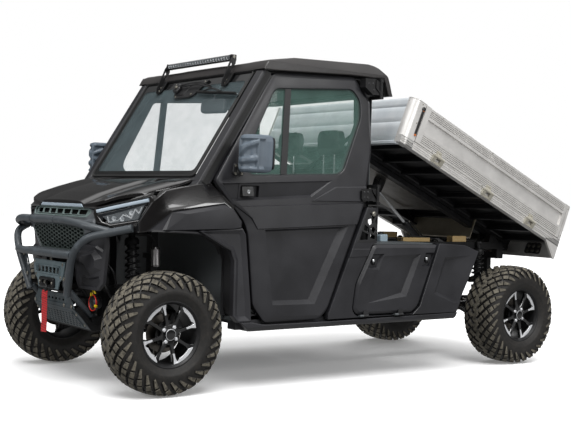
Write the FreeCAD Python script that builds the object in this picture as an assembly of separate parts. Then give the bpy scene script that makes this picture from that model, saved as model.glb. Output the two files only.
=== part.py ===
"""Side-by-side utility vehicle with a three-seat cab and a tipping drop-side bed.

Millimetres. +X points forward, +Y to the vehicle's left and +Z up. The origin is on the
ground, midway between the axles, on the centre plane. Left and right pieces are mirror
images about that plane. The bed's pieces are drawn lowered, with u measured forward and
w upward from the tipping pivot, and then turned up about that pivot by BED_TILT.
"""
import FreeCAD, Part
import math
import os

V = FreeCAD.Vector

# ---- driving dimensions -------------------------------------------------------------
# running gear
WHEELBASE = 2854.0
FRONT_TRACK = 1352.0
REAR_TRACK = 1270.0
TYRE_D = 686.0
FRONT_TYRE_W = 238.0
REAR_TYRE_W = 278.0
BEAD_R = 178.0
RIM_WALL = 9.0
SPOKES = 8
KINGPIN_Y = 625.0
RUN_GAP = 0.5          # running clearance at pins, hubs and pivots
SOFT_GAP = 0.3         # seat pads and glass to what holds them
SHUT_GAP = 6.0         # gap round a shut door, lid or panel

# frame
RAIL_Y = 260.0
RAIL_W = 60.0
RAIL_Z0 = 340.0
RAIL_H = 60.0
DECK_RAIL_Y = 380.0
DECK_RAIL_W = 50.0
DECK_RAIL_Z1 = 840.0
DECK_RAIL_H = 50.0

# body shell
BODY_HALF = 785.0      # outer face of the side panels
PANEL = 45.0           # thickness of doors and side panels
SKIN = 22.0            # thickness of walls, floor and covers
SILL_Z0 = 335.0
FLOOR_Z = 422.0
CAB_REAR_X = -36.0
CAB_FRONT_X = 1030.0
BOX_TOP_Z = 844.0
BOX_IN = 430.0           # inner side of the storage boxes
BOX_REAR_X = -560.0
BOX_WALL = 15.0
REAR_WALL_HALF = 690.0
BELT_Z = 1086.0
ROOF_HALF = 742.0
GLASS = 6.0

# tipping bed
PIVOT_X = -WHEELBASE / 2 - 63.0
PIVOT_Z = 858.0
BED_TILT = 23.0
BED_HALF = 760.0
BED_REAR_U = -285.0
BED_FRONT_U = 1425.0
BED_RAIL_W0 = 85.0     # underside of the outer rail
BED_FLOOR_W1 = 138.0   # top of the floor, foot of the boards
BOARD_TOP_W = 402.0
BOARD_T = 25.0
POST_LEN = 112.0       # front corner post, along the bed
POST_T = 60.0
FLOOR_T = 18.0
BEAM_Y = 290.0
BEAM_W = 60.0
BEAM_W0 = 22.0
PIVOT_R = 18.0
HINGE_OUT = 16.0       # drop-side hinge axis beyond the rail's outer face
KNUCKLE_R = 9.0

TYRE_R = TYRE_D / 2
AXLE_Z = TYRE_R
FRONT_X = WHEELBASE / 2
REAR_X = -WHEELBASE / 2


# ---- shape helpers --------------------------------------------------------------------
def box(x0, x1, y0, y1, z0, z1):
    """Box between two corners, given as pairs along each axis."""
    return Part.makeBox(x1 - x0, y1 - y0, z1 - z0, V(x0, y0, z0))


def plate_xz(outline, y0, y1):
    """Outline of (x, z) points, thick from y0 to y1."""
    points = [V(x, y0, z) for x, z in outline]
    face = Part.Face(Part.makePolygon(points + points[:1]))
    return face.extrude(V(0, y1 - y0, 0))


def plate_xy(outline, z0, z1):
    """Outline of (x, y) points, thick from z0 to z1."""
    points = [V(x, y, z0) for x, y in outline]
    face = Part.Face(Part.makePolygon(points + points[:1]))
    return face.extrude(V(0, 0, z1 - z0))


def plate_yz(outline, x0, x1):
    """Outline of (y, z) points, thick from x0 to x1."""
    points = [V(x0, y, z) for y, z in outline]
    face = Part.Face(Part.makePolygon(points + points[:1]))
    return face.extrude(V(x1 - x0, 0, 0))


def bar(start, end, radius):
    """Round bar between two points."""
    start, end = V(*start), V(*end)
    return Part.makeCylinder(radius, (end - start).Length, start, end - start)


def ring(start, end, outer, inner):
    """Round sleeve between two points."""
    return bar(start, end, outer).cut(bar(start, end, inner))


def path_wire(points, bend):
    """Straight runs through points, joined by tangent arcs of radius bend."""
    points = [V(*p) for p in points]
    edges = []
    last = points[0]
    for before, corner, after in zip(points, points[1:], points[2:]):
        to = (before - corner).normalize()
        fro = (after - corner).normalize()
        half = to.getAngle(fro) / 2
        reach = bend / math.tan(half)
        begin = corner + to * reach
        end = corner + fro * reach
        centre = corner + (to + fro).normalize() * (bend / math.sin(half))
        middle = centre + (corner - centre).normalize() * bend
        edges.append(Part.LineSegment(last, begin).toShape())
        edges.append(Part.Arc(begin, middle, end).toShape())
        last = end
    edges.append(Part.LineSegment(last, points[-1]).toShape())
    return Part.Wire(edges)


def bent_bar(points, radius, bend):
    """Round bar along straight runs and tangent arcs."""
    wire = path_wire(points, bend)
    first = V(*points[0])
    section = Part.Wire(Part.makeCircle(radius, first, V(*points[1]) - first))
    return wire.makePipeShell([section], True, False)


def turned(profile, centre):
    """Profile of (radius, y) points turned about the Y axis through centre."""
    points = [V(radius, y, 0) for radius, y in profile]
    face = Part.Face(Part.makePolygon(points + points[:1]))
    solid = face.revolve(V(0, 0, 0), V(0, 1, 0), 360)
    solid.translate(V(*centre))
    return solid


def fuse(shapes):
    """One clean shape from several that touch or overlap."""
    whole = shapes[0].multiFuse(shapes[1:]) if len(shapes) > 1 else shapes[0]
    return whole.removeSplitter()


def other_side(shape):
    """Mirror image on the right-hand side."""
    return shape.mirror(V(0, 0, 0), V(0, 1, 0))


def both(shape):
    """A piece and its mirror image, as two solids."""
    return Part.makeCompound([shape, other_side(shape)])


def on_bed(shape):
    """Bed piece drawn lowered, with u, w from the pivot: put in place and tipped up."""
    placed = shape.copy()
    placed.translate(V(PIVOT_X, 0, PIVOT_Z))
    placed.rotate(V(PIVOT_X, 0, PIVOT_Z), V(0, 1, 0), -BED_TILT)
    return placed


def grown(outline, gap, y0, y1):
    """Outline of (x, z) points grown by gap all round, thick from y0 to y1."""
    points = [V(x, y0, z) for x, z in outline]
    face = Part.Face(Part.makePolygon(points + points[:1]))
    return face.makeOffset2D(gap, 2).extrude(V(0, y1 - y0, 0))


PIECES = {}


def save(name, shape):
    """Keep one named piece for the notching and writing at the end."""
    PIECES[name] = shape


# ---- wheels ---------------------------------------------------------------------------
def tyre(width, side):
    """Tyre with rounded shoulders, centred on its own axle point."""
    half = width / 2
    profile = [
        (BEAD_R, -half * 0.80), (TYRE_R - 120, -half * 0.99), (TYRE_R - 45, -half),
        (TYRE_R - 14, -half * 0.88), (TYRE_R - 3, -half * 0.55), (TYRE_R, 0),
        (TYRE_R - 3, half * 0.55), (TYRE_R - 14, half * 0.88), (TYRE_R - 45, half),
        (TYRE_R - 120, half * 0.99), (BEAD_R, half * 0.80),
    ]
    return turned(profile, side)


def wheel(width, centre, outward):
    """Rim with a spoked disc near its outer face; outward is +1 on the left."""
    cx, cy, cz = centre
    half = width / 2 * 0.80
    barrel = [
        (BEAD_R - RIM_WALL, -half), (BEAD_R, -half), (BEAD_R, half), (BEAD_R - RIM_WALL, half),
    ]
    pieces = [turned(barrel, centre)]
    face_y = half * 0.72
    disc_t = 26.0
    for k in range(SPOKES):
        spoke = box(40, BEAD_R - RIM_WALL / 2, face_y - disc_t / 2, face_y + disc_t / 2, -15, 15)
        spoke.rotate(V(0, 0, 0), V(0, 1, 0), 360.0 / SPOKES * k)
        if outward < 0:
            spoke = other_side(spoke)
        spoke.translate(V(*centre))
        pieces.append(spoke)
    near = outward * (face_y - disc_t / 2)
    far = outward * (face_y + disc_t / 2 + 6)
    pieces.append(bar((cx, cy + near, cz), (cx, cy + far, cz), 62))
    bore = bar((cx, cy + near - outward, cz), (cx, cy + near + outward * 24, cz), 20 + RUN_GAP)
    return fuse(pieces).cut(bore)


def hub_face(width):
    """Distance from the wheel's centre plane out to the inner face of its disc."""
    return width / 2 * 0.80 * 0.72 - 13.0


WHEELS = [
    # name, axle x, track, tyre width, side
    ("front_left", FRONT_X, FRONT_TRACK, FRONT_TYRE_W, 1),
    ("front_right", FRONT_X, FRONT_TRACK, FRONT_TYRE_W, -1),
    ("rear_left", REAR_X, REAR_TRACK, REAR_TYRE_W, 1),
    ("rear_right", REAR_X, REAR_TRACK, REAR_TYRE_W, -1),
]
for name, axle_x, track, width, side in WHEELS:
    centre = (axle_x, side * track / 2, AXLE_Z)
    save(f"tyre_{name}", tyre(width, centre))
    save(f"wheel_{name}", wheel(width, centre, side))


# ---- knuckles, hubs, axles and suspension ------------------------------------------------
KNUCKLE_HALF_H = 95.0
CARRIER_HALF_H = 110.0
RACK_X = FRONT_X - 80.0
RACK_Z = 431.0
STEER_ARM_Z1 = AXLE_Z + 58.0
hub_y = FRONT_TRACK / 2 + hub_face(FRONT_TYRE_W) - RUN_GAP
knuckle = fuse([
    bar((FRONT_X, KINGPIN_Y, AXLE_Z - KNUCKLE_HALF_H), (FRONT_X, KINGPIN_Y, AXLE_Z + KNUCKLE_HALF_H), 22),
    bar((FRONT_X, KINGPIN_Y, AXLE_Z), (FRONT_X, hub_y - 12, AXLE_Z), 42),
    bar((FRONT_X, hub_y - 14, AXLE_Z), (FRONT_X, hub_y, AXLE_Z), 75),
    bar((FRONT_X, hub_y - 2, AXLE_Z), (FRONT_X, hub_y + 22, AXLE_Z), 20),
    box(RACK_X - 10, FRONT_X, KINGPIN_Y - 22, KINGPIN_Y - 2, AXLE_Z + 40, STEER_ARM_Z1),
])
save("knuckle_left", knuckle)
save("knuckle_right", other_side(knuckle))

rear_hub_y = REAR_TRACK / 2 + hub_face(REAR_TYRE_W) - RUN_GAP
REAR_CARRIER_Y = 560.0
rear_hub = fuse([
    box(REAR_X - 40, REAR_X + 40, REAR_CARRIER_Y - 20, REAR_CARRIER_Y + 20,
        AXLE_Z - CARRIER_HALF_H, AXLE_Z + CARRIER_HALF_H),
    bar((REAR_X, REAR_CARRIER_Y, AXLE_Z), (REAR_X, rear_hub_y - 12, AXLE_Z), 45),
    bar((REAR_X, rear_hub_y - 14, AXLE_Z), (REAR_X, rear_hub_y, AXLE_Z), 75),
    bar((REAR_X, rear_hub_y - 2, AXLE_Z), (REAR_X, rear_hub_y + 22, AXLE_Z), 20),
])
save("rear_hubs", both(rear_hub))


def arm(axle_x, outer_y, outer_z, leg_drop, rear_leg, front_leg, frame_z, radius):
    """A-shaped arm: two legs from the frame that meet in a boss on the ball joint."""
    boss = bar((axle_x, outer_y, outer_z - BOSS_HALF), (axle_x, outer_y, outer_z + BOSS_HALF), 24)
    legs = [
        bar((axle_x + reach, ARM_FRAME_Y, frame_z), (axle_x, outer_y, outer_z - leg_drop), radius)
        for reach in (rear_leg, front_leg)
    ]
    return fuse([boss] + legs)


ARM_FRAME_Y = RAIL_Y + RAIL_W / 2 - 8
BOSS_HALF = 17.0
ARMS = [
    # axle x, outer y, outer z, drop of the legs, rear leg x, front leg x, frame z, leg radius
    (FRONT_X, KINGPIN_Y, AXLE_Z - KNUCKLE_HALF_H - BOSS_HALF - RUN_GAP, 10, -150, 150, 365, 15),
    (FRONT_X, KINGPIN_Y, AXLE_Z + KNUCKLE_HALF_H + BOSS_HALF + RUN_GAP, 3, -150, 10, 560, 11),
    (REAR_X, REAR_CARRIER_Y, AXLE_Z - CARRIER_HALF_H - BOSS_HALF, 8, -150, 150, 365, 16),
    (REAR_X, REAR_CARRIER_Y, AXLE_Z + CARRIER_HALF_H + BOSS_HALF, -3, -150, 20, 560, 13),
]
save("suspension_arms", Part.makeCompound([
    part for row in ARMS for part in both(arm(*row)).Solids
]))

SHOCKS = [
    # foot x, foot y, foot z, head x, head y, head z, spring radius
    (FRONT_X + 66, 462.0, 312.0, FRONT_X + 52, 385.0, 897.0, 40),
    (REAR_X + 88, 400.0, 322.0, REAR_X + 98, 415.0, 835.0, 42),
]


def shock(foot_x, foot_y, foot_z, head_x, head_y, head_z, spring_r):
    """Coil-over damper: eyes and rod at the ends, one sleeve for the coil's outer shape."""
    foot, head = V(foot_x, foot_y, foot_z), V(head_x, head_y, head_z)

    def at(share):
        return tuple(foot + (head - foot) * share)

    return fuse([
        bar(at(0), at(1), 15),
        bar(at(0.22), at(0.30), 36),
        bar(at(0.30), at(0.86), spring_r),
        bar(at(0.86), at(0.93), 36),
    ])


save("shocks", Part.makeCompound([
    part for row in SHOCKS for part in both(shock(*row)).Solids
]))

DIFF_Z = (350.0, 470.0)
SHAFT_IN = (100.0, 412.0)   # y, z where a half-shaft leaves its differential


def axle(axle_x, end_y):
    """Differential with ears to the rails, and a half-shaft with two boots on each side."""
    side = fuse([
        bar((axle_x, 80, SHAFT_IN[1]), (axle_x, *SHAFT_IN), 42),
        bar((axle_x, *SHAFT_IN), (axle_x, end_y, AXLE_Z), 14),
        bar((axle_x, SHAFT_IN[0] - 4, SHAFT_IN[1]), (axle_x, SHAFT_IN[0] + 70, SHAFT_IN[1] - 9), 32),
        bar((axle_x, end_y - 66, AXLE_Z + 8), (axle_x, end_y, AXLE_Z), 30),
        box(axle_x + 30, axle_x + 60, 90, RAIL_Y - RAIL_W / 2, 372, 396),
    ])
    return fuse([box(axle_x - 54, axle_x + 120, -95, 95, *DIFF_Z), side, other_side(side)])


save("axles", Part.makeCompound([axle(FRONT_X, KINGPIN_Y - 32), axle(REAR_X, REAR_CARRIER_Y - 20)]))

# steering: a rack that slides sideways, its tie rods' ends beside the knuckles' arms
RACK_END_Y = KINGPIN_Y - 12.0
rack = fuse([
    bar((RACK_X, -RACK_END_Y, RACK_Z), (RACK_X, RACK_END_Y, RACK_Z), 9),
    bar((RACK_X, RACK_END_Y, STEER_ARM_Z1 + RUN_GAP), (RACK_X, RACK_END_Y, RACK_Z + 10), 10),
    bar((RACK_X, -RACK_END_Y, STEER_ARM_Z1 + RUN_GAP), (RACK_X, -RACK_END_Y, RACK_Z + 10), 10),
])
save("steering_rack", rack)


# ---- chassis frame ---------------------------------------------------------------------
CHASSIS_FRONT_X = 1660.0
CHASSIS_REAR_X = -1640.0
DECK_FRONT_X = CAB_REAR_X - 10.0
DECK_REAR_X = PIVOT_X - 62.0
TOWER_X = FRONT_X
PIVOT_LUG_Y = (352.0, 408.0)


def cross(x, z0, z1, half, thick=50.0):
    """Cross member between the two sides of the frame."""
    return box(x - thick / 2, x + thick / 2, -half, half, z0, z1)


rail_in, rail_out = RAIL_Y - RAIL_W / 2, RAIL_Y + RAIL_W / 2
deck_in, deck_out = DECK_RAIL_Y - DECK_RAIL_W / 2, DECK_RAIL_Y + DECK_RAIL_W / 2
left_frame = [
    box(CHASSIS_REAR_X, CHASSIS_FRONT_X, rail_in, rail_out, RAIL_Z0, RAIL_Z0 + RAIL_H),
    box(DECK_REAR_X, DECK_FRONT_X, deck_in, deck_out, DECK_RAIL_Z1 - DECK_RAIL_H, DECK_RAIL_Z1),
    # front tower that carries the shock's head
    box(TOWER_X - 175, TOWER_X - 135, rail_in, rail_out, RAIL_Z0 + RAIL_H, 925),
    box(TOWER_X + 135, TOWER_X + 175, rail_in, rail_out, RAIL_Z0 + RAIL_H, 925),
    box(TOWER_X - 175, TOWER_X + 175, rail_in, rail_out + 20, 895, 925),
    box(TOWER_X - 30, TOWER_X + 30, rail_out - 10, 400, 897, 921),
    box(TOWER_X - 175, TOWER_X + 175, rail_in, rail_out - 4, 545, 575),
    # rear side frame between the main rail and the deck rail
    box(REAR_X - 175, REAR_X - 135, rail_in, rail_out, RAIL_Z0 + RAIL_H, 770),
    box(REAR_X - 175, REAR_X - 125, rail_out - 2, deck_out, 720, 770),
    box(REAR_X - 175, REAR_X - 110, deck_in, deck_out, 720, DECK_RAIL_Z1 - 6),
    box(REAR_X + 135, REAR_X + 175, rail_in, rail_out, RAIL_Z0 + RAIL_H, DECK_RAIL_Z1 - 1),
    box(REAR_X - 175, REAR_X + 175, rail_in, rail_out - 4, 545, 575),
    box(REAR_X + 125, REAR_X + 175, rail_in, deck_out, DECK_RAIL_Z1 - DECK_RAIL_H, DECK_RAIL_Z1 - 1),
    box(REAR_X + 65, REAR_X + 125, deck_in, 432, DECK_RAIL_Z1 - 30, DECK_RAIL_Z1 - 1),
    box(-640, -600, rail_in, rail_out, RAIL_Z0 + RAIL_H, DECK_RAIL_Z1 - 1),
    box(-640, -600, rail_in, deck_out, DECK_RAIL_Z1 - DECK_RAIL_H, DECK_RAIL_Z1 - 1),
    box(DECK_FRONT_X - 44, DECK_FRONT_X - 4, rail_in, rail_out, RAIL_Z0 + RAIL_H, DECK_RAIL_Z1 - 1),
    box(DECK_FRONT_X - 44, DECK_FRONT_X - 4, rail_in, deck_out, DECK_RAIL_Z1 - DECK_RAIL_H, DECK_RAIL_Z1 - 1),
]
# sleeve and feet that carry the steering rack
left_frame.append(ring((RACK_X, 0, RACK_Z), (RACK_X, 240, RACK_Z), 20, 9 + RUN_GAP))
left_frame.append(box(RACK_X - 14, RACK_X + 14, 222, 285, RAIL_Z0 + RAIL_H - 2, RACK_Z - 14))
lug = plate_xz([
    (PIVOT_X - 45, DECK_RAIL_Z1 - 2), (PIVOT_X + 45, DECK_RAIL_Z1 - 2),
    (PIVOT_X + 30, PIVOT_Z + 32), (PIVOT_X - 30, PIVOT_Z + 32),
], *PIVOT_LUG_Y)
left_frame.append(lug)
CROSS_MEMBERS = [
    # x, z0, z1, half length
    (CHASSIS_FRONT_X - 25, RAIL_Z0 + 5, RAIL_Z0 + RAIL_H - 5, rail_in + 5),
    (900.0, RAIL_Z0 + 5, RAIL_Z0 + RAIL_H - 5, rail_in + 5),
    (-490.0, RAIL_Z0 + 5, RAIL_Z0 + RAIL_H, rail_in + 5),
    (-160.0, RAIL_Z0 + 5, RAIL_Z0 + RAIL_H, rail_in + 5),
    (CHASSIS_REAR_X + 25, RAIL_Z0 + 5, RAIL_Z0 + RAIL_H - 5, rail_in + 5),
    (TOWER_X - 155, 855.0, 895.0, rail_in + 5),
    (TOWER_X + 155, 855.0, 895.0, rail_in + 5),
    (-620.0, 700.0, 740.0, rail_in + 5),
    (REAR_X + 155, 720.0, 750.0, rail_in + 5),
    (REAR_X - 155, 700.0, 740.0, rail_in + 5),
]
frame_pieces = left_frame + [other_side(s) for s in left_frame]
frame_pieces += [cross(*row) for row in CROSS_MEMBERS]
# cross bar and ears that carry the foot of the lift cylinder
CYL_FOOT = (REAR_X + 155, 150.0, 612.0)
frame_pieces.append(cross(CYL_FOOT[0], 545, 575, rail_in + 5, 40))
for y in (CYL_FOOT[1] - 34, CYL_FOOT[1] + 22):
    frame_pieces.append(box(CYL_FOOT[0] - 16, CYL_FOOT[0] + 16, y, y + 12, 573, CYL_FOOT[2] + 20))
# outriggers that carry the cab floor, the sills and the storage boxes
OUTRIGGER_X = (880.0, 420.0, 60.0, -300.0, -600.0)
for x in OUTRIGGER_X:
    for s in (1, -1):
        y0, y1 = sorted((s * (rail_out - 5), s * 700.0))
        frame_pieces.append(box(x - 20, x + 20, y0, y1, RAIL_Z0 + 20, FLOOR_Z - SKIN))
# receiver tube for a tow hitch at the back
HITCH_BORE = 51.2
HITCH_OUT = 64.0
HITCH_REAR_X = CHASSIS_REAR_X - 200
frame_pieces.append(box(HITCH_REAR_X, CHASSIS_REAR_X + 45, -HITCH_OUT / 2, HITCH_OUT / 2,
                        RAIL_Z0 + 8, RAIL_Z0 + 8 + HITCH_OUT))
chassis = fuse(frame_pieces)
pivot_bore = bar((PIVOT_X, -450, PIVOT_Z), (PIVOT_X, 450, PIVOT_Z), PIVOT_R + RUN_GAP)
HITCH_PIN_R = 8.0
HITCH_PIN = (HITCH_REAR_X + 35, RAIL_Z0 + 8 + HITCH_OUT / 2)   # x, z
hitch_pin_bore = bar((HITCH_PIN[0], -50, HITCH_PIN[1]), (HITCH_PIN[0], 50, HITCH_PIN[1]), HITCH_PIN_R)
hitch_bore = box(HITCH_REAR_X - 20, CHASSIS_REAR_X + 46, -HITCH_BORE / 2, HITCH_BORE / 2,
                 RAIL_Z0 + 8 + (HITCH_OUT - HITCH_BORE) / 2, RAIL_Z0 + 8 + (HITCH_OUT + HITCH_BORE) / 2)
cyl_pin_bore = bar((CYL_FOOT[0], CYL_FOOT[1] - 50, CYL_FOOT[2]),
                   (CYL_FOOT[0], CYL_FOOT[1] + 50, CYL_FOOT[2]), 10 + RUN_GAP)
save("chassis_frame", chassis.cut([pivot_bore, hitch_bore, hitch_pin_bore, cyl_pin_bore]))

ENGINE = (-560.0, -110.0, -200.0, 200.0, RAIL_Z0 + RAIL_H, 690.0)
save("engine_block", box(*ENGINE))

# ---- outlines that the body's panels share ------------------------------------------
# door outline, and the two lines that everything round it follows
SCREEN_FOOT = (1226.0, 1221.0)
SCREEN_HEAD = (837.0, 1840.0)
SCREEN_HALF = 630.0
DOOR = [
    (1160, 1190), (761, 1837), (143, 1868), (18, 1733), (2, 1418), (38, 1198), (59, 1098),
    (338, 444), (396, 388), (802, 380), (890, 486), (938, 893), (962, 962), (1040, 1052),
]
WINDOW = [
    (753, 1742), (166, 1789), (106, 1727), (101, 1616), (236, 1289), (278, 1262), (922, 1232), (968, 1284),
    (960, 1330),
]
# door section across the car: (y, z) from the sill up
DOOR_SECTION = [
    (BODY_HALF - PANEL, 300), (BODY_HALF, 300), (BODY_HALF, 900),
    (BODY_HALF - 12, BELT_Z), (BODY_HALF - 20, 1240),
    (735, 1840), (735, 1900), (735 - PANEL, 1900), (735 - PANEL, 1840), (BODY_HALF - 20 - PANEL, 1240),
    (BODY_HALF - 12 - PANEL, BELT_Z), (BODY_HALF - PANEL, 900),
]

# ---- front end ---------------------------------------------------------------------------
BAR_R = 22.0
hoop = [
    (1700, 560, 890), (1800, 478, 918), (1846, 330, 942),
    (1846, -330, 942), (1800, -478, 918), (1700, -560, 890),
]
leg = [(1626, 650, 914), (1806, 470, 858), (1838, 366, 760), (1802, 250, 520)]
lower_bar = [(1838, -362, 752), (1862, -240, 752), (1862, 240, 752), (1838, 362, 752)]
step = plate_xy([(1748, -300), (1862, -235), (1862, 235), (1748, 300)], 756, 768)
stay = bar((1790, 250, 545), (1655, 262, 400), 18)
bumper = fuse([
    bent_bar(hoop, BAR_R - 2, 90),
    bent_bar(leg, BAR_R, 90), other_side(bent_bar(leg, BAR_R, 90)),
    bent_bar(lower_bar, BAR_R, 60), step, stay, other_side(stay),
    box(1636, 1662, 235, 285, 345, 415), box(1636, 1662, -285, -235, 345, 415),
])
save("front_bumper", bumper.cut(box(1600, CHASSIS_FRONT_X, -400, 400, 300, 430)))

WINCH_X = 1735.0
WINCH_Z = 600.0
winch = fuse([
    bar((WINCH_X, -185, WINCH_Z), (WINCH_X, 185, WINCH_Z), 58),
    plate_yz([(-190, 540), (190, 540), (215, 705), (-215, 705)], 1796, 1806),
    box(WINCH_X, 1797, -150, 150, 545, 560),
    box(1806, 1826, -75, 75, 553, 597),
    box(WINCH_X - 60, WINCH_X + 40, -190, 190, 525, 545),
    box(1826, 1838, 14, 34, 533, 590),
])
save("winch", winch)

SKID_T = 8.0
skid = plate_xz([
    (1660, RAIL_Z0 - SKID_T), (1765, 455), (1772, 448), (1668, RAIL_Z0 - 2 * SKID_T),
    (900, RAIL_Z0 - 2 * SKID_T), (900, RAIL_Z0 - SKID_T),
], -rail_out, rail_out)
skid = fuse([skid, plate_yz([(-rail_out, 450), (rail_out, 450), (225, 522), (-225, 522)], 1758, 1766)])
save("skid_plate", skid)

# pull strap on the winch hook, hanging nearly straight
STRAP_EXIT = (1834.0, 24.0, 532.0)
STRAP_ROUTE = [
    (1834.0, 24.0, 532.0), (1836.0, 24.5, 488.0), (1833.0, 23.5, 440.0),
    (1835.5, 24.5, 390.0), (1832.5, 23.5, 338.0), (1834.0, 24.0, 292.0),
]
STRAP_R = 6.0
STRAP_BEND_SHARE = 0.45


def cord_tube(points, radius):
    """Tube along straight runs with arcs as large as the shorter run beside each allows."""
    points = [V(*p) for p in points]
    edges = []
    last = points[0]
    for before, corner, after in zip(points, points[1:], points[2:]):
        to, fro = before - corner, after - corner
        reach = STRAP_BEND_SHARE * min(to.Length, fro.Length)
        to.normalize()
        fro.normalize()
        half = to.getAngle(fro) / 2
        bend = reach * math.tan(half)
        print(f"strap bend radius {bend:.0f} mm")
        begin, end = corner + to * reach, corner + fro * reach
        centre = corner + (to + fro).normalize() * (bend / math.sin(half))
        middle = centre + (corner - centre).normalize() * bend
        edges.append(Part.LineSegment(last, begin).toShape())
        edges.append(Part.Arc(begin, middle, end).toShape())
        last = end
    edges.append(Part.LineSegment(last, points[-1]).toShape())
    section = Part.Wire(Part.makeCircle(radius, points[0], points[1] - points[0]))
    return Part.Wire(edges).makePipeShell([section], True, False)


save("winch_strap", cord_tube(STRAP_ROUTE, STRAP_R))

# nose: one outline in plan, from the centre out to the front corner of the wing
NOSE_PLAN = [(1782, 0), (1778, 290), (1742, 430), (1606, 668)]
NOSE_IN = 40.0


def nose_shell(z0, z1, inset):
    """Band of the nose between two heights, NOSE_IN thick, inset from the outline."""
    outer = [(x - inset, y) for x, y in NOSE_PLAN]
    inner = [(x - inset - NOSE_IN, y) for x, y in NOSE_PLAN]
    left = outer + inner[::-1]
    half = plate_xy(left, z0, z1)
    return fuse([half, other_side(half)])


LAMP_PLAN = [(1736, 440), (1606, 664), (1530, 668), (1560, 600), (1660, 430)]
LAMP_FACE = [(426, 925), (672, 948), (672, 1080), (426, 1002)]
lamp = plate_xy(LAMP_PLAN, 900, 1100).common(plate_yz(LAMP_FACE, 1400, 1900))
save("headlamps", both(lamp))
lamp_space = plate_xy([
    (1790, 428), (1790, 700), (1500, 700), (1500, 668), (1540, 590), (1650, 424),
], 850, 1110).common(plate_yz(LAMP_FACE, 1400, 1900))
GRILLE = [(-285, 905), (285, 905), (215, 772), (-215, 772)]
fascia = fuse([
    nose_shell(921, 1012, 6),
    nose_shell(760, 925, 0).common(box(1500, 1900, -430, 430, 700, 1000)),
    plate_yz([(-430, 770), (430, 770), (250, 560), (-250, 560)], 1712, 1742),
    box(1700, 1745, 250, 400, 600, 925), box(1700, 1745, -400, -250, 600, 925),
    # feet that reach back to the frame's towers
    box(TOWER_X + 175, 1720, rail_in, rail_out, 870, 900),
    box(TOWER_X + 175, 1720, -rail_out, -rail_in, 870, 900),
])
fascia = fascia.cut(lamp_space).cut(other_side(lamp_space))
fascia = fascia.cut(plate_yz(GRILLE, 1700, 1800)).cut(box(1690, 1800, -160, 160, 540, 700))
save("front_fascia", fascia)
save("grille", plate_yz(GRILLE, 1752, 1766))

HOOD_HINGE = (1252.0, 1190.0)
HOOD_LIP_X = 1734.0
HOOD_HALF_REAR = 655.0
HOOD_HALF_LIP = 300.0
hood_side = [
    (1262, 1200), (1500, 1135), (HOOD_LIP_X, 1044), (HOOD_LIP_X - 6, 1020),
    (1490, 1108), (1262, 1172),
]
hood_plan = [
    (1262, -HOOD_HALF_REAR), (1540, -HOOD_HALF_REAR + 20),
    (HOOD_LIP_X - 24, -470), (HOOD_LIP_X, -HOOD_HALF_LIP),
    (HOOD_LIP_X, HOOD_HALF_LIP), (HOOD_LIP_X - 24, 470),
    (1540, HOOD_HALF_REAR - 20), (1262, HOOD_HALF_REAR),
]
hood = plate_xz(hood_side, -700, 700).common(plate_xy(hood_plan, 900, 1300))
hinge_pin = [
    fuse([bar((HOOD_HINGE[0], s * 420 - 30, HOOD_HINGE[1]), (HOOD_HINGE[0], s * 420 + 30, HOOD_HINGE[1]), 7),
          box(HOOD_HINGE[0], 1270, s * 420 - 30, s * 420 + 30, HOOD_HINGE[1] - 6, HOOD_HINGE[1] + 3)])
    for s in (1, -1)
]
save("hood", fuse([hood] + hinge_pin))

# front wings: matt flare below, gloss side above, leg behind the wheel
WING_OUT = [
    (985, 926), (1484, 905), (1598, 893), (1618, 932), (1534, 1112), (1262, 1168),
    (1178, 1180), (1052, 1046), (982, 964),
]
WING_LEG = [
    (1272, 910), (985, 930), (960, 893), (912, 486), (906, 400), (1000, 400), (1034, 430),
    (1036, 742), (1045, 797),
]
wing = fuse([
    plate_xz(WING_OUT, 664, BODY_HALF),
    plate_xz(WING_LEG, BODY_HALF - 110, BODY_HALF),
])
wing = wing.cut(plate_xz([(1000, 850), (1640, 850), (1520, 1060), (1060, 1060)], 600, BODY_HALF - SKIN))
wing = fuse([wing, box(CAB_FRONT_X, CAB_FRONT_X + 40, 600, 700, 930, 1060)])
wing = wing.cut(lamp_space).cut(grown(DOOR, SHUT_GAP, 600, 900))
save("front_wing_left", wing)
save("front_wing_right", other_side(wing))

# ---- cab -----------------------------------------------------------------------------------
section = plate_yz(DOOR_SECTION, -200, 1300)
DOOR_PIN = (-14.0, 789.0)      # x, y of the hinge axis
PIN_R = 7.0
DOOR_HINGES = (1148.0, 1805.0)
HINGE_HALF = 40.0
MOUNT_H = 22.0
window_cut = plate_xz(WINDOW, 600, 900)
door_pieces = [plate_xz(DOOR, 600, 900).common(section).cut(window_cut)]
for z in DOOR_HINGES:
    low, high = z - HINGE_HALF, z + HINGE_HALF
    door_pieces.append(bar((*DOOR_PIN, low), (*DOOR_PIN, high), PIN_R))
    door_pieces.append(box(DOOR_PIN[0], 112, DOOR_PIN[1] - 2, DOOR_PIN[1] + 5, low, high))
    door_pieces.append(box(52, 112, 715, DOOR_PIN[1], low, high))
door = fuse(door_pieces)
save("door_left", door)
save("door_right", other_side(door))

glass_section = plate_yz([
    (BODY_HALF - 20 - PANEL / 2 + 1, 1200), (BODY_HALF - 20 - PANEL / 2 + 1 + GLASS, 1200),
    (735 - PANEL / 2 + GLASS, 1840), (735 - PANEL / 2, 1840),
], 0, 1100)
door_glass = window_cut.common(glass_section)
save("door_glass_left", door_glass)
save("door_glass_right", other_side(door_glass))

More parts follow.
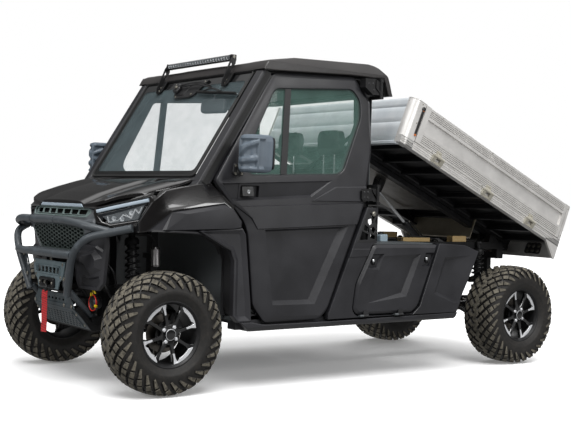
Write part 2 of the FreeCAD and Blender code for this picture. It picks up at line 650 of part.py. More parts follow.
MIRROR_ARM = [(1020, 762, 1255), (1040, 860, 1300), (1030, 905, 1350)]
mirror_shell = plate_xz([
    (948, 1262), (1010, 1240), (1108, 1262), (1122, 1330),
    (1118, 1420), (1070, 1452), (1000, 1450), (952, 1432),
], 868, 1000)
mirror = fuse([
    bent_bar(MIRROR_ARM, 12, 30),
    mirror_shell.cut(plate_yz([(885, 1275), (985, 1275), (985, 1432), (885, 1432)], 930, 962)),
    box(985, 1055, 764, 776, 1225, 1290),
])
mirror = mirror.cut(section)
save("mirror_left", mirror)
save("mirror_right", other_side(mirror))


def along_screen(offset, foot_z, head_z):
    """Two points on the windscreen's line, moved back by offset, at two heights."""
    slope = (SCREEN_HEAD[0] - SCREEN_FOOT[0]) / (SCREEN_HEAD[1] - SCREEN_FOOT[1])
    return [(SCREEN_FOOT[0] + slope * (z - SCREEN_FOOT[1]) - offset, z) for z in (foot_z, head_z)]


glass_front = along_screen(0, 1212, 1846)
glass_back = along_screen(GLASS, 1212, 1846)
screen = plate_xz(glass_front + glass_back[::-1], -SCREEN_HALF, SCREEN_HALF)
PILLAR_OUT = 728.0
pillar_front = along_screen(-8, 1185, 1850)
pillar_back = along_screen(62, 1185, 1850)
a_pillar = plate_xz(pillar_front + pillar_back[::-1], SCREEN_HALF + SOFT_GAP, PILLAR_OUT)
B_PILLAR_X = (CAB_REAR_X + SKIN, 70.0)
cage_left = [
    a_pillar.cut(grown(DOOR, SHUT_GAP, 680, 900)),
    box(B_PILLAR_X[0], B_PILLAR_X[1], 640, 682, BOX_TOP_Z, 1868),
    plate_xz([(B_PILLAR_X[0], 1860), (B_PILLAR_X[0], 1898), (790, 1870), (842, 1838), (760, 1838)], 640, 682),
    # cowl under the windscreen's foot and the post below it
    box(1010, 1240, 640, 712, 1178, 1200),
]
cage = fuse(
    cage_left + [other_side(s) for s in cage_left] + [
        box(B_PILLAR_X[0], B_PILLAR_X[0] + 40, -640, 640, 1850, 1896),
        plate_xz([(852, 1848), (790, 1848), (770, 1872), (812, 1872)], -640, 640),
        box(1180, 1238, -640, 640, 1178, 1210),
        box(1236, HOOD_HINGE[0] + 6, -460, -380, HOOD_HINGE[1] - 22, HOOD_HINGE[1] - 7 - RUN_GAP),
        box(1236, HOOD_HINGE[0] + 6, 380, 460, HOOD_HINGE[1] - 22, HOOD_HINGE[1] - 7 - RUN_GAP),
    ]
)
save("cab_cage", cage)
REAR_WINDOW = [(-560, 1180), (560, 1180), (540, 1790), (-540, 1790)]
WALL = [
    (-BOX_IN, FLOOR_Z - SKIN), (BOX_IN, FLOOR_Z - SKIN), (BOX_IN, BOX_TOP_Z), (REAR_WALL_HALF, BOX_TOP_Z),
    (REAR_WALL_HALF, 1890), (-REAR_WALL_HALF, 1890), (-REAR_WALL_HALF, BOX_TOP_Z), (-BOX_IN, BOX_TOP_Z),
]
wall_pieces = [plate_yz(WALL, CAB_REAR_X, CAB_REAR_X + SKIN)]
for z in DOOR_HINGES:
    for low in (z - HINGE_HALF - RUN_GAP - MOUNT_H, z + HINGE_HALF + RUN_GAP):
        mount = fuse([
            bar((*DOOR_PIN, low), (*DOOR_PIN, low + MOUNT_H), PIN_R + 2),
            box(CAB_REAR_X, DOOR_PIN[0], REAR_WALL_HALF - 30, DOOR_PIN[1], low, low + MOUNT_H),
        ])
        wall_pieces += [mount, other_side(mount)]
rear_wall = fuse(wall_pieces).cut(plate_yz(REAR_WINDOW, -100, 0))
save("rear_wall", rear_wall)
rear_glass = plate_yz(REAR_WINDOW, CAB_REAR_X + 8, CAB_REAR_X + 8 + GLASS)
save("cab_glass", Part.makeCompound([screen, rear_glass]))

ROOF_SIDE = [
    (842, 1852), (812, 1906), (600, 1942), (20, 1964),
    (-60, 1945), (-112, 1890), (-150, 1772), (-118, 1772),
    (-84, 1880), (-44, 1900), (796, 1874), (808, 1852),
]
roof = plate_xz(ROOF_SIDE, -ROOF_HALF, ROOF_HALF)
ROOF_SKIRT = [
    (812, 1906), (600, 1942), (20, 1964), (-60, 1945), (-112, 1890),
    (0, 1873), (143, 1878), (762, 1848), (842, 1848),
]
skirt = plate_xz(ROOF_SKIRT, ROOF_HALF - 46, ROOF_HALF)
roof = fuse([roof, skirt, other_side(skirt)])
chamfer = plate_yz([
    (ROOF_HALF - 60, 2000), (ROOF_HALF + 5, 2000), (ROOF_HALF + 5, 1900), (ROOF_HALF, 1900),
], -300, 1000)
save("roof", roof.cut(chamfer).cut(other_side(chamfer)))

LIGHT_BAR_HALF = 384.0
LIGHT_BRACKET = [
    (806, 1966), (846, 1944), (908, 1795), (904, 1762), (889, 1762), (847, 1832), (847, 1870), (812, 1910),
]
light_bar = [box(800, 838, -LIGHT_BAR_HALF, LIGHT_BAR_HALF, 1930, 1966)]
for s in (1, -1):
    y0, y1 = sorted((s * 386, s * 396))
    light_bar.append(plate_xz(LIGHT_BRACKET, y0, y1))
    y2, y3 = sorted((s * 380, s * 397))
    light_bar.append(box(812, 830, y2, y3, 1940, 1956))
save("light_bar", fuse(light_bar))

# floor, seat plinth, firewall and dashboard
SEAT_FRONT_X = 480.0
SEAT_REAR_X = 125.0
PLINTH_Z = 610.0
SEAT_Z = 730.0
BACK_TOP_Z = 1270.0
floor = fuse([
    box(CAB_REAR_X + SKIN, CAB_FRONT_X - SKIN, -735, 735, FLOOR_Z - SKIN, FLOOR_Z),
    box(CAB_FRONT_X - SKIN, CAB_FRONT_X, -640, 640, FLOOR_Z - SKIN, 1130),
    box(SEAT_REAR_X, SEAT_FRONT_X - 40, -620, 620, FLOOR_Z, PLINTH_Z),
])
under_seat = box(SEAT_REAR_X + SKIN, SEAT_FRONT_X - 40 - SKIN, SKIN - 620, 620 - SKIN,
                 FLOOR_Z - SKIN - 1, PLINTH_Z - SKIN)
save("floor_pan", floor.cut(under_seat))
save("seat_base", box(SEAT_REAR_X, SEAT_FRONT_X, -640, 640, PLINTH_Z + SOFT_GAP, SEAT_Z))
SEAT_BACK = [(92, SEAT_Z + SOFT_GAP), (225, SEAT_Z + SOFT_GAP), (130, BACK_TOP_Z), (50, BACK_TOP_Z)]
save("seat_back", plate_xz(SEAT_BACK, -630, 630))
headrests = []
for y in (-430, 0, 430):
    headrests.append(fuse([
        box(35, 125, y - 125, y + 125, 1375, 1565),
        bar((92, y - 55, BACK_TOP_Z + SOFT_GAP), (92, y - 55, 1380), 6),
        bar((92, y + 55, BACK_TOP_Z + SOFT_GAP), (92, y + 55, 1380), 6),
    ]))
save("headrests", Part.makeCompound(headrests))
dash = fuse([
    plate_xz([(CAB_FRONT_X - SKIN - 1, 800), (CAB_FRONT_X - SKIN - 1, 1130), (1180, 1178), (1180, 1196),
              (1000, 1200), (900, 1150), (870, 1060), (900, 900)], -635, 635),
])
WHEEL_CENTRE = (716.0, 330.0, 1128.0)
COLUMN_TILT = 28.0     # from the horizontal
column_dir = (math.cos(math.radians(COLUMN_TILT)), -math.sin(math.radians(COLUMN_TILT)))
column = bar((WHEEL_CENTRE[0] + 30 * column_dir[0], WHEEL_CENTRE[1], WHEEL_CENTRE[2] + 30 * column_dir[1]),
             (WHEEL_CENTRE[0] + 230 * column_dir[0], WHEEL_CENTRE[1],
              WHEEL_CENTRE[2] + 230 * column_dir[1]), 30)
save("dashboard", fuse([dash, column]))
RING_R = 178.0
ring_solid = Part.makeTorus(RING_R, 15, V(0, 0, 0), V(1, 0, 0))
spokes = [bar((8, 0, 0), (0, RING_R * math.sin(math.radians(a)), RING_R * math.cos(math.radians(a))), 11)
          for a in (90, 180, 270)]
steering_wheel = fuse([ring_solid, bar((-12, 0, 0), (29.5, 0, 0), 45)] + spokes)
steering_wheel.rotate(V(0, 0, 0), V(0, 1, 0), COLUMN_TILT)
steering_wheel.translate(V(*WHEEL_CENTRE))
save("steering_wheel", steering_wheel)

# ---- lower body: sills, side boxes, quarter panels --------------------------------------------
SILL = [
    (906, 392), (985, 392), (908, SILL_Z0), (-735, SILL_Z0 + 15),
    (-750, 372), (-760, 390), (340, 374), (820, 374),
]
sill = plate_xz(SILL, 690, BODY_HALF)
save("sills", both(sill))
STORE = [(-6, 842), (-566, 842), (-408, 442), (-350, 400), (112, 400), (148, 437), (128, 594), (59, 721)]
QUARTER = [
    (-572, 846), (-590, 846), (-812, 835), (-944, 794), (-752, 392), (-352, 390), (-414, 440),
]
STRIP = [
    (56, 1068), (338, 420), (340, 384), (-350, 392),
    (-350, 420), (BOX_REAR_X, 846), (-34, 846), (-34, 1068),
]
box_outer = box(BOX_REAR_X, B_PILLAR_X[1], BOX_IN, 700, FLOOR_Z, BOX_TOP_Z)
box_inner = box(BOX_REAR_X + BOX_WALL, B_PILLAR_X[1] - BOX_WALL, BOX_IN + BOX_WALL, 800,
                FLOOR_Z + BOX_WALL, BOX_TOP_Z - BOX_WALL)
side_box = fuse([
    box_outer.cut(box_inner),
    plate_xz(QUARTER, 690, BODY_HALF),
    plate_xz(STRIP, 700, BODY_HALF - 4).cut(grown(DOOR, SHUT_GAP, 600, 900)),
    plate_xz([(-34, BOX_TOP_Z - 4), (-34, 870), (BOX_REAR_X, 870), (BOX_REAR_X, BOX_TOP_Z - 4)], 690, 701),
    box(B_PILLAR_X[1] - 10, 160, 690, 701, 392, 610),
])
side_box = side_box.cut(grown(STORE, SHUT_GAP - 1, 701, 900))
STORE_HINGE = (BODY_HALF + 6.5, 398.0)   # y, z of the axis along the foot of the lid
STORE_HINGE_X = (-260.0, 30.0)
STORE_PIN_R = 6.0
store_pieces = [plate_xz(STORE, BODY_HALF - 38, BODY_HALF)]
for x in STORE_HINGE_X:
    store_pieces.append(bar((x, *STORE_HINGE), (x + 40, *STORE_HINGE), STORE_PIN_R))
    store_pieces.append(box(x, x + 40, BODY_HALF - 3, BODY_HALF + 6.5, 403, 430))
    store_pieces.append(box(x, x + 40, BODY_HALF + 1.5, BODY_HALF + 6.5, 398, 404))
    side_box = fuse([
        side_box,
        bar((x + 40 + RUN_GAP, *STORE_HINGE), (x + 70, *STORE_HINGE), STORE_PIN_R),
        box(x + 40 + RUN_GAP, x + 70, BODY_HALF - 20, STORE_HINGE[0], 393.5, 397.5),
    ])
save("side_box_left", side_box)
save("side_box_right", other_side(side_box))
store_door = fuse(store_pieces)
save("storage_door_left", store_door)
save("storage_door_right", other_side(store_door))

# ---- tipping bed -------------------------------------------------------------------------------
BOARD_W0 = BED_FLOOR_W1 + SHUT_GAP
SIDE_U = (BED_REAR_U + 22 + SHUT_GAP, BED_FRONT_U - POST_LEN - SHUT_GAP)
HINGE_W = BED_FLOOR_W1 - 6
KNUCKLE_HALF = 22 - RUN_GAP
SIDE_HINGE_U = (80.0, 560.0, 1080.0)
TAIL_HINGE_Y = (-480.0, 0.0, 480.0)
TAIL_HALF = BED_HALF - 28

bed_floor = box(BED_REAR_U, BED_FRONT_U - 30, -BED_HALF + 42, BED_HALF - 42,
                BED_FLOOR_W1 - FLOOR_T, BED_FLOOR_W1)
save("bed_floor", on_bed(bed_floor))

rail_left = box(BED_REAR_U, BED_FRONT_U, BED_HALF - 42, BED_HALF, BED_RAIL_W0, BED_FLOOR_W1)
knuckles_left = []
for u in SIDE_HINGE_U:
    for u0, u1 in ((u - 50, u - 22), (u + 22, u + 50)):
        knuckles_left.append(fuse([
            bar((u0, BED_HALF + HINGE_OUT, HINGE_W), (u1, BED_HALF + HINGE_OUT, HINGE_W), KNUCKLE_R),
            box(u0, u1, BED_HALF - 2, BED_HALF + HINGE_OUT, BED_RAIL_W0 + 4, HINGE_W - 1),
        ]))
front_post = box(BED_FRONT_U - POST_LEN, BED_FRONT_U, BED_HALF - POST_T, BED_HALF,
                 BED_FLOOR_W1 - 1, BOARD_TOP_W + 4)
rear_post = plate_xz([
    (BED_REAR_U, -10), (BED_REAR_U + 22, -10), (BED_REAR_U + 150, BED_RAIL_W0 + 2),
    (BED_REAR_U + 150, BED_RAIL_W0 + 12), (BED_REAR_U + 22, BED_FLOOR_W1), (BED_REAR_U + 22, BOARD_TOP_W),
    (BED_REAR_U, BOARD_TOP_W),
], BED_HALF - 18, BED_HALF)
beam = box(BED_REAR_U + 20, BED_FRONT_U - 30, BEAM_Y - BEAM_W / 2, BEAM_Y + BEAM_W / 2,
           BEAM_W0, BED_FLOOR_W1 - FLOOR_T)
pivot_drop = plate_xz([(-40, BEAM_W0 + 4), (40, BEAM_W0 + 4), (24, -24), (-24, -24)],
                      BEAM_Y - 12, BEAM_Y + 12)
left_bed = [rail_left, front_post, rear_post, beam, pivot_drop] + knuckles_left
RIB_PITCH = 190.0
ribs = []
rib_u = BED_REAR_U + 90
while rib_u < BED_FRONT_U - 60:
    ribs.append(box(rib_u - 20, rib_u + 20, -BED_HALF + 40, BED_HALF - 40, 82, BED_FLOOR_W1 - FLOOR_T))
    rib_u += RIB_PITCH
tail_knuckles = []
for y in TAIL_HINGE_Y:
    for y0, y1 in ((y - 50, y - 22), (y + 22, y + 50)):
        tail_knuckles.append(fuse([
            bar((BED_REAR_U - HINGE_OUT, y0, HINGE_W), (BED_REAR_U - HINGE_OUT, y1, HINGE_W), KNUCKLE_R),
            box(BED_REAR_U - HINGE_OUT, BED_REAR_U + 2, y0, y1, BED_RAIL_W0 + 4, HINGE_W - 1),
        ]))
rear_plate = box(BED_REAR_U, BED_REAR_U + 14, -BED_HALF + 16, BED_HALF - 16, -10, BED_FLOOR_W1 - FLOOR_T + 1)
guard = box(150, 158, -330, 330, -60, BED_FLOOR_W1 - FLOOR_T)
pivot_tube = bar((0, -406, 0), (0, 406, 0), PIVOT_R)
ROD_EYE = (980.0, 150.0, -50.0)   # u, y, w
eye_lugs = [box(ROD_EYE[0] - 18, ROD_EYE[0] + 18, y, y + 10, ROD_EYE[2] - 18, 84)
            for y in (ROD_EYE[1] - 34, ROD_EYE[1] + 24)]
eye_pad = box(ROD_EYE[0] - 45, ROD_EYE[0] + 45, -BEAM_Y, BEAM_Y, 80, BED_FLOOR_W1 - FLOOR_T)
eye_bore = bar((ROD_EYE[0], ROD_EYE[1] - 60, ROD_EYE[2]), (ROD_EYE[0], ROD_EYE[1] + 60, ROD_EYE[2]),
               10 + RUN_GAP)
bed_frame = fuse(left_bed + [other_side(s) for s in left_bed] + ribs + tail_knuckles
                 + [rear_plate, guard, pivot_tube, eye_pad] + eye_lugs).cut(eye_bore)
save("bed_frame", on_bed(bed_frame))

headboard = fuse([
    box(BED_FRONT_U - 30, BED_FRONT_U, -BED_HALF + POST_T, BED_HALF - POST_T,
        BED_FLOOR_W1 - FLOOR_T + 1, BOARD_TOP_W + 2),
    box(BED_FRONT_U - 30, BED_FRONT_U, -BED_HALF + 42, BED_HALF - 42,
        BED_FLOOR_W1 - FLOOR_T + 1, BED_FLOOR_W1 - 1),
])
save("headboard", on_bed(headboard.cut(bed_frame)))

board = [box(SIDE_U[0], SIDE_U[1], BED_HALF - BOARD_T, BED_HALF, BOARD_W0, BOARD_TOP_W)]
for u in SIDE_HINGE_U:
    board.append(bar((u - KNUCKLE_HALF, BED_HALF + HINGE_OUT, HINGE_W),
                     (u + KNUCKLE_HALF, BED_HALF + HINGE_OUT, HINGE_W), KNUCKLE_R))
    for y0, w0, w1 in ((BED_HALF + 0.5, HINGE_W + 1, BOARD_W0), (BED_HALF - 2, BOARD_W0, BOARD_W0 + 30)):
        board.append(box(u - KNUCKLE_HALF, u + KNUCKLE_HALF, y0, BED_HALF + HINGE_OUT, w0, w1))
side_board = on_bed(fuse(board))
save("side_board_left", side_board)
save("side_board_right", other_side(side_board))

tail = [box(BED_REAR_U - 4, BED_REAR_U + 20, -TAIL_HALF, TAIL_HALF, BOARD_W0, BOARD_TOP_W)]
for y in TAIL_HINGE_Y:
    tail.append(bar((BED_REAR_U - HINGE_OUT, y - KNUCKLE_HALF, HINGE_W),
                    (BED_REAR_U - HINGE_OUT, y + KNUCKLE_HALF, HINGE_W), KNUCKLE_R))
    tail.append(box(BED_REAR_U - HINGE_OUT, BED_REAR_U - 2, y - KNUCKLE_HALF, y + KNUCKLE_HALF,
                    HINGE_W + 1, BOARD_W0 + 30))
save("tailgate", on_bed(fuse(tail)))

# lift cylinder: drawn in place between its foot on the frame and its eye under the bed
tilt = math.radians(BED_TILT)
eye = V(PIVOT_X + ROD_EYE[0] * math.cos(tilt) - ROD_EYE[2] * math.sin(tilt), ROD_EYE[1],
        PIVOT_Z + ROD_EYE[0] * math.sin(tilt) + ROD_EYE[2] * math.cos(tilt))
foot = V(*CYL_FOOT)
length = (eye - foot).Length
BARREL_R = 24.0
ROD_R = 10.0
BARREL_LEN = 560.0
ROD_LEN = 520.0


def on_cylinder(distance):
    """Point on the cylinder's axis, measured from its foot."""
    return tuple(foot + (eye - foot) * (distance / length))


barrel = fuse([
    bar(on_cylinder(30), on_cylinder(BARREL_LEN), BARREL_R),
    bar((foot.x, foot.y - 21, foot.z), (foot.x, foot.y + 21, foot.z), 18),
    bar(on_cylinder(0), on_cylinder(34), 14),
    bar((foot.x, foot.y - 34, foot.z), (foot.x, foot.y + 34, foot.z), 10),
])
rod_bore = bar(on_cylinder(40), on_cylinder(BARREL_LEN + 5), ROD_R + RUN_GAP)
save("lift_barrel", barrel.cut(rod_bore))
rod = fuse([
    bar(on_cylinder(length - ROD_LEN), on_cylinder(length - 10), ROD_R),
    bar((eye.x, eye.y - 20, eye.z), (eye.x, eye.y + 20, eye.z), 16),
])
save("lift_rod", rod)
print("cylinder length", round(length, 1), "eye", [round(c, 1) for c in eye])

# ---- pieces that seat against others are notched round them, then all are written ---------------
NOTCHES = [
    # piece, what it is notched round
    ("suspension_arms", ("chassis_frame", "rear_hubs")),
    ("shocks", ("chassis_frame", "suspension_arms")),
    ("axles", ("chassis_frame", "rear_hubs")),
    ("front_fascia", ("front_bumper", "winch", "chassis_frame", "front_wing_left", "front_wing_right")),
    ("skid_plate", ("front_bumper", "winch", "chassis_frame")),
    ("front_wing_left", ("floor_pan", "chassis_frame")),
    ("front_wing_right", ("floor_pan", "chassis_frame")),
    ("cab_cage", ("roof", "front_wing_left", "front_wing_right")),
    ("rear_wall", ("roof", "cab_cage", "side_box_left", "side_box_right")),
    ("light_bar", ("roof", "cab_cage")),
    ("dashboard", ("cab_cage", "floor_pan")),
    ("sills", ("chassis_frame", "floor_pan", "side_box_left", "side_box_right")),
    ("side_box_left", ("floor_pan", "chassis_frame", "cab_cage")),
    ("side_box_right", ("floor_pan", "chassis_frame", "cab_cage")),
    ("floor_pan", ("chassis_frame", "rear_wall")),
    ("bed_floor", ("bed_frame",)),
]
for name, others in NOTCHES:
    solids = [part for other in others for part in PIECES[other].Solids]
    PIECES[name] = PIECES[name].cut(solids)
os.makedirs("parts", exist_ok=True)
for name, shape in PIECES.items():
    if len(shape.Solids) == 0 or not shape.isValid():
        raise ValueError(f"{name} is not a good solid")
    shape.exportStep(f"parts/{name}.step")
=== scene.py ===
"""Finish of a side-by-side utility vehicle with a closed cab and a raised, drop-side tipping bed.

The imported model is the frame: its bodies carry every piece here. Lengths are metres in the vehicle's frame,
with +X forward, +Y to the vehicle's left and +Z up from the ground; MM turns millimetres into metres.
"""
import math

import bmesh
import bpy
import numpy as np
from mathutils import Matrix, Vector
from mathutils.geometry import delaunay_2d_cdt


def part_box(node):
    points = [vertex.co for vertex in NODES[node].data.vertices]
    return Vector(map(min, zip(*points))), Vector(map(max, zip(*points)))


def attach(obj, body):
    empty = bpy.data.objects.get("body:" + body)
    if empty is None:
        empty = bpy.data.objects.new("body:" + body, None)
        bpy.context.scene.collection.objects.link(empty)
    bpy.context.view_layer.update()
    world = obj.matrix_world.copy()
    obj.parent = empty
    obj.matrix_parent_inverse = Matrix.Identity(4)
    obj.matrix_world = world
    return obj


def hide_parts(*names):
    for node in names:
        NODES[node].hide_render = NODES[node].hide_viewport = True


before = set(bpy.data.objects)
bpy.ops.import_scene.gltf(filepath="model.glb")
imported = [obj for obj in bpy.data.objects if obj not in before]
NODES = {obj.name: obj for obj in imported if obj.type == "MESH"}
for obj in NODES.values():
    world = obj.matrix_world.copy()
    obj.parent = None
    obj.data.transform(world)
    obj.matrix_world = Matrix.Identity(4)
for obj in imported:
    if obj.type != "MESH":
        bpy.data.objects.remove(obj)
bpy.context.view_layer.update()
MM = 0.001
AXES = {"x": 0, "y": 1, "z": 2}
ORIGIN = (0, 0, 0)
SIDES = ((1, "left"), (-1, "right"))
TINY = 1e-12       # keeps a division from being by nothing


# ---- materials: helpers ------------------------------------------------------------------------------

def linear(hex_colour):
    """sRGB hex, such as 3A3B3D, as the linear RGBA that shader sockets take."""
    channels = np.array([int(hex_colour[i:i + 2], 16) for i in (0, 2, 4)]) / 255
    low = channels / 12.92
    high = ((channels + 0.055) / 1.055) ** 2.4
    return (*np.where(channels <= 0.04045, low, high), 1.0)


def add(tree, kind, settings=None, **links):
    """One shader node. settings are its own properties; a link is a socket to join or a value to set.
    An input's name is written with _ for a space, or as in_0 for the first input."""
    node = tree.nodes.new("ShaderNode" + kind)
    for key, value in (settings or {}).items():
        setattr(node, key, value)
    for key, value in links.items():
        if key.startswith("in_"):
            socket = node.inputs[int(key[3:])]
        else:
            socket = node.inputs[key.replace("_", " ")]
        if isinstance(value, bpy.types.NodeSocket):
            tree.links.new(value, socket)
        else:
            socket.default_value = value
    return node


def ramp(tree, factor, *table):
    """Colour ramp over a factor, its stops given as (position, colour or grey value)."""
    node = add(tree, "ValToRGB", Fac=factor)
    elements = node.color_ramp.elements
    while len(elements) < len(table):
        elements.new(0.5)
    for element, (position, value) in zip(elements, table):
        element.position = position
        element.color = linear(value) if isinstance(value, str) else (value, value, value, 1.0)
    return node.outputs["Color"]


def blend(tree, factor, colour, other):
    """Mix of two hex colours by a factor."""
    node = add(tree, "Mix", {"data_type": "RGBA"}, Factor=factor)
    node.inputs["A"].default_value = linear(colour)
    node.inputs["B"].default_value = linear(other)
    return node.outputs["Result"]


def spread(tree, value, low, high, socket):
    """Drives a shader's socket from low to high as the value goes from 0 to 1."""
    run = add(tree, "MapRange", Value=value, To_Min=low, To_Max=high)
    tree.links.new(run.outputs["Result"], socket)


def start(name, **surface):
    """A new material: its tree, its Principled shader with the given constants, and its Object
    coordinates."""
    made = bpy.data.materials.new(name)
    made.use_nodes = True
    tree = made.node_tree
    tree.nodes.clear()
    shader = add(tree, "BsdfPrincipled", **surface)
    add(tree, "OutputMaterial", Surface=shader.outputs["BSDF"])
    place = add(tree, "TexCoord").outputs["Object"]
    return made, tree, shader, place


def noise(tree, place, size_mm, detail=3.0, rough=0.55):
    """Noise whose main features are size_mm across."""
    return add(tree, "TexNoise", Vector=place, Scale=1000.0 / size_mm, Detail=detail,
               Roughness=rough).outputs["Fac"]


def bump(tree, shader, height, depth_mm):
    """Bump on the shader, depth_mm from the height's 0 to its 1."""
    node = add(tree, "Bump", Height=height, Distance=depth_mm * MM, Strength=1.0)
    tree.links.new(node.outputs["Normal"], shader.inputs["Normal"])


# ---- materials: one function for each way that a surface is made -------------------------------------

def moulded(name, colour, worn, rough=0.55, grain_mm=2.4, depth_mm=0.10):
    """Injection-moulded plastic with a spark-eroded grain. The eye gets a dull, slightly mottled sheet
    that turns greyer where hands and dust have been. The real grain is under 1 mm; it is drawn coarser so
    that it shows."""
    made, tree, shader, place = start(name, Roughness=rough, IOR=1.49, Specular_IOR_Level=0.6)
    patches = ramp(tree, noise(tree, place, 260, 4), (0.35, 0.0), (0.75, 1.0))
    grain = noise(tree, place, grain_mm, 2, 0.7)
    speck = add(tree, "Mix", {"data_type": "RGBA", "blend_type": "OVERLAY"}, in_0=0.35)
    tree.links.new(blend(tree, patches, colour, worn), speck.inputs["A"])
    tree.links.new(ramp(tree, grain, (0.3, 0.35), (0.7, 0.65)), speck.inputs["B"])
    tree.links.new(speck.outputs["Result"], shader.inputs["Base Color"])
    spread(tree, patches, rough - 0.05, min(rough + 0.10, 1.0), shader.inputs["Roughness"])
    bump(tree, shader, grain, depth_mm)
    return made


def gloss_moulded(name, colour, haze="171516"):
    """Piano-black ABS under a clear coat: near-black, mirror-like, with faint polishing haze and orange
    peel."""
    made, tree, shader, place = start(
        name, Roughness=0.16, IOR=1.53, Coat_Weight=1.0, Coat_Roughness=0.03, Coat_IOR=1.5)
    cloud = ramp(tree, noise(tree, place, 180, 5), (0.4, colour), (0.85, haze))
    tree.links.new(cloud, shader.inputs["Base Color"])
    spread(tree, noise(tree, place, 40, 6, 0.7), 0.12, 0.22, shader.inputs["Roughness"])
    bump(tree, shader, noise(tree, place, 14, 1), 0.05)
    return made


def powder_coated(name, colour, light, rough=0.42):
    """Steel or alloy under baked powder: even and satin, with an orange-peel skin and lighter scuffs."""
    made, tree, shader, place = start(name, Roughness=rough, Metallic=0.0, Specular_IOR_Level=0.4)
    scuffs = ramp(tree, noise(tree, place, 60, 8, 0.72), (0.52, colour), (0.78, light))
    tree.links.new(scuffs, shader.inputs["Base Color"])
    spread(tree, noise(tree, place, 90, 4), rough - 0.08, rough + 0.12, shader.inputs["Roughness"])
    bump(tree, shader, noise(tree, place, 3.5, 1), 0.07)
    return made


def drawn_metal(name, colour, dark, along=(1, 60, 60), rough=0.34, line_mm=60, metallic=1.0, turn=(0, 0, 0)):
    """Extruded or rolled metal: faint lines that run the way it was drawn, with duller cloudy patches of
    oxide. along stretches the noise, which makes the lines; turn lays them along a raised or slanting
    piece."""
    made, tree, shader, place = start(name, Roughness=rough, Metallic=metallic)
    laid = add(tree, "Mapping", {"vector_type": "POINT"}, Vector=place, Rotation=turn, Scale=along)
    lines = noise(tree, laid.outputs["Vector"], line_mm, 3, 0.6)
    cloud = noise(tree, place, 140, 5, 0.6)
    tone = blend(tree, ramp(tree, cloud, (0.3, 0.0), (0.8, 1.0)), colour, dark)
    tree.links.new(tone, shader.inputs["Base Color"])
    dull = add(tree, "Math", {"operation": "MULTIPLY_ADD"}, in_0=lines, in_1=0.22, in_2=rough - 0.12)
    tree.links.new(dull.outputs["Value"], shader.inputs["Roughness"])
    bump(tree, shader, lines, 0.03)
    return made


def tinted_glass(name, colour, opacity):
    """Tempered safety glass with a green tint, seen through a thin film of dust and dried wash marks."""
    made, tree, shader, place = start(name, Roughness=0.02, IOR=1.5, Base_Color=linear(colour),
                                      Coat_Weight=0.3)
    spread(tree, noise(tree, place, 120, 4, 0.6), opacity - 0.05, opacity + 0.08, shader.inputs["Alpha"])
    spread(tree, noise(tree, place, 30, 5, 0.7), 0.0, 0.06, shader.inputs["Roughness"])
    return made


def tread_rubber(name, colour, dust, reach=(0.45, 0.95), rough=0.8):
    """Vulcanised tyre compound: near-black and dull, with dried mud smeared over it, thick on the worn
    lug tops and thin elsewhere. reach is where on the noise the mud starts and is full."""
    made, tree, shader, place = start(name, Roughness=rough, IOR=1.5, Specular_IOR_Level=0.3)
    smear = ramp(tree, noise(tree, place, 26, 6, 0.7), (reach[0], 0.0), (reach[1], 1.0))
    tree.links.new(blend(tree, smear, colour, dust), shader.inputs["Base Color"])
    bump(tree, shader, noise(tree, place, 4, 4, 0.7), 0.35)
    return made


def woven(name, colour, dark, thread_mm):
    """Flat woven webbing: ribs across it a thread apart, a soft sheen, and painted shade that darkens the
    hollows between threads."""
    made, tree, shader, place = start(name, Roughness=0.8, Sheen_Weight=0.4)
    waves = 1000.0 / (thread_mm * 20.0)
    ribs = add(tree, "TexWave", {"wave_type": "BANDS", "bands_direction": "Z"}, Vector=place,
               Scale=waves * 3.14, Distortion=0.6, Detail=1.0)
    cross = add(tree, "TexWave", {"wave_type": "BANDS", "bands_direction": "DIAGONAL"}, Vector=place,
                Scale=waves * 2.2, Distortion=0.4)
    weave = add(tree, "Math", {"operation": "MULTIPLY"}, in_0=ribs.outputs["Fac"], in_1=cross.outputs["Fac"])
    # painted shade: the ramp's dark end falls in the weave's hollows; the dye itself is one red
    tree.links.new(ramp(tree, weave.outputs["Value"], (0.0, dark), (0.5, colour)),
                   shader.inputs["Base Color"])
    bump(tree, shader, weave.outputs["Value"], 0.4)
    return made


def vinyl(name, colour, light, rough=0.5, cell_mm=5.0):
    """Embossed vinyl over foam: a leather-like cell grain, cell_mm apart, with a low sheen on the cell
    tops."""
    made, tree, shader, place = start(name, Roughness=rough, IOR=1.46)
    cells = add(tree, "TexVoronoi", {"feature": "F1"}, Vector=place, Scale=1000.0 / cell_mm, Randomness=0.9)
    wear = noise(tree, place, 90, 4)
    tree.links.new(ramp(tree, wear, (0.35, colour), (0.8, light)), shader.inputs["Base Color"])
    spread(tree, cells.outputs["Distance"], rough - 0.04, rough + 0.10, shader.inputs["Roughness"])
    bump(tree, shader, cells.outputs["Distance"], 0.12)
    return made


def sawn_wood(name, pale, grain):
    """Sawn softwood: growth rings cut lengthwise, pale between darker late wood, with a furry sawn face."""
    made, tree, shader, place = start(name, Roughness=0.75, IOR=1.5)
    laid = add(tree, "Mapping", Vector=place, Scale=(0.6, 6.0, 9.0))
    rings = add(tree, "TexWave", {"wave_type": "RINGS"}, Vector=laid.outputs["Vector"], Scale=9.0,
                Distortion=5.0, Detail=3.0, Detail_Scale=1.4)
    tree.links.new(ramp(tree, rings.outputs["Fac"], (0.2, pale), (0.9, grain)), shader.inputs["Base Color"])
    bump(tree, shader, noise(tree, place, 4, 4, 0.8), 0.3)
    return made


def glowing(name, colour, power, base):
    """LED light guide: a frosted acrylic bar that is lit from within, a little brighter at its diodes."""
    made, tree, shader, place = start(name, Roughness=0.25, IOR=1.49, Base_Color=linear(base),
                                      Emission_Color=linear(colour))
    spread(tree, noise(tree, place, 18, 1), power * 0.7, power, shader.inputs["Emission Strength"])
    return made


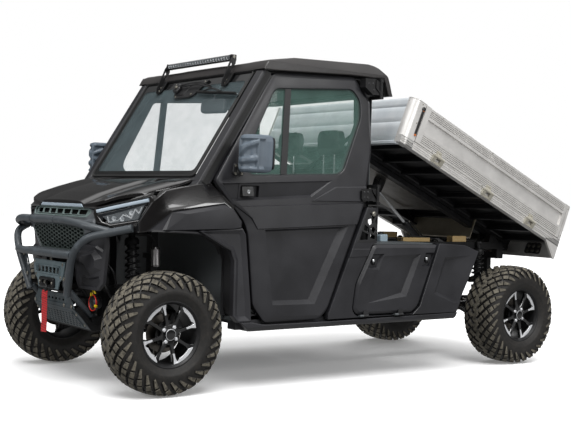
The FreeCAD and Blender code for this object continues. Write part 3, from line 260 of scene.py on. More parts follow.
def clear_lens(name, colour, alpha):
    """Hard-coated polycarbonate lens: clear, very glossy, with a faint moulded ripple."""
    made, tree, shader, place = start(name, Roughness=0.03, IOR=1.58, Base_Color=linear(colour), Alpha=alpha,
                                      Coat_Weight=1.0)
    bump(tree, shader, noise(tree, place, 50, 1), 0.08)
    return made


TYRE_R = (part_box("tyre_front_left")[1].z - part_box("tyre_front_left")[0].z) / 2

panel_grey = moulded("textured_polypropylene_panel", "222225", "2C2C30", rough=0.40)
flare_grey = moulded("textured_polypropylene_flare", "28282B", "323236", rough=0.42)
liner_black = moulded("textured_polyethylene_liner", "1E1E20", "2B2B2D", rough=0.6)
trim_black = moulded("fine_grain_black_abs", "161617", "232325", rough=0.45, grain_mm=1.6)
roof_black = moulded("satin_roof_abs", "2C2A2A", "383534", rough=0.38, grain_mm=3.0, depth_mm=0.06)
inner_grey = moulded("cab_lining_polypropylene", "4A4E50", "585C5E", rough=0.6)
mirror_grey = moulded("grey_blue_glass_filled_nylon", "525D68", "65717C", rough=0.45, grain_mm=1.8)
nose_grey = moulded("grey_nose_polypropylene", "4B4F53", "5C6165", rough=0.42)
piano_black = gloss_moulded("clear_coated_black_abs", "0A0808")
frame_black = powder_coated("black_powder_coated_steel", "151516", "2C2C2E", rough=0.45)
bumper_grey = powder_coated("graphite_powder_coated_tube", "43484C", "5D646A", rough=0.34)
winch_green = powder_coated("grey_green_powder_coated_plate", "66757A", "84939A", rough=0.38)
skid_paint = powder_coated("dark_grey_green_powder_coated_plate", "3A4347", "566165", rough=0.4)
rib_black = powder_coated("satin_painted_pressed_steel", "1D1D1F", "3A3A3D", rough=0.4)
TILT = math.radians(23)
bed_silver = drawn_metal("natural_anodised_extruded_aluminium", "E8E6E3", "D0CECB", (1, 40, 40), 0.42,
                         metallic=0.45, turn=(0, TILT, 0))
plank_silver = drawn_metal("mill_finish_aluminium_plank", "F2F6F9", "D6DEE4", (40, 1, 40), 0.36,
                           metallic=0.3)
floor_silver = drawn_metal("brushed_aluminium_floor_plank", "BBBEC0", "9EA3A7", (1, 40, 1), 0.42,
                           metallic=0.4)
champagne = drawn_metal("passivated_steel_sheet", "C9C0AE", "A69C88", (2, 1, 2), 0.42, 40, 0.35)
hinge_cream = powder_coated("cast_hinge_in_pale_paint", "A9A598", "C9C5B8", rough=0.45)
amber = moulded("amber_nylon_tip", "C8641A", "D97A2C", rough=0.45)
sheet_grey = drawn_metal("galvanised_sheet", "8D8A86", "5F5C58", (3, 1, 3), 0.4, 25, 0.9)
chrome = drawn_metal("chrome_plated_steel", "E6E8EA", "C8CBCE", (1, 1, 30), 0.20, 30, 0.6)
zinc = drawn_metal("zinc_plated_fastener", "B8B5AC", "8E8A80", (1, 1, 1), 0.36, 12)
machined = drawn_metal("machined_alloy_under_lacquer", "F0F1F3", "D4D6DA", (1, 1, 1), 0.30, 5, 0.35)
disc_steel = drawn_metal("worn_brake_disc_steel", "77726C", "4A4540", (1, 1, 1), 0.38, 9)
bronze_band = drawn_metal("bronze_bearing_band", "A8743C", "7C5226", (1, 1, 1), 0.32, 12)
wheel_black = gloss_moulded("gloss_black_wheel_lacquer", "0B0B0C", "1B1B1D")
rubber = moulded("moulded_rubber_seal", "121212", "1E1E1E", rough=0.7)
tyre_black = tread_rubber("tyre_sidewall_compound", "272625", "3C3834", (0.45, 0.95), 0.50)
tread_worn = tread_rubber("muddy_tread_compound", "302E2B", "857F71", (0.32, 0.72))
side_glass = tinted_glass("green_tinted_tempered_glass", "9CC8BC", 0.10)
screen_glass = tinted_glass("laminated_windscreen", "9DB2B8", 0.10)
mirror_face = drawn_metal("silvered_mirror_glass", "C8D4DA", "B4C0C8", (1, 1, 1), 0.05)
seat_black = vinyl("embossed_vinyl_charcoal", "232426", "34363A")
# the second colour is painted shade for the hollows between threads, not a second dye
strap_red = woven("red_polyester_webbing", "D3141C", "7E0A10", 2.4)
pine = sawn_wood("sawn_pine", "D9C08E", "B8955C")
guide_white = glowing("frosted_acrylic_light_guide", "DDE8F2", 0.03, "A3B1BD")
lens_clear = clear_lens("hard_coated_polycarbonate", "DDE6EC", 0.08)
lamp_dark = gloss_moulded("smoked_lamp_lens", "101418", "242A30")
lamp_red = gloss_moulded("red_tail_lamp_lens", "5A0A0C", "7A1416")
yellow = moulded("yellow_nylon_cap", "D8B400", "E8CC20", rough=0.4)
red_cap = moulded("red_nylon_ring", "C81410", "D83020", rough=0.4)
spring_black = powder_coated("black_coated_spring_steel", "121213", "2E2E30", rough=0.3)
canister = drawn_metal("satin_alloy_canister", "C9C6C6", "A8A5A5", (1, 1, 20), 0.36)
tank_blue = moulded("translucent_grey_blue_tank", "9FB2BE", "B4C4CE", rough=0.35)


# ---- shapes: each is (points, faces), made as whole arrays -------------------------------------------

def grid(points, close_u=False, close_v=False):
    """Quads over a rows x columns array of points; close_u joins the last row to the first, close_v the
    columns."""
    rows, cols = points.shape[:2]
    index = np.arange(rows * cols).reshape(rows, cols)
    if close_u:
        index = np.vstack([index, index[:1]])
    if close_v:
        index = np.hstack([index, index[:, :1]])
    quads = np.stack([index[:-1, :-1], index[1:, :-1], index[1:, 1:], index[:-1, 1:]], axis=-1)
    return points.reshape(-1, 3), quads.reshape(-1, 4).tolist()


def capped(rows):
    """Tube-like grid: the columns of each row closed into a ring, and a face over each end."""
    points, faces = grid(rows, False, True)
    n = rows.shape[1]
    last = (len(rows) - 1) * n
    return points, faces + [list(range(n))[::-1], list(range(last, last + n))]


def joined(shapes):
    """Several shapes as one."""
    points, faces, start_at = [], [], 0
    for p, f in shapes:
        points.append(np.asarray(p, float))
        faces += [[i + start_at for i in face] for face in f]
        start_at += len(p)
    return np.vstack(points), faces


def placed(shape, matrix):
    """The shape moved by a 4 x 4 matrix."""
    points = np.c_[shape[0], np.ones(len(shape[0]))] @ np.array(matrix).T
    return points[:, :3], shape[1]


def flipped(shape):
    """The shape on the vehicle's other side: y turned to -y."""
    return shape[0] * (1, -1, 1), [face[::-1] for face in shape[1]]


def on_side(shape, side):
    """The shape as drawn for the left (side 1), or its mirror image for the right (side -1)."""
    return shape if side > 0 else flipped(shape)


def sided(shapes, side):
    """Each shape on that side."""
    return [on_side(shape, side) for shape in shapes]


def two_sided(shapes):
    """The shapes as drawn for the left, then their mirror images."""
    return [*shapes, *sided(shapes, -1)]


def tube(path, radius, sides=14, closed=False):
    """Round bar along a path: circles of the radius, or of one radius a point, square to the path's
    direction. Each circle is turned as little as possible from the one before."""
    path = np.asarray(path, float)
    radii = np.broadcast_to(np.asarray(radius, float), (len(path),))
    if closed:
        along = np.roll(path, -1, 0) - np.roll(path, 1, 0)
    else:
        along = np.gradient(path, axis=0)
    along /= np.linalg.norm(along, axis=1)[:, None]
    side = np.cross(along[0], (0.0, 0.0, 1.0) if abs(along[0][2]) < 0.9 else (1.0, 0.0, 0.0))
    sides_at = []
    for t in along:
        side = side - t * side.dot(t)
        side = side / np.linalg.norm(side)
        sides_at.append(side)
    sides_at = np.array(sides_at)
    up = np.cross(along, sides_at)
    turn = np.linspace(0, 2 * np.pi, sides, endpoint=False)
    cos, sin = np.cos(turn)[None, :, None], np.sin(turn)[None, :, None]
    rows = path[:, None] + (sides_at[:, None] * cos + up[:, None] * sin) * radii[:, None, None]
    return grid(rows, True, True) if closed else capped(rows)


def lathe(profile, centre, axis="y", sides=64, ends=False):
    """Profile of (distance along the axis, radius) turned a full circle about a line through centre; ends
    closes its two ends."""
    profile = np.asarray(profile, float)
    turn = np.linspace(0, 2 * np.pi, sides, endpoint=False)
    along = np.broadcast_to(profile[:, :1], (len(profile), sides))
    first = profile[:, 1:] * np.cos(turn)
    second = profile[:, 1:] * np.sin(turn)
    order = {"y": (first, along, second), "x": (along, first, second), "z": (first, second, along)}[axis]
    rows = np.stack(order, axis=-1) + np.asarray(centre, float)
    return capped(rows) if ends else grid(rows, False, True)


def slab(low, high):
    """Six-faced block between two corners, for a bracket or plate that is part of a larger piece."""
    x, y, z = zip(low, high)
    points = np.array([[x[i], y[j], z[k]] for i in (0, 1) for j in (0, 1) for k in (0, 1)], float)
    return points, [[0, 1, 3, 2], [4, 6, 7, 5], [0, 4, 5, 1], [2, 3, 7, 6], [0, 2, 6, 4], [1, 5, 7, 3]]


def prism(outline, low, high, across="y"):
    """Flat outline pushed from low to high along an axis; the outline's two numbers are the other axes in
    order."""
    outline = np.asarray(outline, float)
    n = len(outline)
    both = []
    for level in (low, high):
        columns = [outline[:, 0], outline[:, 1]]
        columns.insert(AXES[across], np.full(n, float(level)))
        both.append(np.stack(columns, axis=-1))
    points, faces = grid(np.stack(both, axis=1), True, False)
    index = np.arange(2 * n).reshape(n, 2)
    return points, faces + [index[:, 0].tolist()[::-1], index[:, 1].tolist()]


def carried(path, section, up=(0, 0, 1)):
    """Section of (across, above) carried along a path: across is path x up, above is square to both."""
    path = np.asarray(path, float)
    section = np.asarray(section, float)
    along = np.gradient(path, axis=0)
    along /= np.linalg.norm(along, axis=1)[:, None]
    across = np.cross(along, up)
    across /= np.linalg.norm(across, axis=1)[:, None]
    above = np.cross(across, along)
    rows = path[:, None] + across[:, None] * section[None, :, :1] + above[:, None] * section[None, :, 1:]
    return capped(rows)


def rounded(corners, radius, steps=4):
    """Closed outline with each corner turned into an arc that starts radius from it, by a quadratic
    curve."""
    corners = np.asarray(corners, float)
    back = np.roll(corners, 1, 0) - corners
    on = np.roll(corners, -1, 0) - corners
    lengths = np.linalg.norm(back, axis=1), np.linalg.norm(on, axis=1)
    radius = np.minimum(np.minimum(*lengths) * 0.45, radius)[:, None]
    a = corners + back / lengths[0][:, None] * radius
    b = corners + on / lengths[1][:, None] * radius
    t = np.linspace(0, 1, steps + 1)[None, :, None]
    arcs = (1 - t) ** 2 * a[:, None] + 2 * t * (1 - t) * corners[:, None] + t ** 2 * b[:, None]
    return arcs.reshape(-1, 2)


def bent(corners, reach, steps=6):
    """Open path through corners, each turned into a quadratic arc that starts reach from it."""
    corners = np.asarray(corners, float)
    back, on = corners[:-2] - corners[1:-1], corners[2:] - corners[1:-1]
    lengths = np.linalg.norm(back, axis=1), np.linalg.norm(on, axis=1)
    reach = np.minimum(np.minimum(*lengths) * 0.48, reach)[:, None]
    a = (corners[1:-1] + back / lengths[0][:, None] * reach)[:, None]
    b = (corners[1:-1] + on / lengths[1][:, None] * reach)[:, None]
    t = np.linspace(0, 1, steps + 1)[None, :, None]
    arcs = (1 - t) ** 2 * a + 2 * t * (1 - t) * corners[1:-1, None] + t ** 2 * b
    return np.vstack([corners[:1], arcs.reshape(-1, 3), corners[-1:]])


def facing(origin, across, up):
    """Places a flat panel's (a, b) and height h on a plane: a along across, b along up, h along across x
    up."""
    origin = np.asarray(origin, float)
    across = np.asarray(across, float) / np.linalg.norm(across)
    up = np.asarray(up, float) / np.linalg.norm(up)
    out = np.cross(across, up)

    def place(a, b, h):
        return origin + a[:, None] * across + b[:, None] * up + h[:, None] * out
    return place


def ribbon(first, second, thick):
    """Solid strip between two lines of points, thick towards the side that first x second turns to."""
    first, second = np.asarray(first, float), np.asarray(second, float)
    out = np.cross(np.gradient(first, axis=0), second - first)
    out *= thick / np.linalg.norm(out, axis=1)[:, None]
    return capped(np.stack([first, second, second - out, first - out], axis=1))


def aimed(at, direction):
    """Matrix that lays a shape drawn along +X from the origin at a point, in a direction."""
    return Matrix.Translation(at) @ direction.to_track_quat("X", "Z").to_matrix().to_4x4()


def along(begin, end):
    """Matrix that lays a shape drawn along +X from the origin on the line from begin towards end."""
    return aimed(Vector(begin), Vector(end) - Vector(begin))


def run_to(line):
    """How far down a line each of its points is."""
    return np.concatenate([[0], np.cumsum(np.linalg.norm(np.diff(line, axis=0), axis=1))])


def flat(height=0.0):
    """Face of a panel that lies flat, at a height."""
    return lambda a, b: np.full(len(a), float(height))


def inset(outline, distance):
    """Outline moved inwards, its corners mitred; a negative distance moves it out. Either winding works."""
    outline = np.asarray(outline, float)
    on = np.roll(outline, -1, 0) - outline
    on /= np.linalg.norm(on, axis=1)[:, None] + TINY
    back = np.roll(on, 1, 0)
    area = np.sum(outline[:, 0] * np.roll(outline[:, 1], -1) - np.roll(outline[:, 0], -1) * outline[:, 1])
    turn = 1.0 if area > 0 else -1.0
    n1 = np.stack([-back[:, 1], back[:, 0]], -1) * turn
    n2 = np.stack([-on[:, 1], on[:, 0]], -1) * turn
    mitre = (n1 + n2) / np.maximum(1 + np.sum(n1 * n2, axis=1), 0.35)[:, None]
    return outline + mitre * distance


def inside(points, outline):
    """True for each point inside the outline, by counting the edges that a ray crosses."""
    x, y = points[:, 0, None], points[:, 1, None]
    x1, y1 = outline[:, 0], outline[:, 1]
    x2, y2 = np.roll(x1, -1), np.roll(y1, -1)
    crosses = (y1 > y) != (y2 > y)
    at = x1 + (y - y1) * (x2 - x1) / np.where(y2 == y1, TINY, y2 - y1)
    return (np.sum(crosses & (x < at), axis=1) % 2).astype(bool)


def edge_distance(points, outline):
    """Each point's distance to the outline's nearest edge."""
    a, b = outline, np.roll(outline, -1, 0)
    d = b - a
    t = np.sum((points[:, None] - a) * d, axis=2) / (np.sum(d * d, axis=1) + TINY)
    near = a + np.clip(t, 0, 1)[..., None] * d
    return np.min(np.linalg.norm(points[:, None] - near, axis=2), axis=1)


ROLL_INSETS = (0.15, 0.45, 1.0)      # where a rolled border has its lines of points, as shares of its radius
ON_LINE = 1e-6                       # points nearer than this lie on a line
THINNEST = 0.4 * MM


def pressed(outline, face, thick, place, creases=(), holes=(), lines=(), rolled=5 * MM):
    """Moulded or pressed panel. outline, holes and lines are in the panel's two flat directions, and
    face(a, b) is its height above them. creases is (outer outline, inner outline or ramp width, depth):
    between the two the panel sinks in a plane ramp, and inside the inner one it lies lower by depth, a
    number or depth(a, b). Its border and its holes are rolled over by a radius of rolled. The points are
    the outlines and their insets, joined by triangles that keep every crease as an edge."""
    outline = np.asarray(outline, float)
    holes = [np.asarray(h, float) for h in holes]
    sunk = []
    for outer, inner, depth in creases:
        outer = np.asarray(outer, float)
        inner = np.asarray(inner, float) if np.ndim(inner) else inset(outer, inner)
        sunk.append((outer, inner, depth))
    loops = [outline] + [inset(outline, rolled * f) for f in ROLL_INSETS]
    for h in holes:
        loops += [h] + [inset(h, -rolled * f) for f in ROLL_INSETS]
    for outer, inner, _ in sunk:
        loops += [outer, inner]
    flat, edges = [], []
    for loop in loops:
        n = len(flat)
        flat += loop.tolist()
        edges += [(n + i, n + (i + 1) % len(loop)) for i in range(len(loop))]
    for line in lines:
        n = len(flat)
        flat += [list(p) for p in line]
        edges += [(n + i, n + i + 1) for i in range(len(line) - 1)]
    flat, _, faces, *_ = delaunay_2d_cdt([Vector(p) for p in flat], edges, [], 0, ON_LINE)
    flat = np.array([tuple(p) for p in flat])
    faces = np.array([f for f in faces if len(f) == 3])
    middle = flat[faces].mean(axis=1)
    keep = inside(middle, outline)
    for h in holes:
        keep &= ~inside(middle, h)
    faces = faces[keep]
    height = face(flat[:, 0], flat[:, 1])
    for outer, inner, depth in sunk:
        far, near = edge_distance(flat, outer), edge_distance(flat, inner)
        deep = inside(flat, inner) | (near < ON_LINE)
        share = np.where(deep, 1.0, far / (far + near + 1e-9)) * (inside(flat, outer) | deep)
        share = np.where(far < ON_LINE, 0.0, share)
        height = height - share * (depth(flat[:, 0], flat[:, 1]) if callable(depth) else depth)
    for border in [outline] + holes:
        d = np.clip(edge_distance(flat, border) / rolled, 0, 1)
        height = height - rolled * (1 - np.sqrt(np.clip(1 - (1 - d) ** 2, 0, 1)))
    used, faces = np.unique(faces, return_inverse=True)
    faces = faces.reshape(-1, 3)
    flat, height = flat[used], height[used]
    n = len(flat)
    back = np.minimum(face(flat[:, 0], flat[:, 1]) - thick, height - THINNEST)
    directed = np.vstack([faces[:, [0, 1]], faces[:, [1, 2]], faces[:, [2, 0]]])
    _, first, count = np.unique(np.sort(directed, axis=1), axis=0, return_index=True, return_counts=True)
    rim = directed[first[count == 1]]
    walls = np.stack([rim[:, 1], rim[:, 0], rim[:, 0] + n, rim[:, 1] + n], axis=-1)
    points = np.vstack([place(flat[:, 0], flat[:, 1], height), place(flat[:, 0], flat[:, 1], back)])
    return points, faces.tolist() + (faces[:, ::-1] + n).tolist() + walls.tolist()


def side_face(a, b, h):
    """Places a side panel's flat (x, z) and its height y."""
    return np.stack([a, h, b], -1)


def mm(*pairs):
    """Outline given in millimetres."""
    return np.array(pairs, float) * MM


def rect(a, b, a_end, b_end):
    """Rectangle between two corners given in millimetres."""
    return mm((a, b), (a_end, b), (a_end, b_end), (a, b_end))


def bolt(at, axis="y", out=1, radius=8, head=5):
    """Button-head screw on a washer: a domed disc that stands head mm out along the axis, with a hollow
    in it."""
    r, t = radius * MM, head * MM
    washer = [(0, 0), (0, r * 1.35), (t * 0.25, r * 1.35), (t * 0.25, r), (t * 0.75, r * 0.92), (t, r * 0.6),
              (t, r * 0.34), (t * 0.5, r * 0.34), (t * 0.5, 0)]
    return lathe(np.array(washer) * (out, 1), at, axis, 14)


WELD = 1e-5                 # points nearer than this become one
BEVELLED = math.radians(40)   # a bevel rounds edges that turn by more


def piece(name, body, *groups, bevel=0.0, sharp=32, replaces=(), slot=None, weighted=True, segments=2):
    """A finished object: groups of (material, shape, shape, ...), its faces turned outwards, riding on a
    body. Edges sharper than sharp degrees stay crisp; bevel rounds the sharpest by that many metres."""
    shapes, slots = [], []
    for number, (finish, *parts) in enumerate(groups):
        one = joined(parts)
        shapes.append(one)
        slots += [number] * len(one[1])
    points, faces = joined(shapes)
    mesh = bpy.data.meshes.new(name)
    mesh.from_pydata(points.tolist(), [], faces)
    for finish, *_ in groups:
        mesh.materials.append(finish)
    mesh.polygons.foreach_set("material_index", slots)
    work = bmesh.new()
    work.from_mesh(mesh)
    bmesh.ops.remove_doubles(work, verts=work.verts, dist=WELD)
    bmesh.ops.recalc_face_normals(work, faces=work.faces)
    work.to_mesh(mesh)
    work.free()
    mesh.polygons.foreach_set("use_smooth", [True] * len(mesh.polygons))
    mesh.set_sharp_from_angle(angle=math.radians(sharp))
    made = bpy.data.objects.new(name, mesh)
    bpy.context.scene.collection.objects.link(made)
    if bevel:
        rounding = made.modifiers.new("rounded_edges", "BEVEL")
        rounding.width = bevel
        rounding.segments = segments
        rounding.limit_method = "ANGLE"
        rounding.angle_limit = BEVELLED
        rounding.use_clamp_overlap = True
    if weighted:
        shade = made.modifiers.new("flat_faces_shade_flat", "WEIGHTED_NORMAL")
        shade.keep_sharp = True
    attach(made, body)
    if replaces:
        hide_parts(*replaces)
    return made


# ---- camera ------------------------------------------------------------------------------------------

# the camera stands low, ahead of the left front wheel, level with the bed's floor
CAMERA_AT = Vector((4.4301, 5.8106, 1.0896))
CAMERA_TURN = (36.6517, 0.7078, 1.8843)   # degrees: round from -Y, down, and rolled
CAMERA_LENS = 67.81
turn, down, roll = (math.radians(v) for v in CAMERA_TURN)
ahead = Vector((-math.sin(turn) * math.cos(down), -math.cos(turn) * math.cos(down), -math.sin(down)))
right = ahead.cross(Vector((0, 0, 1))).normalized()
upward = right.cross(ahead)
rolled_right = right * math.cos(roll) + upward * math.sin(roll)
rolled_up = upward * math.cos(roll) - right * math.sin(roll)
camera = bpy.data.objects.new("camera", bpy.data.cameras.new("camera"))
camera.data.lens = CAMERA_LENS
camera.data.sensor_width = 36.0
camera.data.clip_end = 100.0
camera.matrix_world = Matrix((rolled_right, rolled_up, -ahead)).transposed().to_4x4()
camera.location = CAMERA_AT
bpy.context.scene.collection.objects.link(camera)
bpy.context.scene.camera = camera


# ---- winch strap: a flat webbing pull that hangs from the winch's hook -------------------------------

STRAP_ROUTE = [
    (1.8340, 0.0240, 0.532), (1.8360, 0.0245, 0.488), (1.8330, 0.0235, 0.440),
    (1.8355, 0.0245, 0.390), (1.8325, 0.0235, 0.338), (1.8340, 0.0240, 0.292),
]
STRAP_WIDTH = 38 * MM
STRAP_THICK = 3.2 * MM


def route_points(name, route):
    """Points along the smooth NURBS line that has the route's points as its control points."""
    curve = bpy.data.curves.new(name, "CURVE")
    curve.dimensions = "3D"
    spline = curve.splines.new("NURBS")
    spline.points.add(len(route) - 1)
    for point, at in zip(spline.points, route):
        point.co = (*at, 1.0)
    spline.order_u = 3
    spline.use_endpoint_u = True
    spline.resolution_u = 12
    line = bpy.data.objects.new(name, curve)
    mesh = bpy.data.meshes.new_from_object(line)
    points = np.empty(len(mesh.vertices) * 3)
    mesh.vertices.foreach_get("co", points)
    bpy.data.objects.remove(line)
    return points.reshape(-1, 3)


def webbing(path, width, thick):
    """Flat band carried down a path, its face turned a little to the left of the nose: a flat oval with a
    thicker selvedge each side."""
    half, t = width / 2, thick / 2
    section = [(-half, 0), (-half + 1.2 * MM, t), (-half + 4 * MM, t * 0.8), (half - 4 * MM, t * 0.8),
               (half - 1.2 * MM, t), (half, 0), (half - 1.2 * MM, -t), (half - 4 * MM, -t * 0.8),
               (-half + 4 * MM, -t * 0.8), (-half + 1.2 * MM, -t)]
    return carried(path, section, up=(0.85, 0.53, 0))


strap_line = route_points("strap_line", STRAP_ROUTE)
strap = piece("winch_strap_webbing", "chassis", (strap_red, webbing(strap_line, STRAP_WIDTH, STRAP_THICK)),
              replaces=("winch_strap",), slot="red_webbing", sharp=50)
hem_path = strap_line[-9:] + (2.0 * MM, 1.3 * MM, 0)
top_path = strap_line[:9] + (2.0 * MM, 1.3 * MM, 0)
strap_hem = piece("winch_strap_sewn_ends", "chassis",
                  (strap_red, webbing(hem_path, STRAP_WIDTH - 1 * MM, 2.4 * MM),
                   webbing(top_path, STRAP_WIDTH - 1 * MM, 2.4 * MM)), slot="red_webbing", sharp=50)


# ---- wheels and tyres --------------------------------------------------------------------------------

LUG_ROWS = 30          # chevron lugs round each half of the tread
LUG_HEIGHT = 13 * MM
LUG_LEAN = 1.02        # how far a lug goes round the tyre for its distance from the centre line
LUG_SLANT = (0.62, 0.80)   # a step across a lug, as its share down the profile and its share round the tyre
LUG_TAPER = (0.205, 0.045)     # lugs fade out before the first distance down the profile, over the second
FRONT_HALF = 0.119         # half a front tyre's width, for which LUG_BLOCKS is given
BEAD_R = 178 * MM
# along the half tread from its centre line, (start, end, width at start, width at end) in mm
LUG_BLOCKS = [(-18, 20, 37, 37), (28, 60, 37, 37), (68, 97, 36, 35), (104, 131, 34, 31), (137, 178, 29, 15)]


def tyre_profile(half):
    """(y, r) down one half of a tyre over its lugs, from the centre line to the bead, smoothed by corner
    cutting."""
    line = np.array([(0, TYRE_R - 0.0005), (half * 0.55, TYRE_R - 0.003), (half * 0.88, TYRE_R - 0.014),
                     (half * 0.995, TYRE_R - 0.045), (half * 0.995, TYRE_R - 0.10),
                     (half * 0.93, TYRE_R - 0.135), (half * 0.80, BEAD_R)])
    for _ in range(3):
        q, r = 0.75 * line[:-1] + 0.25 * line[1:], 0.25 * line[:-1] + 0.75 * line[1:]
        line = np.vstack([line[:1], np.stack([q, r], 1).reshape(-1, 2), line[-1:]])
    return line


def over_profile(line, s, height):
    """(y, r) at the distance s down the profile and a height above the carcass, which lies a lug's height
    below the tread and fades into the sidewall. Negative s is on the tyre's other half."""
    step = run_to(line)
    away = np.abs(s)
    y, r = np.interp(away, step, line[:, 0]), np.interp(away, step, line[:, 1])
    slope = np.gradient(line, step, axis=0)
    ty, tr = np.interp(away, step, slope[:, 0]), np.interp(away, step, slope[:, 1])
    long = np.hypot(ty, tr)
    fade = np.clip((LUG_TAPER[0] - away) / LUG_TAPER[1], 0.10, 1.0)
    sink = (1 - height) * LUG_HEIGHT * fade
    return np.sign(s + 1e-9) * (y + tr / long * sink), r - ty / long * sink


def lugs(half, centre):
    """Tread blocks of both halves. A lug is a ring of six points - foot, chamfer, top, top, chamfer, foot
    - at four places along it; it leans back by its distance from the centre line, which makes the
    chevron. The two halves are half a pitch apart, so that their inner blocks interlock."""
    line = tyre_profile(half)
    rows = np.array([(0.0, 0.82), (0.10, 1.0), (0.90, 1.0), (1.0, 0.82)])   # shares along and of the height
    across = np.array([(-0.58, 0.0), (-0.5, 0.80), (-0.42, 1.0), (0.42, 1.0), (0.5, 0.80), (0.58, 0.0)])
    scale = half / FRONT_HALF * 0.35 + 0.65
    every = []
    for mirror in (1, -1):
        for block in LUG_BLOCKS:
            s0, s1, w0, w1 = np.array(block) * MM * (scale, scale, 1, 1)
            s = s0 + (s1 - s0) * rows[:, 0]
            width = w0 + (w1 - w0) * rows[:, 0]
            side = across[None, :, 0] * width[:, None]
            # across is square to the lug's own slanting line: a step goes down the profile and round the tyre
            s_all = s[:, None] + side * LUG_SLANT[0]
            height = across[None, :, 1] * rows[:, 1:2]
            y, r = over_profile(line, s_all, height)
            round_by = (s[:, None] * LUG_LEAN - side * LUG_SLANT[1]) / TYRE_R
            start = 2 * np.pi * (np.arange(LUG_ROWS) + (0.5 if mirror < 0 else 0)) / LUG_ROWS
            angle = start[:, None, None] + round_by[None]
            y = np.broadcast_to(mirror * y, angle.shape)
            every.append(np.stack([r * np.cos(angle), y, r * np.sin(angle)], -1))
    blocks = np.concatenate(every) + np.asarray(centre)
    count = len(blocks)
    ring = np.arange(24).reshape(4, 6)
    ahead = np.roll(ring, -1, 1)
    quads = np.stack([ring[:-1], ring[1:], ahead[1:], ahead[:-1]], -1).reshape(-1, 4)
    top = np.arange(len(quads)) % 6 == 2
    offset = 24 * np.arange(count)[:, None, None]
    tops = (quads[top][None] + offset).reshape(-1, 4).tolist()
    sides = (quads[~top][None] + offset).reshape(-1, 4).tolist()
    caps = (np.array([ring[0][::-1], ring[3]])[None] + offset).reshape(-1, 6).tolist()
    points = blocks.reshape(-1, 3)
    return (points, tops), (points, sides + caps)


def carcass(half, centre):
    """Tyre body: the profile a lug's height down at the tread, a bead-guard ridge and a fine ring on each
    wall."""
    line = tyre_profile(half)
    s = np.linspace(0, run_to(line)[-1], 44)
    y, r = over_profile(line, s, np.zeros(44))
    ridge = 0.0022 * np.exp(-((r - 0.222) / 0.004) ** 2) + 0.0016 * np.exp(-((r - 0.262) / 0.0025) ** 2)
    y = y + ridge
    y, r = np.r_[-y[::-1], y[1:]], np.r_[r[::-1], r[1:]]
    inner = [(y[-1] * 0.8, BEAD_R + 0.012), (-y[-1] * 0.8, BEAD_R + 0.012)]
    profile = np.vstack([np.c_[y, r], inner])
    profile = np.vstack([profile, profile[:1]])
    return lathe(profile, centre, "y", 112)


SPOKE_LINE = [      # radius, half width, outer face below the disc's face, in mm
    (44, 17, 3), (70, 11.5, 1), (110, 10.5, 4), (140, 13, 3), (158, 22, 1), (171, 30, -1)]


def spoke(centre, face, turn, side, lift=0.0, narrow=1.0, thick=22, reach=(0, 6)):
    """One spoke: a six-cornered section of the table's width at each radius, with chamfered shoulders."""
    table = np.array(SPOKE_LINE, float)[reach[0]:reach[1]] * MM
    r, half, drop = table.T
    half = half * narrow
    face_y = face - drop + lift
    back = face_y - thick * MM
    t = np.stack([-half, -half * 0.72, half * 0.72, half, half * 0.8, -half * 0.8], 1)
    depth = np.stack([face_y - 5 * MM * narrow, face_y, face_y, face_y - 5 * MM * narrow, back, back], 1)
    radial = np.broadcast_to(r[:, None], t.shape)
    x = radial * math.cos(turn) - t * math.sin(turn)
    z = radial * math.sin(turn) + t * math.cos(turn)
    return capped(np.stack([x, side * depth, z], -1) + np.asarray(centre))


def rim_arc(centre, face, begin, sweep, side, low=148, high=168):
    """Machined arc on the rim beside a spoke's tip: a flat band with a lifted edge, from begin through
    sweep."""
    turn = np.linspace(begin, begin + sweep, 14)
    taper = np.clip(np.minimum(np.arange(14), np.arange(14)[::-1] * 2) / 3, 0.35, 1)[:, None]
    section = np.array([(low, -6), (low, 1.2), (high, 3.0), (high, -6)], float) * MM
    r = high * MM - (high * MM - section[None, :, 0]) * taper
    points = np.stack([r * np.cos(turn)[:, None], np.broadcast_to(side * (face + section[:, 1]), r.shape),
                       r * np.sin(turn)[:, None]], -1) + np.asarray(centre)
    return capped(points)


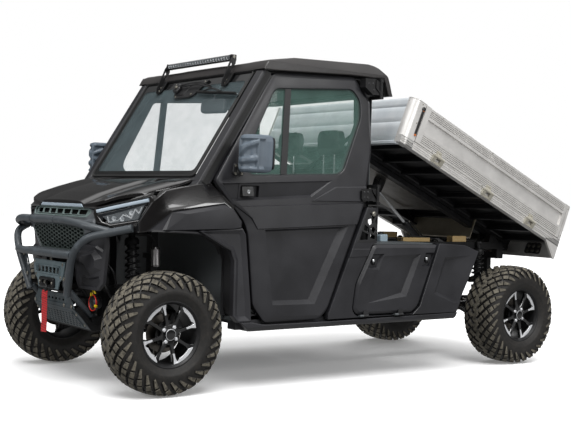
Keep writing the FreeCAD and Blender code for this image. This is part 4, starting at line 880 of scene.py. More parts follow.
def wheel(name, body, tyre_node, wheel_node):
    """Eight black spokes, alternate ones with a machined face and rim arc, in a deep black barrel."""
    low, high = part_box(tyre_node)
    centre = (low + high) / 2
    side = 1 if centre.y > 0 else -1
    half = (high.y - low.y) / 2
    worn_tops, clean_sides = lugs(half, centre)
    piece(name + "_tyre", body, (tyre_black, clean_sides, carcass(half, centre)), (tread_worn, worn_tops),
          replaces=(tyre_node,), slot="tyre_rubber", sharp=38)
    face = half * 0.8 * 0.72 + 14 * MM
    edge = half * 0.80
    barrel = [(-edge, BEAD_R + 0.008), (-edge - 0.003, BEAD_R + 0.010), (-edge - 0.005, BEAD_R + 0.004),
              (-edge, BEAD_R - 0.004), (-edge + 0.02, BEAD_R - 0.012), (0, BEAD_R - 0.020),
              (face - 0.03, BEAD_R - 0.016), (face - 0.004, BEAD_R - 0.013), (face + 0.004, BEAD_R - 0.010),
              (edge, BEAD_R - 0.004), (edge + 0.004, BEAD_R + 0.002), (edge + 0.0035, BEAD_R + 0.008),
              (edge - 0.001, BEAD_R + 0.009), (edge - 0.012, BEAD_R + 0.001), (0, BEAD_R - 0.012),
              (-edge + 0.012, BEAD_R + 0.001), (-edge, BEAD_R + 0.008)]
    black, bright = [], []

    def turned(profile, at=centre, sides=40):
        """Profile turned about the axle, or about a line beside it; its distances are outwards."""
        return lathe(np.array(profile) * (side, 1), at, "y", sides)

    for k in range(8):
        turn = math.radians(45 * k + 75)
        black.append(spoke(centre, face, turn, side))
        if k % 2 == 0:
            bright.append(spoke(centre, face, turn, side, lift=0.0012, narrow=0.62, thick=3, reach=(2, 6)))
            bright.append(rim_arc(centre, face, turn - 0.02, -math.radians(46), side))
    hub = [(face - 0.030, 0.0), (face - 0.030, 0.056), (face - 0.006, 0.056), (face - 0.002, 0.050),
           (face - 0.004, 0.036), (face + 0.003, 0.034), (face + 0.009, 0.031), (face + 0.011, 0.027),
           (face + 0.0105, 0.0)]
    black.append(turned(hub))
    for k in range(4):
        turn = math.radians(90 * k + 34)
        at = centre + Vector((0.046 * math.cos(turn), 0, 0.046 * math.sin(turn)))
        nut = [(face - 0.02, 0.0), (face - 0.02, 0.0115), (face + 0.002, 0.0115), (face + 0.006, 0.008),
               (face + 0.0065, 0.0)]
        bright.append(turned(nut, at, 6))
    bright.append(turned([(face + 0.0085, 0.0315), (face + 0.0098, 0.0305), (face + 0.0102, 0.0285),
                          (face + 0.009, 0.028), (face + 0.0085, 0.0315)]))
    piece(name + "_rim", body, (wheel_black, *black), (machined, *bright),
          (frame_black, turned(barrel, sides=72)), replaces=(wheel_node,), slot="wheel_alloy", bevel=0.0012,
          segments=1, sharp=30)
    return centre, side, face


def brake(name, body, centre, side, inner):
    """Drilled steel disc and its caliper on the hub, seen between the spokes."""
    at = Vector((centre.x, 0, centre.z))
    y = side * inner
    disc = lathe([(y - 0.003, 0.045), (y - 0.003, 0.108), (y + 0.003, 0.108), (y + 0.003, 0.045),
                  (y - 0.003, 0.045)], at, "y", 48)
    turn = np.linspace(math.radians(110), math.radians(168), 8)
    ring = np.array([(0.076, y - 0.022), (0.118, y - 0.022), (0.122, y - 0.010), (0.122, y + 0.010),
                     (0.118, y + 0.022), (0.076, y + 0.022)])
    points = np.stack([ring[None, :, 0] * np.cos(turn)[:, None], np.broadcast_to(ring[:, 1], (8, 6)),
                       ring[None, :, 0] * np.sin(turn)[:, None]], -1) + np.array(at)
    piece(name, body, (disc_steel, disc), (frame_black, capped(points)), slot="steel", bevel=0.001,
          segments=1)


for corner in ("front_left", "front_right", "rear_left", "rear_right"):
    centre, side, face = wheel("wheel_" + corner, "wheel_" + corner, "tyre_" + corner, "wheel_" + corner)
    front = corner.startswith("front")
    carrier = ("knuckle_left" if side > 0 else "knuckle_right") if front else "chassis"
    brake("brake_" + corner, carrier, centre, side, abs(centre.y) + face - 0.075)


# ---- doors -------------------------------------------------------------------------------------------

DOOR = rounded(mm((1160, 1190), (761, 1837), (143, 1868), (18, 1733), (2, 1418), (38, 1198), (59, 1098),
                  (338, 444), (396, 388), (802, 380), (890, 486), (938, 893), (962, 962), (1040, 1052)),
               26 * MM)
WINDOW = rounded(mm((753, 1742), (166, 1789), (106, 1727), (101, 1616), (236, 1289), (278, 1262),
                    (922, 1232), (968, 1284), (960, 1330)), 34 * MM)
SECTION_Z = np.array([300, 900, 1086, 1240, 1840, 1900]) * MM
SECTION_Y = np.array([785, 785, 773, 765, 735, 735]) * MM


def body_side(a, b):
    """Outer face of the cab's side, y at the height z: upright to the belt, then leaning in to the roof."""
    return np.interp(b, SECTION_Z, SECTION_Y)


def door_face(a, b):
    """The body side, 18 mm lower at the door's very edge, from which its rim and bands rise."""
    return body_side(a, b) - 18 * MM


DOOR_RIM = mm((1128, 1180), (748, 1812), (155, 1842), (43, 1724), (28, 1420), (62, 1203), (84, 1104),
              (100, 1066), (352, 462), (404, 414), (770, 420), (853, 500), (884, 905), (915, 985),
              (1012, 1072))
DOOR_BAND = mm((1040, 1062), (1000, 1053), (66, 1096), (128, 959), (884, 922), (925, 985))
WEDGE = mm((1122, 1178), (330, 1222), (486, 1118), (1044, 1080))
WEDGE_IN = mm((1106, 1172), (350, 1215), (482, 1132), (1046, 1094))
REAR_STEP = mm((487, 1096), (305, 1186), (165, 1193), (46, 1198), (62, 1098))
LOWER_PANEL = mm((826, 921), (205, 948), (448, 482), (758, 484))
LOWER_PANEL_IN = mm((819, 909), (258, 934), (478, 508), (748, 508))
HANDLE = rounded(mm((1006, 1184), (846, 1188), (843, 1092), (1003, 1087)), 8 * MM, 2)
HANDLE_POCKET = rounded(mm((992, 1171), (862, 1174), (860, 1105), (989, 1101)), 8 * MM, 2)
HINGES = [
    # plate outline, barrel's low and high z, screws (x, z)
    (mm((100, 1179), (112, 1168), (112, 1120), (102, 1108), (-6, 1108), (-6, 1186)), (1108, 1188),
     ((92, 1160), (92, 1126), (62, 1160), (62, 1126))),
    (mm((112, 1860), (112, 1806), (52, 1765), (-6, 1765), (-6, 1845), (30, 1862)), (1765, 1845),
     ((82, 1828), (50, 1830), (42, 1790))),
]
PIN = (-14 * MM, 789 * MM)      # x and y of the door hinge line


def wedge_depth(a, b):
    """The grab recess is shallow along its top and 26 mm deep along its foot."""
    return np.interp(b, np.array([1090, 1200]) * MM, [26 * MM, 5 * MM])


def door_shapes():
    """Left door: a pressed skin, its window seal, hinge leaves, handle and sash bar, each under its
    material."""
    skin = pressed(DOOR, door_face, 40 * MM, side_face, rolled=7 * MM, holes=[WINDOW], creases=[
        (inset(DOOR, 3 * MM), DOOR_RIM, -11 * MM),
        (DOOR_BAND, 4 * MM, -8 * MM), (WEDGE, WEDGE_IN, wedge_depth), (REAR_STEP, 7 * MM, -8 * MM),
        (LOWER_PANEL, LOWER_PANEL_IN, 28 * MM), (HANDLE, 2 * MM, -4 * MM), (HANDLE_POCKET, 4 * MM, 20 * MM)])
    seal = []
    for radius, out, sink in ((7, 0, 6), (5, -9, 12)):
        loop = inset(WINDOW, out * MM)
        at = side_face(loop[:, 0], loop[:, 1], door_face(loop[:, 0], loop[:, 1]) - sink * MM)
        seal.append(tube(at, radius * MM, 8, closed=True))
    sash = np.array([(0.656, 0.0, 1.752), (0.688, 0.0, 1.244)])
    sash[:, 1] = body_side(0, sash[:, 2]) - 22 * MM
    bar = carried(sash, [(-8 * MM, -22 * MM), (9 * MM, -22 * MM), (13 * MM, -14 * MM), (13 * MM, 14 * MM),
                         (9 * MM, 22 * MM), (-8 * MM, 22 * MM)], up=(1, 0, 0))
    lever = pressed(rounded(mm((985, 1166), (904, 1169), (902, 1112), (983, 1109)), 6 * MM, 2),
                    lambda a, b: body_side(a, b) - 8 * MM - (b - 1.14) * 0.12, 12 * MM, side_face,
                    rolled=3 * MM)
    lock_y = float(body_side(0, 1.137))
    lock = lathe([(lock_y - 0.010, 0.0), (lock_y - 0.010, 0.011), (lock_y - 0.004, 0.011),
                  (lock_y - 0.003, 0.009), (lock_y - 0.006, 0.006), (lock_y - 0.006, 0.0)],
                 (0.942, 0, 1.137), "y", 20)
    leaves, screws = [], []
    for outline, (low, high), spots in HINGES:
        level = float(np.max(body_side(0, outline[:, 1]))) + 4 * MM
        foot = 736 * MM
        leaves.append(prism(outline, foot if high > 1300 else 772 * MM, max(level, 0.787), "y"))
        leaves.append(tube([(PIN[0], PIN[1], low * MM), (PIN[0], PIN[1], high * MM)], 11 * MM, 18))
        leaves.append(prism(outline[:4] * (0, 1) + mm((30, 0), (30, 0), (-14, 0), (-14, 0)),
                            0.784, 0.794, "y"))
        for x, z in spots:
            screws.append(bolt((x * MM, max(level, 0.787), z * MM), "y", 1, 7, 4))
    return [skin], seal, [bar], [lever], [lock], leaves, screws


for side, name in SIDES:
    body = "door_" + name
    skin, seal, bars, levers, locks, leaves, screws = [
        sided(part, side) for part in door_shapes()]
    piece(f"door_skin_{name}", body, (panel_grey, *skin), (rubber, *seal), (trim_black, *bars),
          replaces=("door_" + name,), slot="black_moulding", sharp=24)
    piece(f"door_fittings_{name}", body, (trim_black, *levers), (chrome, *locks), (frame_black, *leaves),
          (trim_black, *screws), slot="black_frame_paint", bevel=1.2 * MM)


# ---- storage doors, quarter panels, sills and side boxes ---------------------------------------------

STORE = rounded(mm((-6, 842), (-566, 842), (-408, 442), (-350, 400), (112, 400), (148, 437), (128, 594),
                   (59, 721)), 26 * MM)
STORE_RIM = rounded(mm((-18, 818), (-536, 818), (-386, 452), (-340, 424), (100, 424), (124, 446), (104, 588),
                       (38, 708)), 16 * MM)
QUARTER = mm((-572, 846), (-590, 846), (-812, 835), (-944, 794), (-752, 392), (-352, 390), (-414, 440))
STRIP = mm((56, 1068), (338, 420), (340, 384), (-350, 392), (-350, 420), (-560, 846), (-34, 846),
           (-34, 1068))
LATTICE = mm((50, 1062), (-32, 1030), (-20, 852), (132, 850))
LATTICE_HOLES = [
    mm((40, 1036), (-12, 1018), (2, 992)), mm((-24, 1010), (-12, 984), (-22, 962)),
    mm((60, 990), (14, 1002), (4, 972), (30, 952)), mm((2, 950), (24, 936), (0, 906), (-16, 928)),
    mm((74, 962), (42, 944), (36, 912), (82, 930)), mm((22, 906), (24, 878), (-12, 872), (-14, 892)),
    mm((92, 920), (42, 902), (46, 868), (112, 866)),
]
SILL = mm((906, 392), (985, 392), (908, 335), (-735, 350), (-750, 372), (-760, 390), (340, 374), (820, 374))


def faded(depth, x_end, run):
    """A recess depth that dies away towards x_end over run."""
    return lambda a, b: depth * np.clip((x_end - a) / run, 0, 1)


LATCHES = [
    # recess outline, knob's centre
    (mm((17, 778), (-94, 781), (-56, 679), (40, 688)), mm((-6, 772), (-74, 774), (-44, 697), (24, 702)),
     (-18, 732)),
    (mm((-448, 788), (-540, 788), (-498, 691), (-418, 700)),
     mm((-460, 776), (-520, 774), (-484, 704), (-436, 710)), (-474, 742)),
]


def storage_door():
    """Storage door: a raised rim, a recess that deepens to the rear and two latch pockets with turn
    knobs."""
    recess = mm((-40, 765), (-408, 779), (-289, 509), (40, 474))
    recess_in = mm((-50, 742), (-368, 752), (-262, 532), (30, 500))
    creases = [(inset(STORE, 10 * MM), STORE_RIM, -8 * MM),
               (recess, recess_in, faded(22 * MM, 0.02, 0.24))]
    knobs, caps = [], []
    for outer, inner, (x, z) in LATCHES:
        creases.append((outer, inner, 20 * MM))
        knobs.append(lathe([(0.766, 0.0), (0.766, 0.021), (0.777, 0.019), (0.780, 0.015), (0.780, 0.0)],
                           (x * MM, 0, z * MM), "y", 24))
        knobs.append(slab((x * MM - 0.004, 0.776, z * MM - 0.020), (x * MM + 0.004, 0.785, z * MM + 0.020)))
        caps.append(lathe([(0.779, 0.0), (0.779, 0.010), (0.783, 0.009), (0.7845, 0.005), (0.785, 0.0)],
                          (x * MM + 0.012, 0, z * MM + 0.006), "y", 16))
    skin = pressed(inset(STORE, 3 * MM), flat(0.778), 30 * MM, side_face, creases=creases, rolled=12 * MM)
    for x in (-0.260, 0.030):
        knobs.append(tube([(x, 0.7915, 0.398), (x + 0.040, 0.7915, 0.398)], 7 * MM, 14))
        knobs.append(slab((x, 0.778, 0.402), (x + 0.040, 0.7915, 0.430)))
    return skin, knobs, caps


def side_panels():
    """Fixed panels below the cab: quarter panel, the strip behind the door, the lattice and the storage
    box."""
    quarter = pressed(QUARTER, flat(0.784), 60 * MM, side_face, rolled=6 * MM, creases=[
        (mm((-623, 757), (-868, 768), (-836, 452), (-719, 453), (-536, 519)),
         mm((-655, 734), (-856, 744), (-826, 474), (-722, 482), (-572, 530)),
         lambda a, b: 20 * MM * np.clip((a + 0.87) / 0.20, 0, 1))])
    strip = pressed(STRIP, flat(0.779), 55 * MM, side_face, rolled=4 * MM,
                    holes=[inset(STORE, -6 * MM), mm((48, 1040), (-30, 1012), (-26, 862), (122, 862))],
                    creases=[(mm((178, 812), (20, 812), (36, 762), (196, 757)), 4 * MM, -4 * MM)])
    lattice = pressed(LATTICE, flat(0.780), 14 * MM, side_face, holes=LATTICE_HOLES, rolled=2 * MM)
    screw = bolt((0.003, 0.781, 1.030), "y", 1, 12, 6)
    walls = [
        slab((-0.560, 0.430, 0.422), (0.070, 0.445, 0.844)),
        slab((-0.560, 0.430, 0.422), (0.070, 0.735, 0.437)),
        slab((-0.560, 0.430, 0.829), (0.070, 0.735, 0.846)),
        slab((-0.560, 0.430, 0.422), (-0.545, 0.720, 0.844)),
        slab((0.055, 0.430, 0.422), (0.070, 0.725, 0.844)),
    ]
    for x in (-0.2195, 0.0705):
        walls.append(tube([(x, 0.7915, 0.398), (x + 0.029, 0.7915, 0.398)], 7 * MM, 14))
        walls.append(slab((x, 0.755, 0.392), (x + 0.029, 0.7915, 0.398)))
    return [quarter, strip], [lattice], [screw], walls


def sill():
    """Sill board: a moulded bar whose foot is chamfered inwards, in front of the rocker box below the
    door."""
    rocker = slab((-0.34, 0.655, 0.345), (0.985, 0.735, 0.43))
    board = pressed(SILL, lambda a, b: 0.785 - np.clip((0.362 - b) * 0.9, 0, 0.03), 90 * MM, side_face,
                    rolled=6 * MM, lines=[[(-0.742, 0.362), (0.945, 0.362)]])
    return joined([board, rocker])


for side, name in SIDES:
    skin, knobs, caps = storage_door()
    piece(f"storage_door_skin_{name}", f"storage_door_{name}", (panel_grey, on_side(skin, side)),
          (trim_black, *sided(knobs, side)), (chrome, *sided(caps, side)),
          replaces=(f"storage_door_{name}",), slot="black_moulding", sharp=24)
    panels, lattices, screws, walls = (sided(part, side) for part in side_panels())
    piece(f"side_panels_{name}", "chassis", (panel_grey, *panels), (trim_black, *lattices), (zinc, *screws),
          (inner_grey, *walls), replaces=(f"side_box_{name}",), slot="black_moulding", sharp=24)
piece("sill_boards", "chassis", (panel_grey, sill(), flipped(sill())), replaces=("sills",),
      slot="black_moulding", sharp=24)


# ---- front wings -------------------------------------------------------------------------------------

GLOSS_WING = mm((1040, 1052), (1178, 1180), (1262, 1168), (1462, 1126), (1532, 1062), (1606, 944),
                (1598, 893), (1560, 898), (1440, 1014), (1101, 1064), (1044, 1020))
FLARE = mm((1047, 1052), (1101, 1064), (1440, 1014), (1558, 899), (1484, 905), (1042, 920), (985, 926),
           (982, 964))
FLARE_RIM = mm((1050, 1028), (1098, 1040), (1350, 1002), (1468, 915), (1466, 911), (1042, 926), (1000, 934),
               (1000, 966))
LEG = mm((1272, 910), (985, 930), (960, 893), (912, 486), (906, 392), (1000, 392), (1034, 430), (1036, 742),
         (1062, 800), (1240, 890))


def wing_face(a, b):
    """Wing's outer face: full width at its foot, leaning in by up to 60 mm as it rises and 90 mm towards
    the lamp."""
    return 0.785 - np.clip((b - 1.02) * 0.32, 0, 0.06) - np.clip((a - 1.42) * 0.55, 0, 0.09)


def wing_top():
    """Top of the wing: a sheet out from beside the bonnet to the side face, 2 mm domed, its inner edge
    turned down 30 mm."""
    a, b = mm((1180, 1177), (1262, 1165), (1380, 1140), (1460, 1122), (1500, 1086), (1529, 1058),
              (1562, 1005), (1590, 958)).T
    inner = np.interp(a, [1.262, 1.45, 1.52], [0.657, 0.652, 0.676])
    outer = wing_face(a, b) - 14 * MM
    ways = [(inner, -30), (inner, -3), (inner + 3 * MM, 0), ((inner + outer) / 2, 2), (outer, 0)]
    top = np.stack([np.stack([a, y, b + drop * MM], -1) for y, drop in ways], axis=1)
    under = top[:, ::-1] - (0.003, 0, 0.003)
    return capped(np.concatenate([top, under], axis=1))


def wings():
    """Wing panels and the arch liner, which is the arch's outline carried inwards."""
    gloss = pressed(GLOSS_WING, lambda a, b: wing_face(a, b) - 6 * MM, 16 * MM, side_face, rolled=5 * MM,
                    lines=[[(1.20, 1.07), (1.47, 1.03), (1.575, 0.93)]])
    flare = pressed(FLARE, lambda a, b: wing_face(a, b) - 14 * MM, 26 * MM, side_face, rolled=4 * MM,
                    creases=[(inset(FLARE, 1.5 * MM), FLARE_RIM, -13 * MM)])
    leg = pressed(LEG, lambda a, b: wing_face(a, b) - 2 * MM, 40 * MM, side_face, rolled=9 * MM,
                  creases=[(inset(LEG, 10 * MM), inset(LEG, 34 * MM), 14 * MM)])
    arch = mm((1560, 900), (1470, 900), (1240, 890), (1062, 800), (1036, 742), (1034, 430), (1000, 392))
    arch = rounded(arch, 40 * MM)[3:-3]
    depth = np.array([0.782, 0.74, 0.66, 0.60])
    shrink = np.array([0.0, 0.018, 0.022, 0.022])
    inner = inset(np.vstack([arch, arch[::-1] - (0.2, 0)]), 0)[:len(arch)]
    liner = np.stack([np.stack([inner[:, 0] - s * 0.5, np.minimum(d, wing_face(*inner.T) - 10 * MM),
                                inner[:, 1] + s], -1)
                      for d, s in zip(depth, shrink)], axis=1)
    skin = grid(liner)
    back = grid(liner + np.array([-0.004, 0, 0.004]))
    back = back[0], [f[::-1] for f in back[1]]
    wall = pressed(mm((1040, 900), (1062, 805), (1040, 742), (1034, 432), (960, 400), (930, 860)),
                   flat(0.66), 6 * MM, side_face, rolled=2 * MM)
    return [gloss, wing_top()], [flare, leg], [skin, back, wall]


for side, name in SIDES:
    glosses, flares, liners = (sided(part, side) for part in wings())
    piece(f"front_wing_skin_{name}", "chassis", (piano_black, *glosses), (flare_grey, *flares),
          (liner_black, *liners), replaces=(f"front_wing_{name}",), slot="wing_moulding", sharp=24)


# ---- tipping bed: shapes are drawn in the bed's own (u forward, y, w up) and raised to rest ----------

BED_HINGE = (-1.490, 0, 0.858)
BED = Matrix.Translation(BED_HINGE) @ Matrix.Rotation(-TILT, 4, "Y")
AXIS_Y, AXIS_W = 0.776, 0.132      # the drop sides' hinge pins
RAIL_OUT = 0.760                   # outer face of the bed's rails
LEAF_Y = 0.7595                    # where hinge leaves and screws sit on a drop side
KNUCKLE_HALF = 0.0215              # half the length of a middle knuckle
KNUCKLE_GAP = 0.0222               # where the fixed knuckles begin beside it
KNUCKLE_END = 0.050
SIDE_HINGES = (0.080, 0.560, 1.080)
TAIL_HINGES = (-0.480, 0.0, 0.480)
TAIL_U = -0.301                    # the tailgate's hinge pins
FLOOR_REAR, FLOOR_FRONT, FLOOR_HALF = -0.2845, 1.3945, 0.7175


def on_bed(shape, side=1):
    """Shape drawn in bed directions, put where the raised bed is, on that side."""
    return on_side(placed(shape, BED), side)


def raised(shapes, side=1):
    """Each shape put where the raised bed is, on that side."""
    return [on_bed(shape, side) for shape in shapes]


def grooved(foot, top, outer, thick, grooves, recess=None, deep=6 * MM, wide=6 * MM):
    """Section (y, w) of an extruded board: its outer face has square grooves at the given heights and,
    between the two heights of recess, a sunk panel with a shadow step; its back is plain."""
    face = [(outer - 1.5 * MM, foot), (outer, foot + 1.5 * MM)]
    marks = [(g, "groove") for g in grooves] + ([(recess[0], "sink"), (recess[1], "rise")] if recess else [])
    level = outer
    for at, kind in sorted(marks):
        if kind == "groove":
            face += [(level, at - wide / 2), (level - deep, at - wide / 2 + 0.6 * MM),
                     (level - deep, at + wide / 2 - 0.6 * MM), (level, at + wide / 2)]
        elif kind == "sink":
            face += [(outer + 1.2 * MM, at - 9 * MM), (outer + 1.2 * MM, at - 3 * MM), (outer - 12 * MM, at)]
            level = outer - 12 * MM
        else:
            face += [(outer - 12 * MM, at), (outer + 0.6 * MM, at + 1 * MM), (outer + 0.6 * MM, at + 7 * MM),
                     (outer, at + 8 * MM)]
            level = outer
    face += [(outer, top - 2 * MM), (outer - 2 * MM, top), (outer - thick + 2 * MM, top),
             (outer - thick, top - 2 * MM), (outer - thick, foot)]
    return face


BOARD_FOOT, BOARD_TOP = 0.144, 0.402
BOARD_OUT = 0.7588                 # outer face of a drop side's board
BOARD = grooved(BOARD_FOOT, BOARD_TOP, BOARD_OUT, 0.0238,
                (0.160, 0.172, 0.184, 0.196, 0.208, 0.345, 0.357, 0.369, 0.381), recess=(0.232, 0.322))
RAIL = [(0.718, 0.085), (0.758, 0.085), (0.760, 0.087), (0.760, 0.096), (0.757, 0.0965), (0.757, 0.1015),
        (0.760, 0.102), (0.760, 0.108), (0.757, 0.1085), (0.757, 0.1135), (0.760, 0.114), (0.760, 0.122),
        (0.7565, 0.124), (0.7565, 0.130), (0.760, 0.132), (0.760, 0.1365), (0.758, 0.138), (0.718, 0.138)]


def plank_wall(low, high, front, thick, joints, bow=3 * MM):
    """Section (u, w) of stacked hollow planks: each face bows out a little and meets the next in a V."""
    edges = [low, *joints, high]
    face = []
    for a, b in zip(edges[:-1], edges[1:]):
        t = np.linspace(0, 1, 7)
        w = a + (b - a) * t
        u = front - bow * (2 * t - 1) ** 6 * 1.6 - bow * 0.4 * (1 - t)
        face += list(zip(u, w))
    return face + [(front - thick, high), (front - thick, low)]


def side_board():
    """Drop side: the grooved extrusion between two end caps, and the middle knuckle of each hinge."""
    skin = [prism(BOARD, -0.232, 1.262, "x"),
            slab((-0.257, 0.735, 0.144), (-0.230, 0.760, 0.402)),
            slab((1.260, 0.735, 0.144), (1.307, 0.760, 0.402))]
    knuckles, pins = [], []
    for u in SIDE_HINGES:
        knuckles += hinge_knuckle(u)
    for u in (0.10, 0.62, 1.14):
        for w in (0.150, 0.392):
            pins.append(bolt((u, LEAF_Y, w), "y", 1, 3.2, 1.6))
    return skin, knuckles, pins


def hinge_knuckle(u):
    """Cast hinge leaf: a barrel on the pin's line with a web and a clamp plate on the board above it."""
    half, y, w, face, top = KNUCKLE_HALF, AXIS_Y, AXIS_W, LEAF_Y, 0.174
    plate = prism([(face - 0.001, w + 0.012), (y, w + 0.001), (y + 0.0065, w + 0.007),
                   (y - 0.004, w + 0.016), (face + 0.006, w + 0.026), (face + 0.006, top),
                   (face + 0.003, top + 0.003), (face - 0.001, top + 0.003)], u - half, u + half, "x")
    return [tube([(u - half, y, w), (u + half, y, w)], 9 * MM, 18), plate,
            bolt((u, face + 0.006, w + 0.034), "y", 1, 4.5, 3)]


def rail_knuckles(u):
    """The two fixed barrels of a hinge and the bracket that clamps them to the rail."""
    y, w, face = AXIS_Y, AXIS_W, RAIL_OUT
    shapes = []
    for a, b in ((u - KNUCKLE_END, u - KNUCKLE_GAP), (u + KNUCKLE_GAP, u + KNUCKLE_END)):
        shapes.append(tube([(a, y, w), (b, y, w)], 9 * MM, 18))
        shapes.append(prism([(face - 0.002, w - 0.042), (face + 0.005, w - 0.042), (y + 0.004, w - 0.010),
                             (y + 0.004, w), (y - 0.007, w + 0.003), (face - 0.002, w - 0.004)], a, b, "x"))
    shapes.append(prism([(face - 0.002, w - 0.044), (face + 0.006, w - 0.044), (face + 0.006, w - 0.028),
                         (face - 0.002, w - 0.026)], u - 0.05, u + 0.05, "x"))
    return shapes


for side, name in SIDES:
    skin, knuckles, pins = (raised(part, side) for part in side_board())
    piece(f"drop_side_{name}", f"side_board_{name}", (bed_silver, *skin), (hinge_cream, *knuckles),
          (zinc, *pins), replaces=(f"side_board_{name}",), slot="bed_aluminium", sharp=24)

# front corner posts, rails, rear posts
posts, screws, clamps = [], [], []
corner = [(1.313, 0.702), (1.425, 0.702)] + [
    (1.425 - 0.052 + 0.052 * math.cos(t), 0.760 - 0.052 + 0.052 * math.sin(t))
    for t in np.linspace(0, math.pi / 2, 9)] + [(1.313, 0.760)]
REAR_POST = mm((-285, -10), (-263, -10), (-135, 87), (-135, 97), (-263, 138), (-263, 402), (-285, 402))
for side in (1, -1):
    rear = prism(REAR_POST, 0.742, 0.760, "y")
    rear_lip = prism(mm((-277, 4), (-262, 4), (-152, 88), (-166, 88)), 0.7595, 0.7625, "y")
    post = prism(corner, 0.086, 0.405, "z")
    cap = prism(inset(np.array(corner), -1.5 * MM), 0.400, 0.4055, "z")
    posts += raised([prism(RAIL, -0.2635, 1.4235, "x"), prism(RAIL, -0.2845, -0.263, "x"), rear, rear_lip,
                     post, cap], side)
    for u, w in ((1.345, 0.388), (1.345, 0.118), (1.345, 0.255), (-0.274, 0.380), (-0.274, 0.170),
                 (-0.250, 0.020), (-0.170, 0.080)):
        screws.append(on_bed(bolt((u, 0.760, w), "y", 1, 3.6, 2.2), side))
    for u, w in ((1.395, 0.38), (1.395, 0.12)):
        screws.append(on_bed(bolt((1.4235, 0.712, w), "x", 1, 3.6, 1.4), side))
    for u in SIDE_HINGES:
        clamps += raised(rail_knuckles(u), side)
for y in TAIL_HINGES:
    for a, b in ((y - KNUCKLE_END, y - KNUCKLE_GAP), (y + KNUCKLE_GAP, y + KNUCKLE_END)):
        clamps.append(on_bed(tube([(TAIL_U, a, AXIS_W), (TAIL_U, b, AXIS_W)], 9 * MM, 18)))
        clamps.append(on_bed(prism(mm((-302, 92), (-284, 88), (-284, 126), (-296, 134), (-308, 128)), a, b,
                                   "y")))
piece("bed_rails_and_posts", "bed", (bed_silver, *posts), (zinc, *screws), (hinge_cream, *clamps),
      slot="bed_aluminium", bevel=1.2 * MM, segments=1, sharp=24)

# latch strap of each drop side, on the front post
latch, tips = [], []
for side in (1, -1):
    latch.append(on_bed(prism(rounded(rect(1318, 178, 1336, 352), 6 * MM, 2), 0.7600, 0.7660, "y"), side))
    latch.append(on_bed(lathe([(0.760, 0), (0.760, 0.015), (0.7665, 0.015), (0.769, 0.010), (0.769, 0.0)],
                              (1.327, 0, 0.362), "y", 24), side))
    for w in (0.172, 0.346):
        tips.append(on_bed(prism(rounded(rect(1319, 0, 1335, 12), 3 * MM, 1)
                                 + (0, w), 0.7605, 0.7675, "y"), side))
piece("side_latches", "bed", (trim_black, *latch), (amber, *tips), slot="black_moulding", bevel=1 * MM,
      segments=1)

# headboard of stacked planks, with the floor's front edge below it
planks = prism(plank_wall(0.100, 0.404, 1.4235, 0.028, (0.232, 0.340)), -0.701, 0.701, "y")
nosing = prism(mm((1393, 102), (1420, 98), (1424, 92), (1424, 76), (1416, 74), (1393, 80)), -0.718, 0.718,
               "y")
piece("headboard_planks", "bed", (plank_silver, on_bed(planks), on_bed(nosing)), replaces=("headboard",),
      slot="bed_aluminium", sharp=24)

# floor: tongued planks that run along the bed, seen from above; a dark sheet below
PLANKS = 12
tread_planks = []
for k in range(PLANKS):
    a = -FLOOR_HALF + k * 2 * FLOOR_HALF / PLANKS
    b = a + 2 * FLOOR_HALF / PLANKS
    section = [(a, 0.124), (a, 0.136), (a + 0.002, 0.138), (a + 0.030, 0.138), (a + 0.032, 0.1365),
               (a + 0.036, 0.1365), (a + 0.038, 0.138), (b - 0.038, 0.138), (b - 0.036, 0.1365),
               (b - 0.032, 0.1365), (b - 0.030, 0.138), (b - 0.002, 0.138), (b, 0.136), (b, 0.124)]
    tread_planks.append(on_bed(prism(section, FLOOR_REAR, FLOOR_FRONT, "x")))
piece("bed_floor_planks", "bed", (floor_silver, *tread_planks),
      (rib_black, on_bed(slab((FLOOR_REAR, -FLOOR_HALF, 0.1195), (FLOOR_FRONT, FLOOR_HALF, 0.1238)))),
      replaces=("bed_floor",), slot="bed_aluminium", sharp=24)


def hat_rib(u):
    """Pressed cross rib: a hat section 44 mm wide with lipped feet, from rail to rail."""
    return prism([(u - 0.022, 0.1195), (u - 0.022, 0.116), (u - 0.015, 0.113), (u - 0.012, 0.084),
                  (u - 0.009, 0.081), (u + 0.009, 0.081), (u + 0.012, 0.084), (u + 0.015, 0.113),
                  (u + 0.022, 0.116), (u + 0.022, 0.1195)], -0.719, 0.719, "y")


def long_beam(y, low, high, u0, u1):
    """Folded C beam along the bed, its open side inwards, with a swaged web."""
    out = 1 if y > 0 else -1
    t = 0.004
    web = [(y + out * 0.030, low), (y + out * 0.030, low + 0.030), (y + out * 0.025, low + 0.038),
           (y + out * 0.025, high - 0.034), (y + out * 0.030, high - 0.026), (y + out * 0.030, high)]
    back = [(a - out * t, b) for a, b in web[::-1]]
    back[0] = (back[0][0], high - t)
    back[-1] = (back[-1][0], low + t)
    section = web + [(y - out * 0.030, high), (y - out * 0.030, high - t)] + back + [
        (y - out * 0.026, low + t), (y - out * 0.026, low + 0.012), (y - out * 0.030, low + 0.012),
        (y - out * 0.030, low)]
    return prism(section, u0, u1, "x")


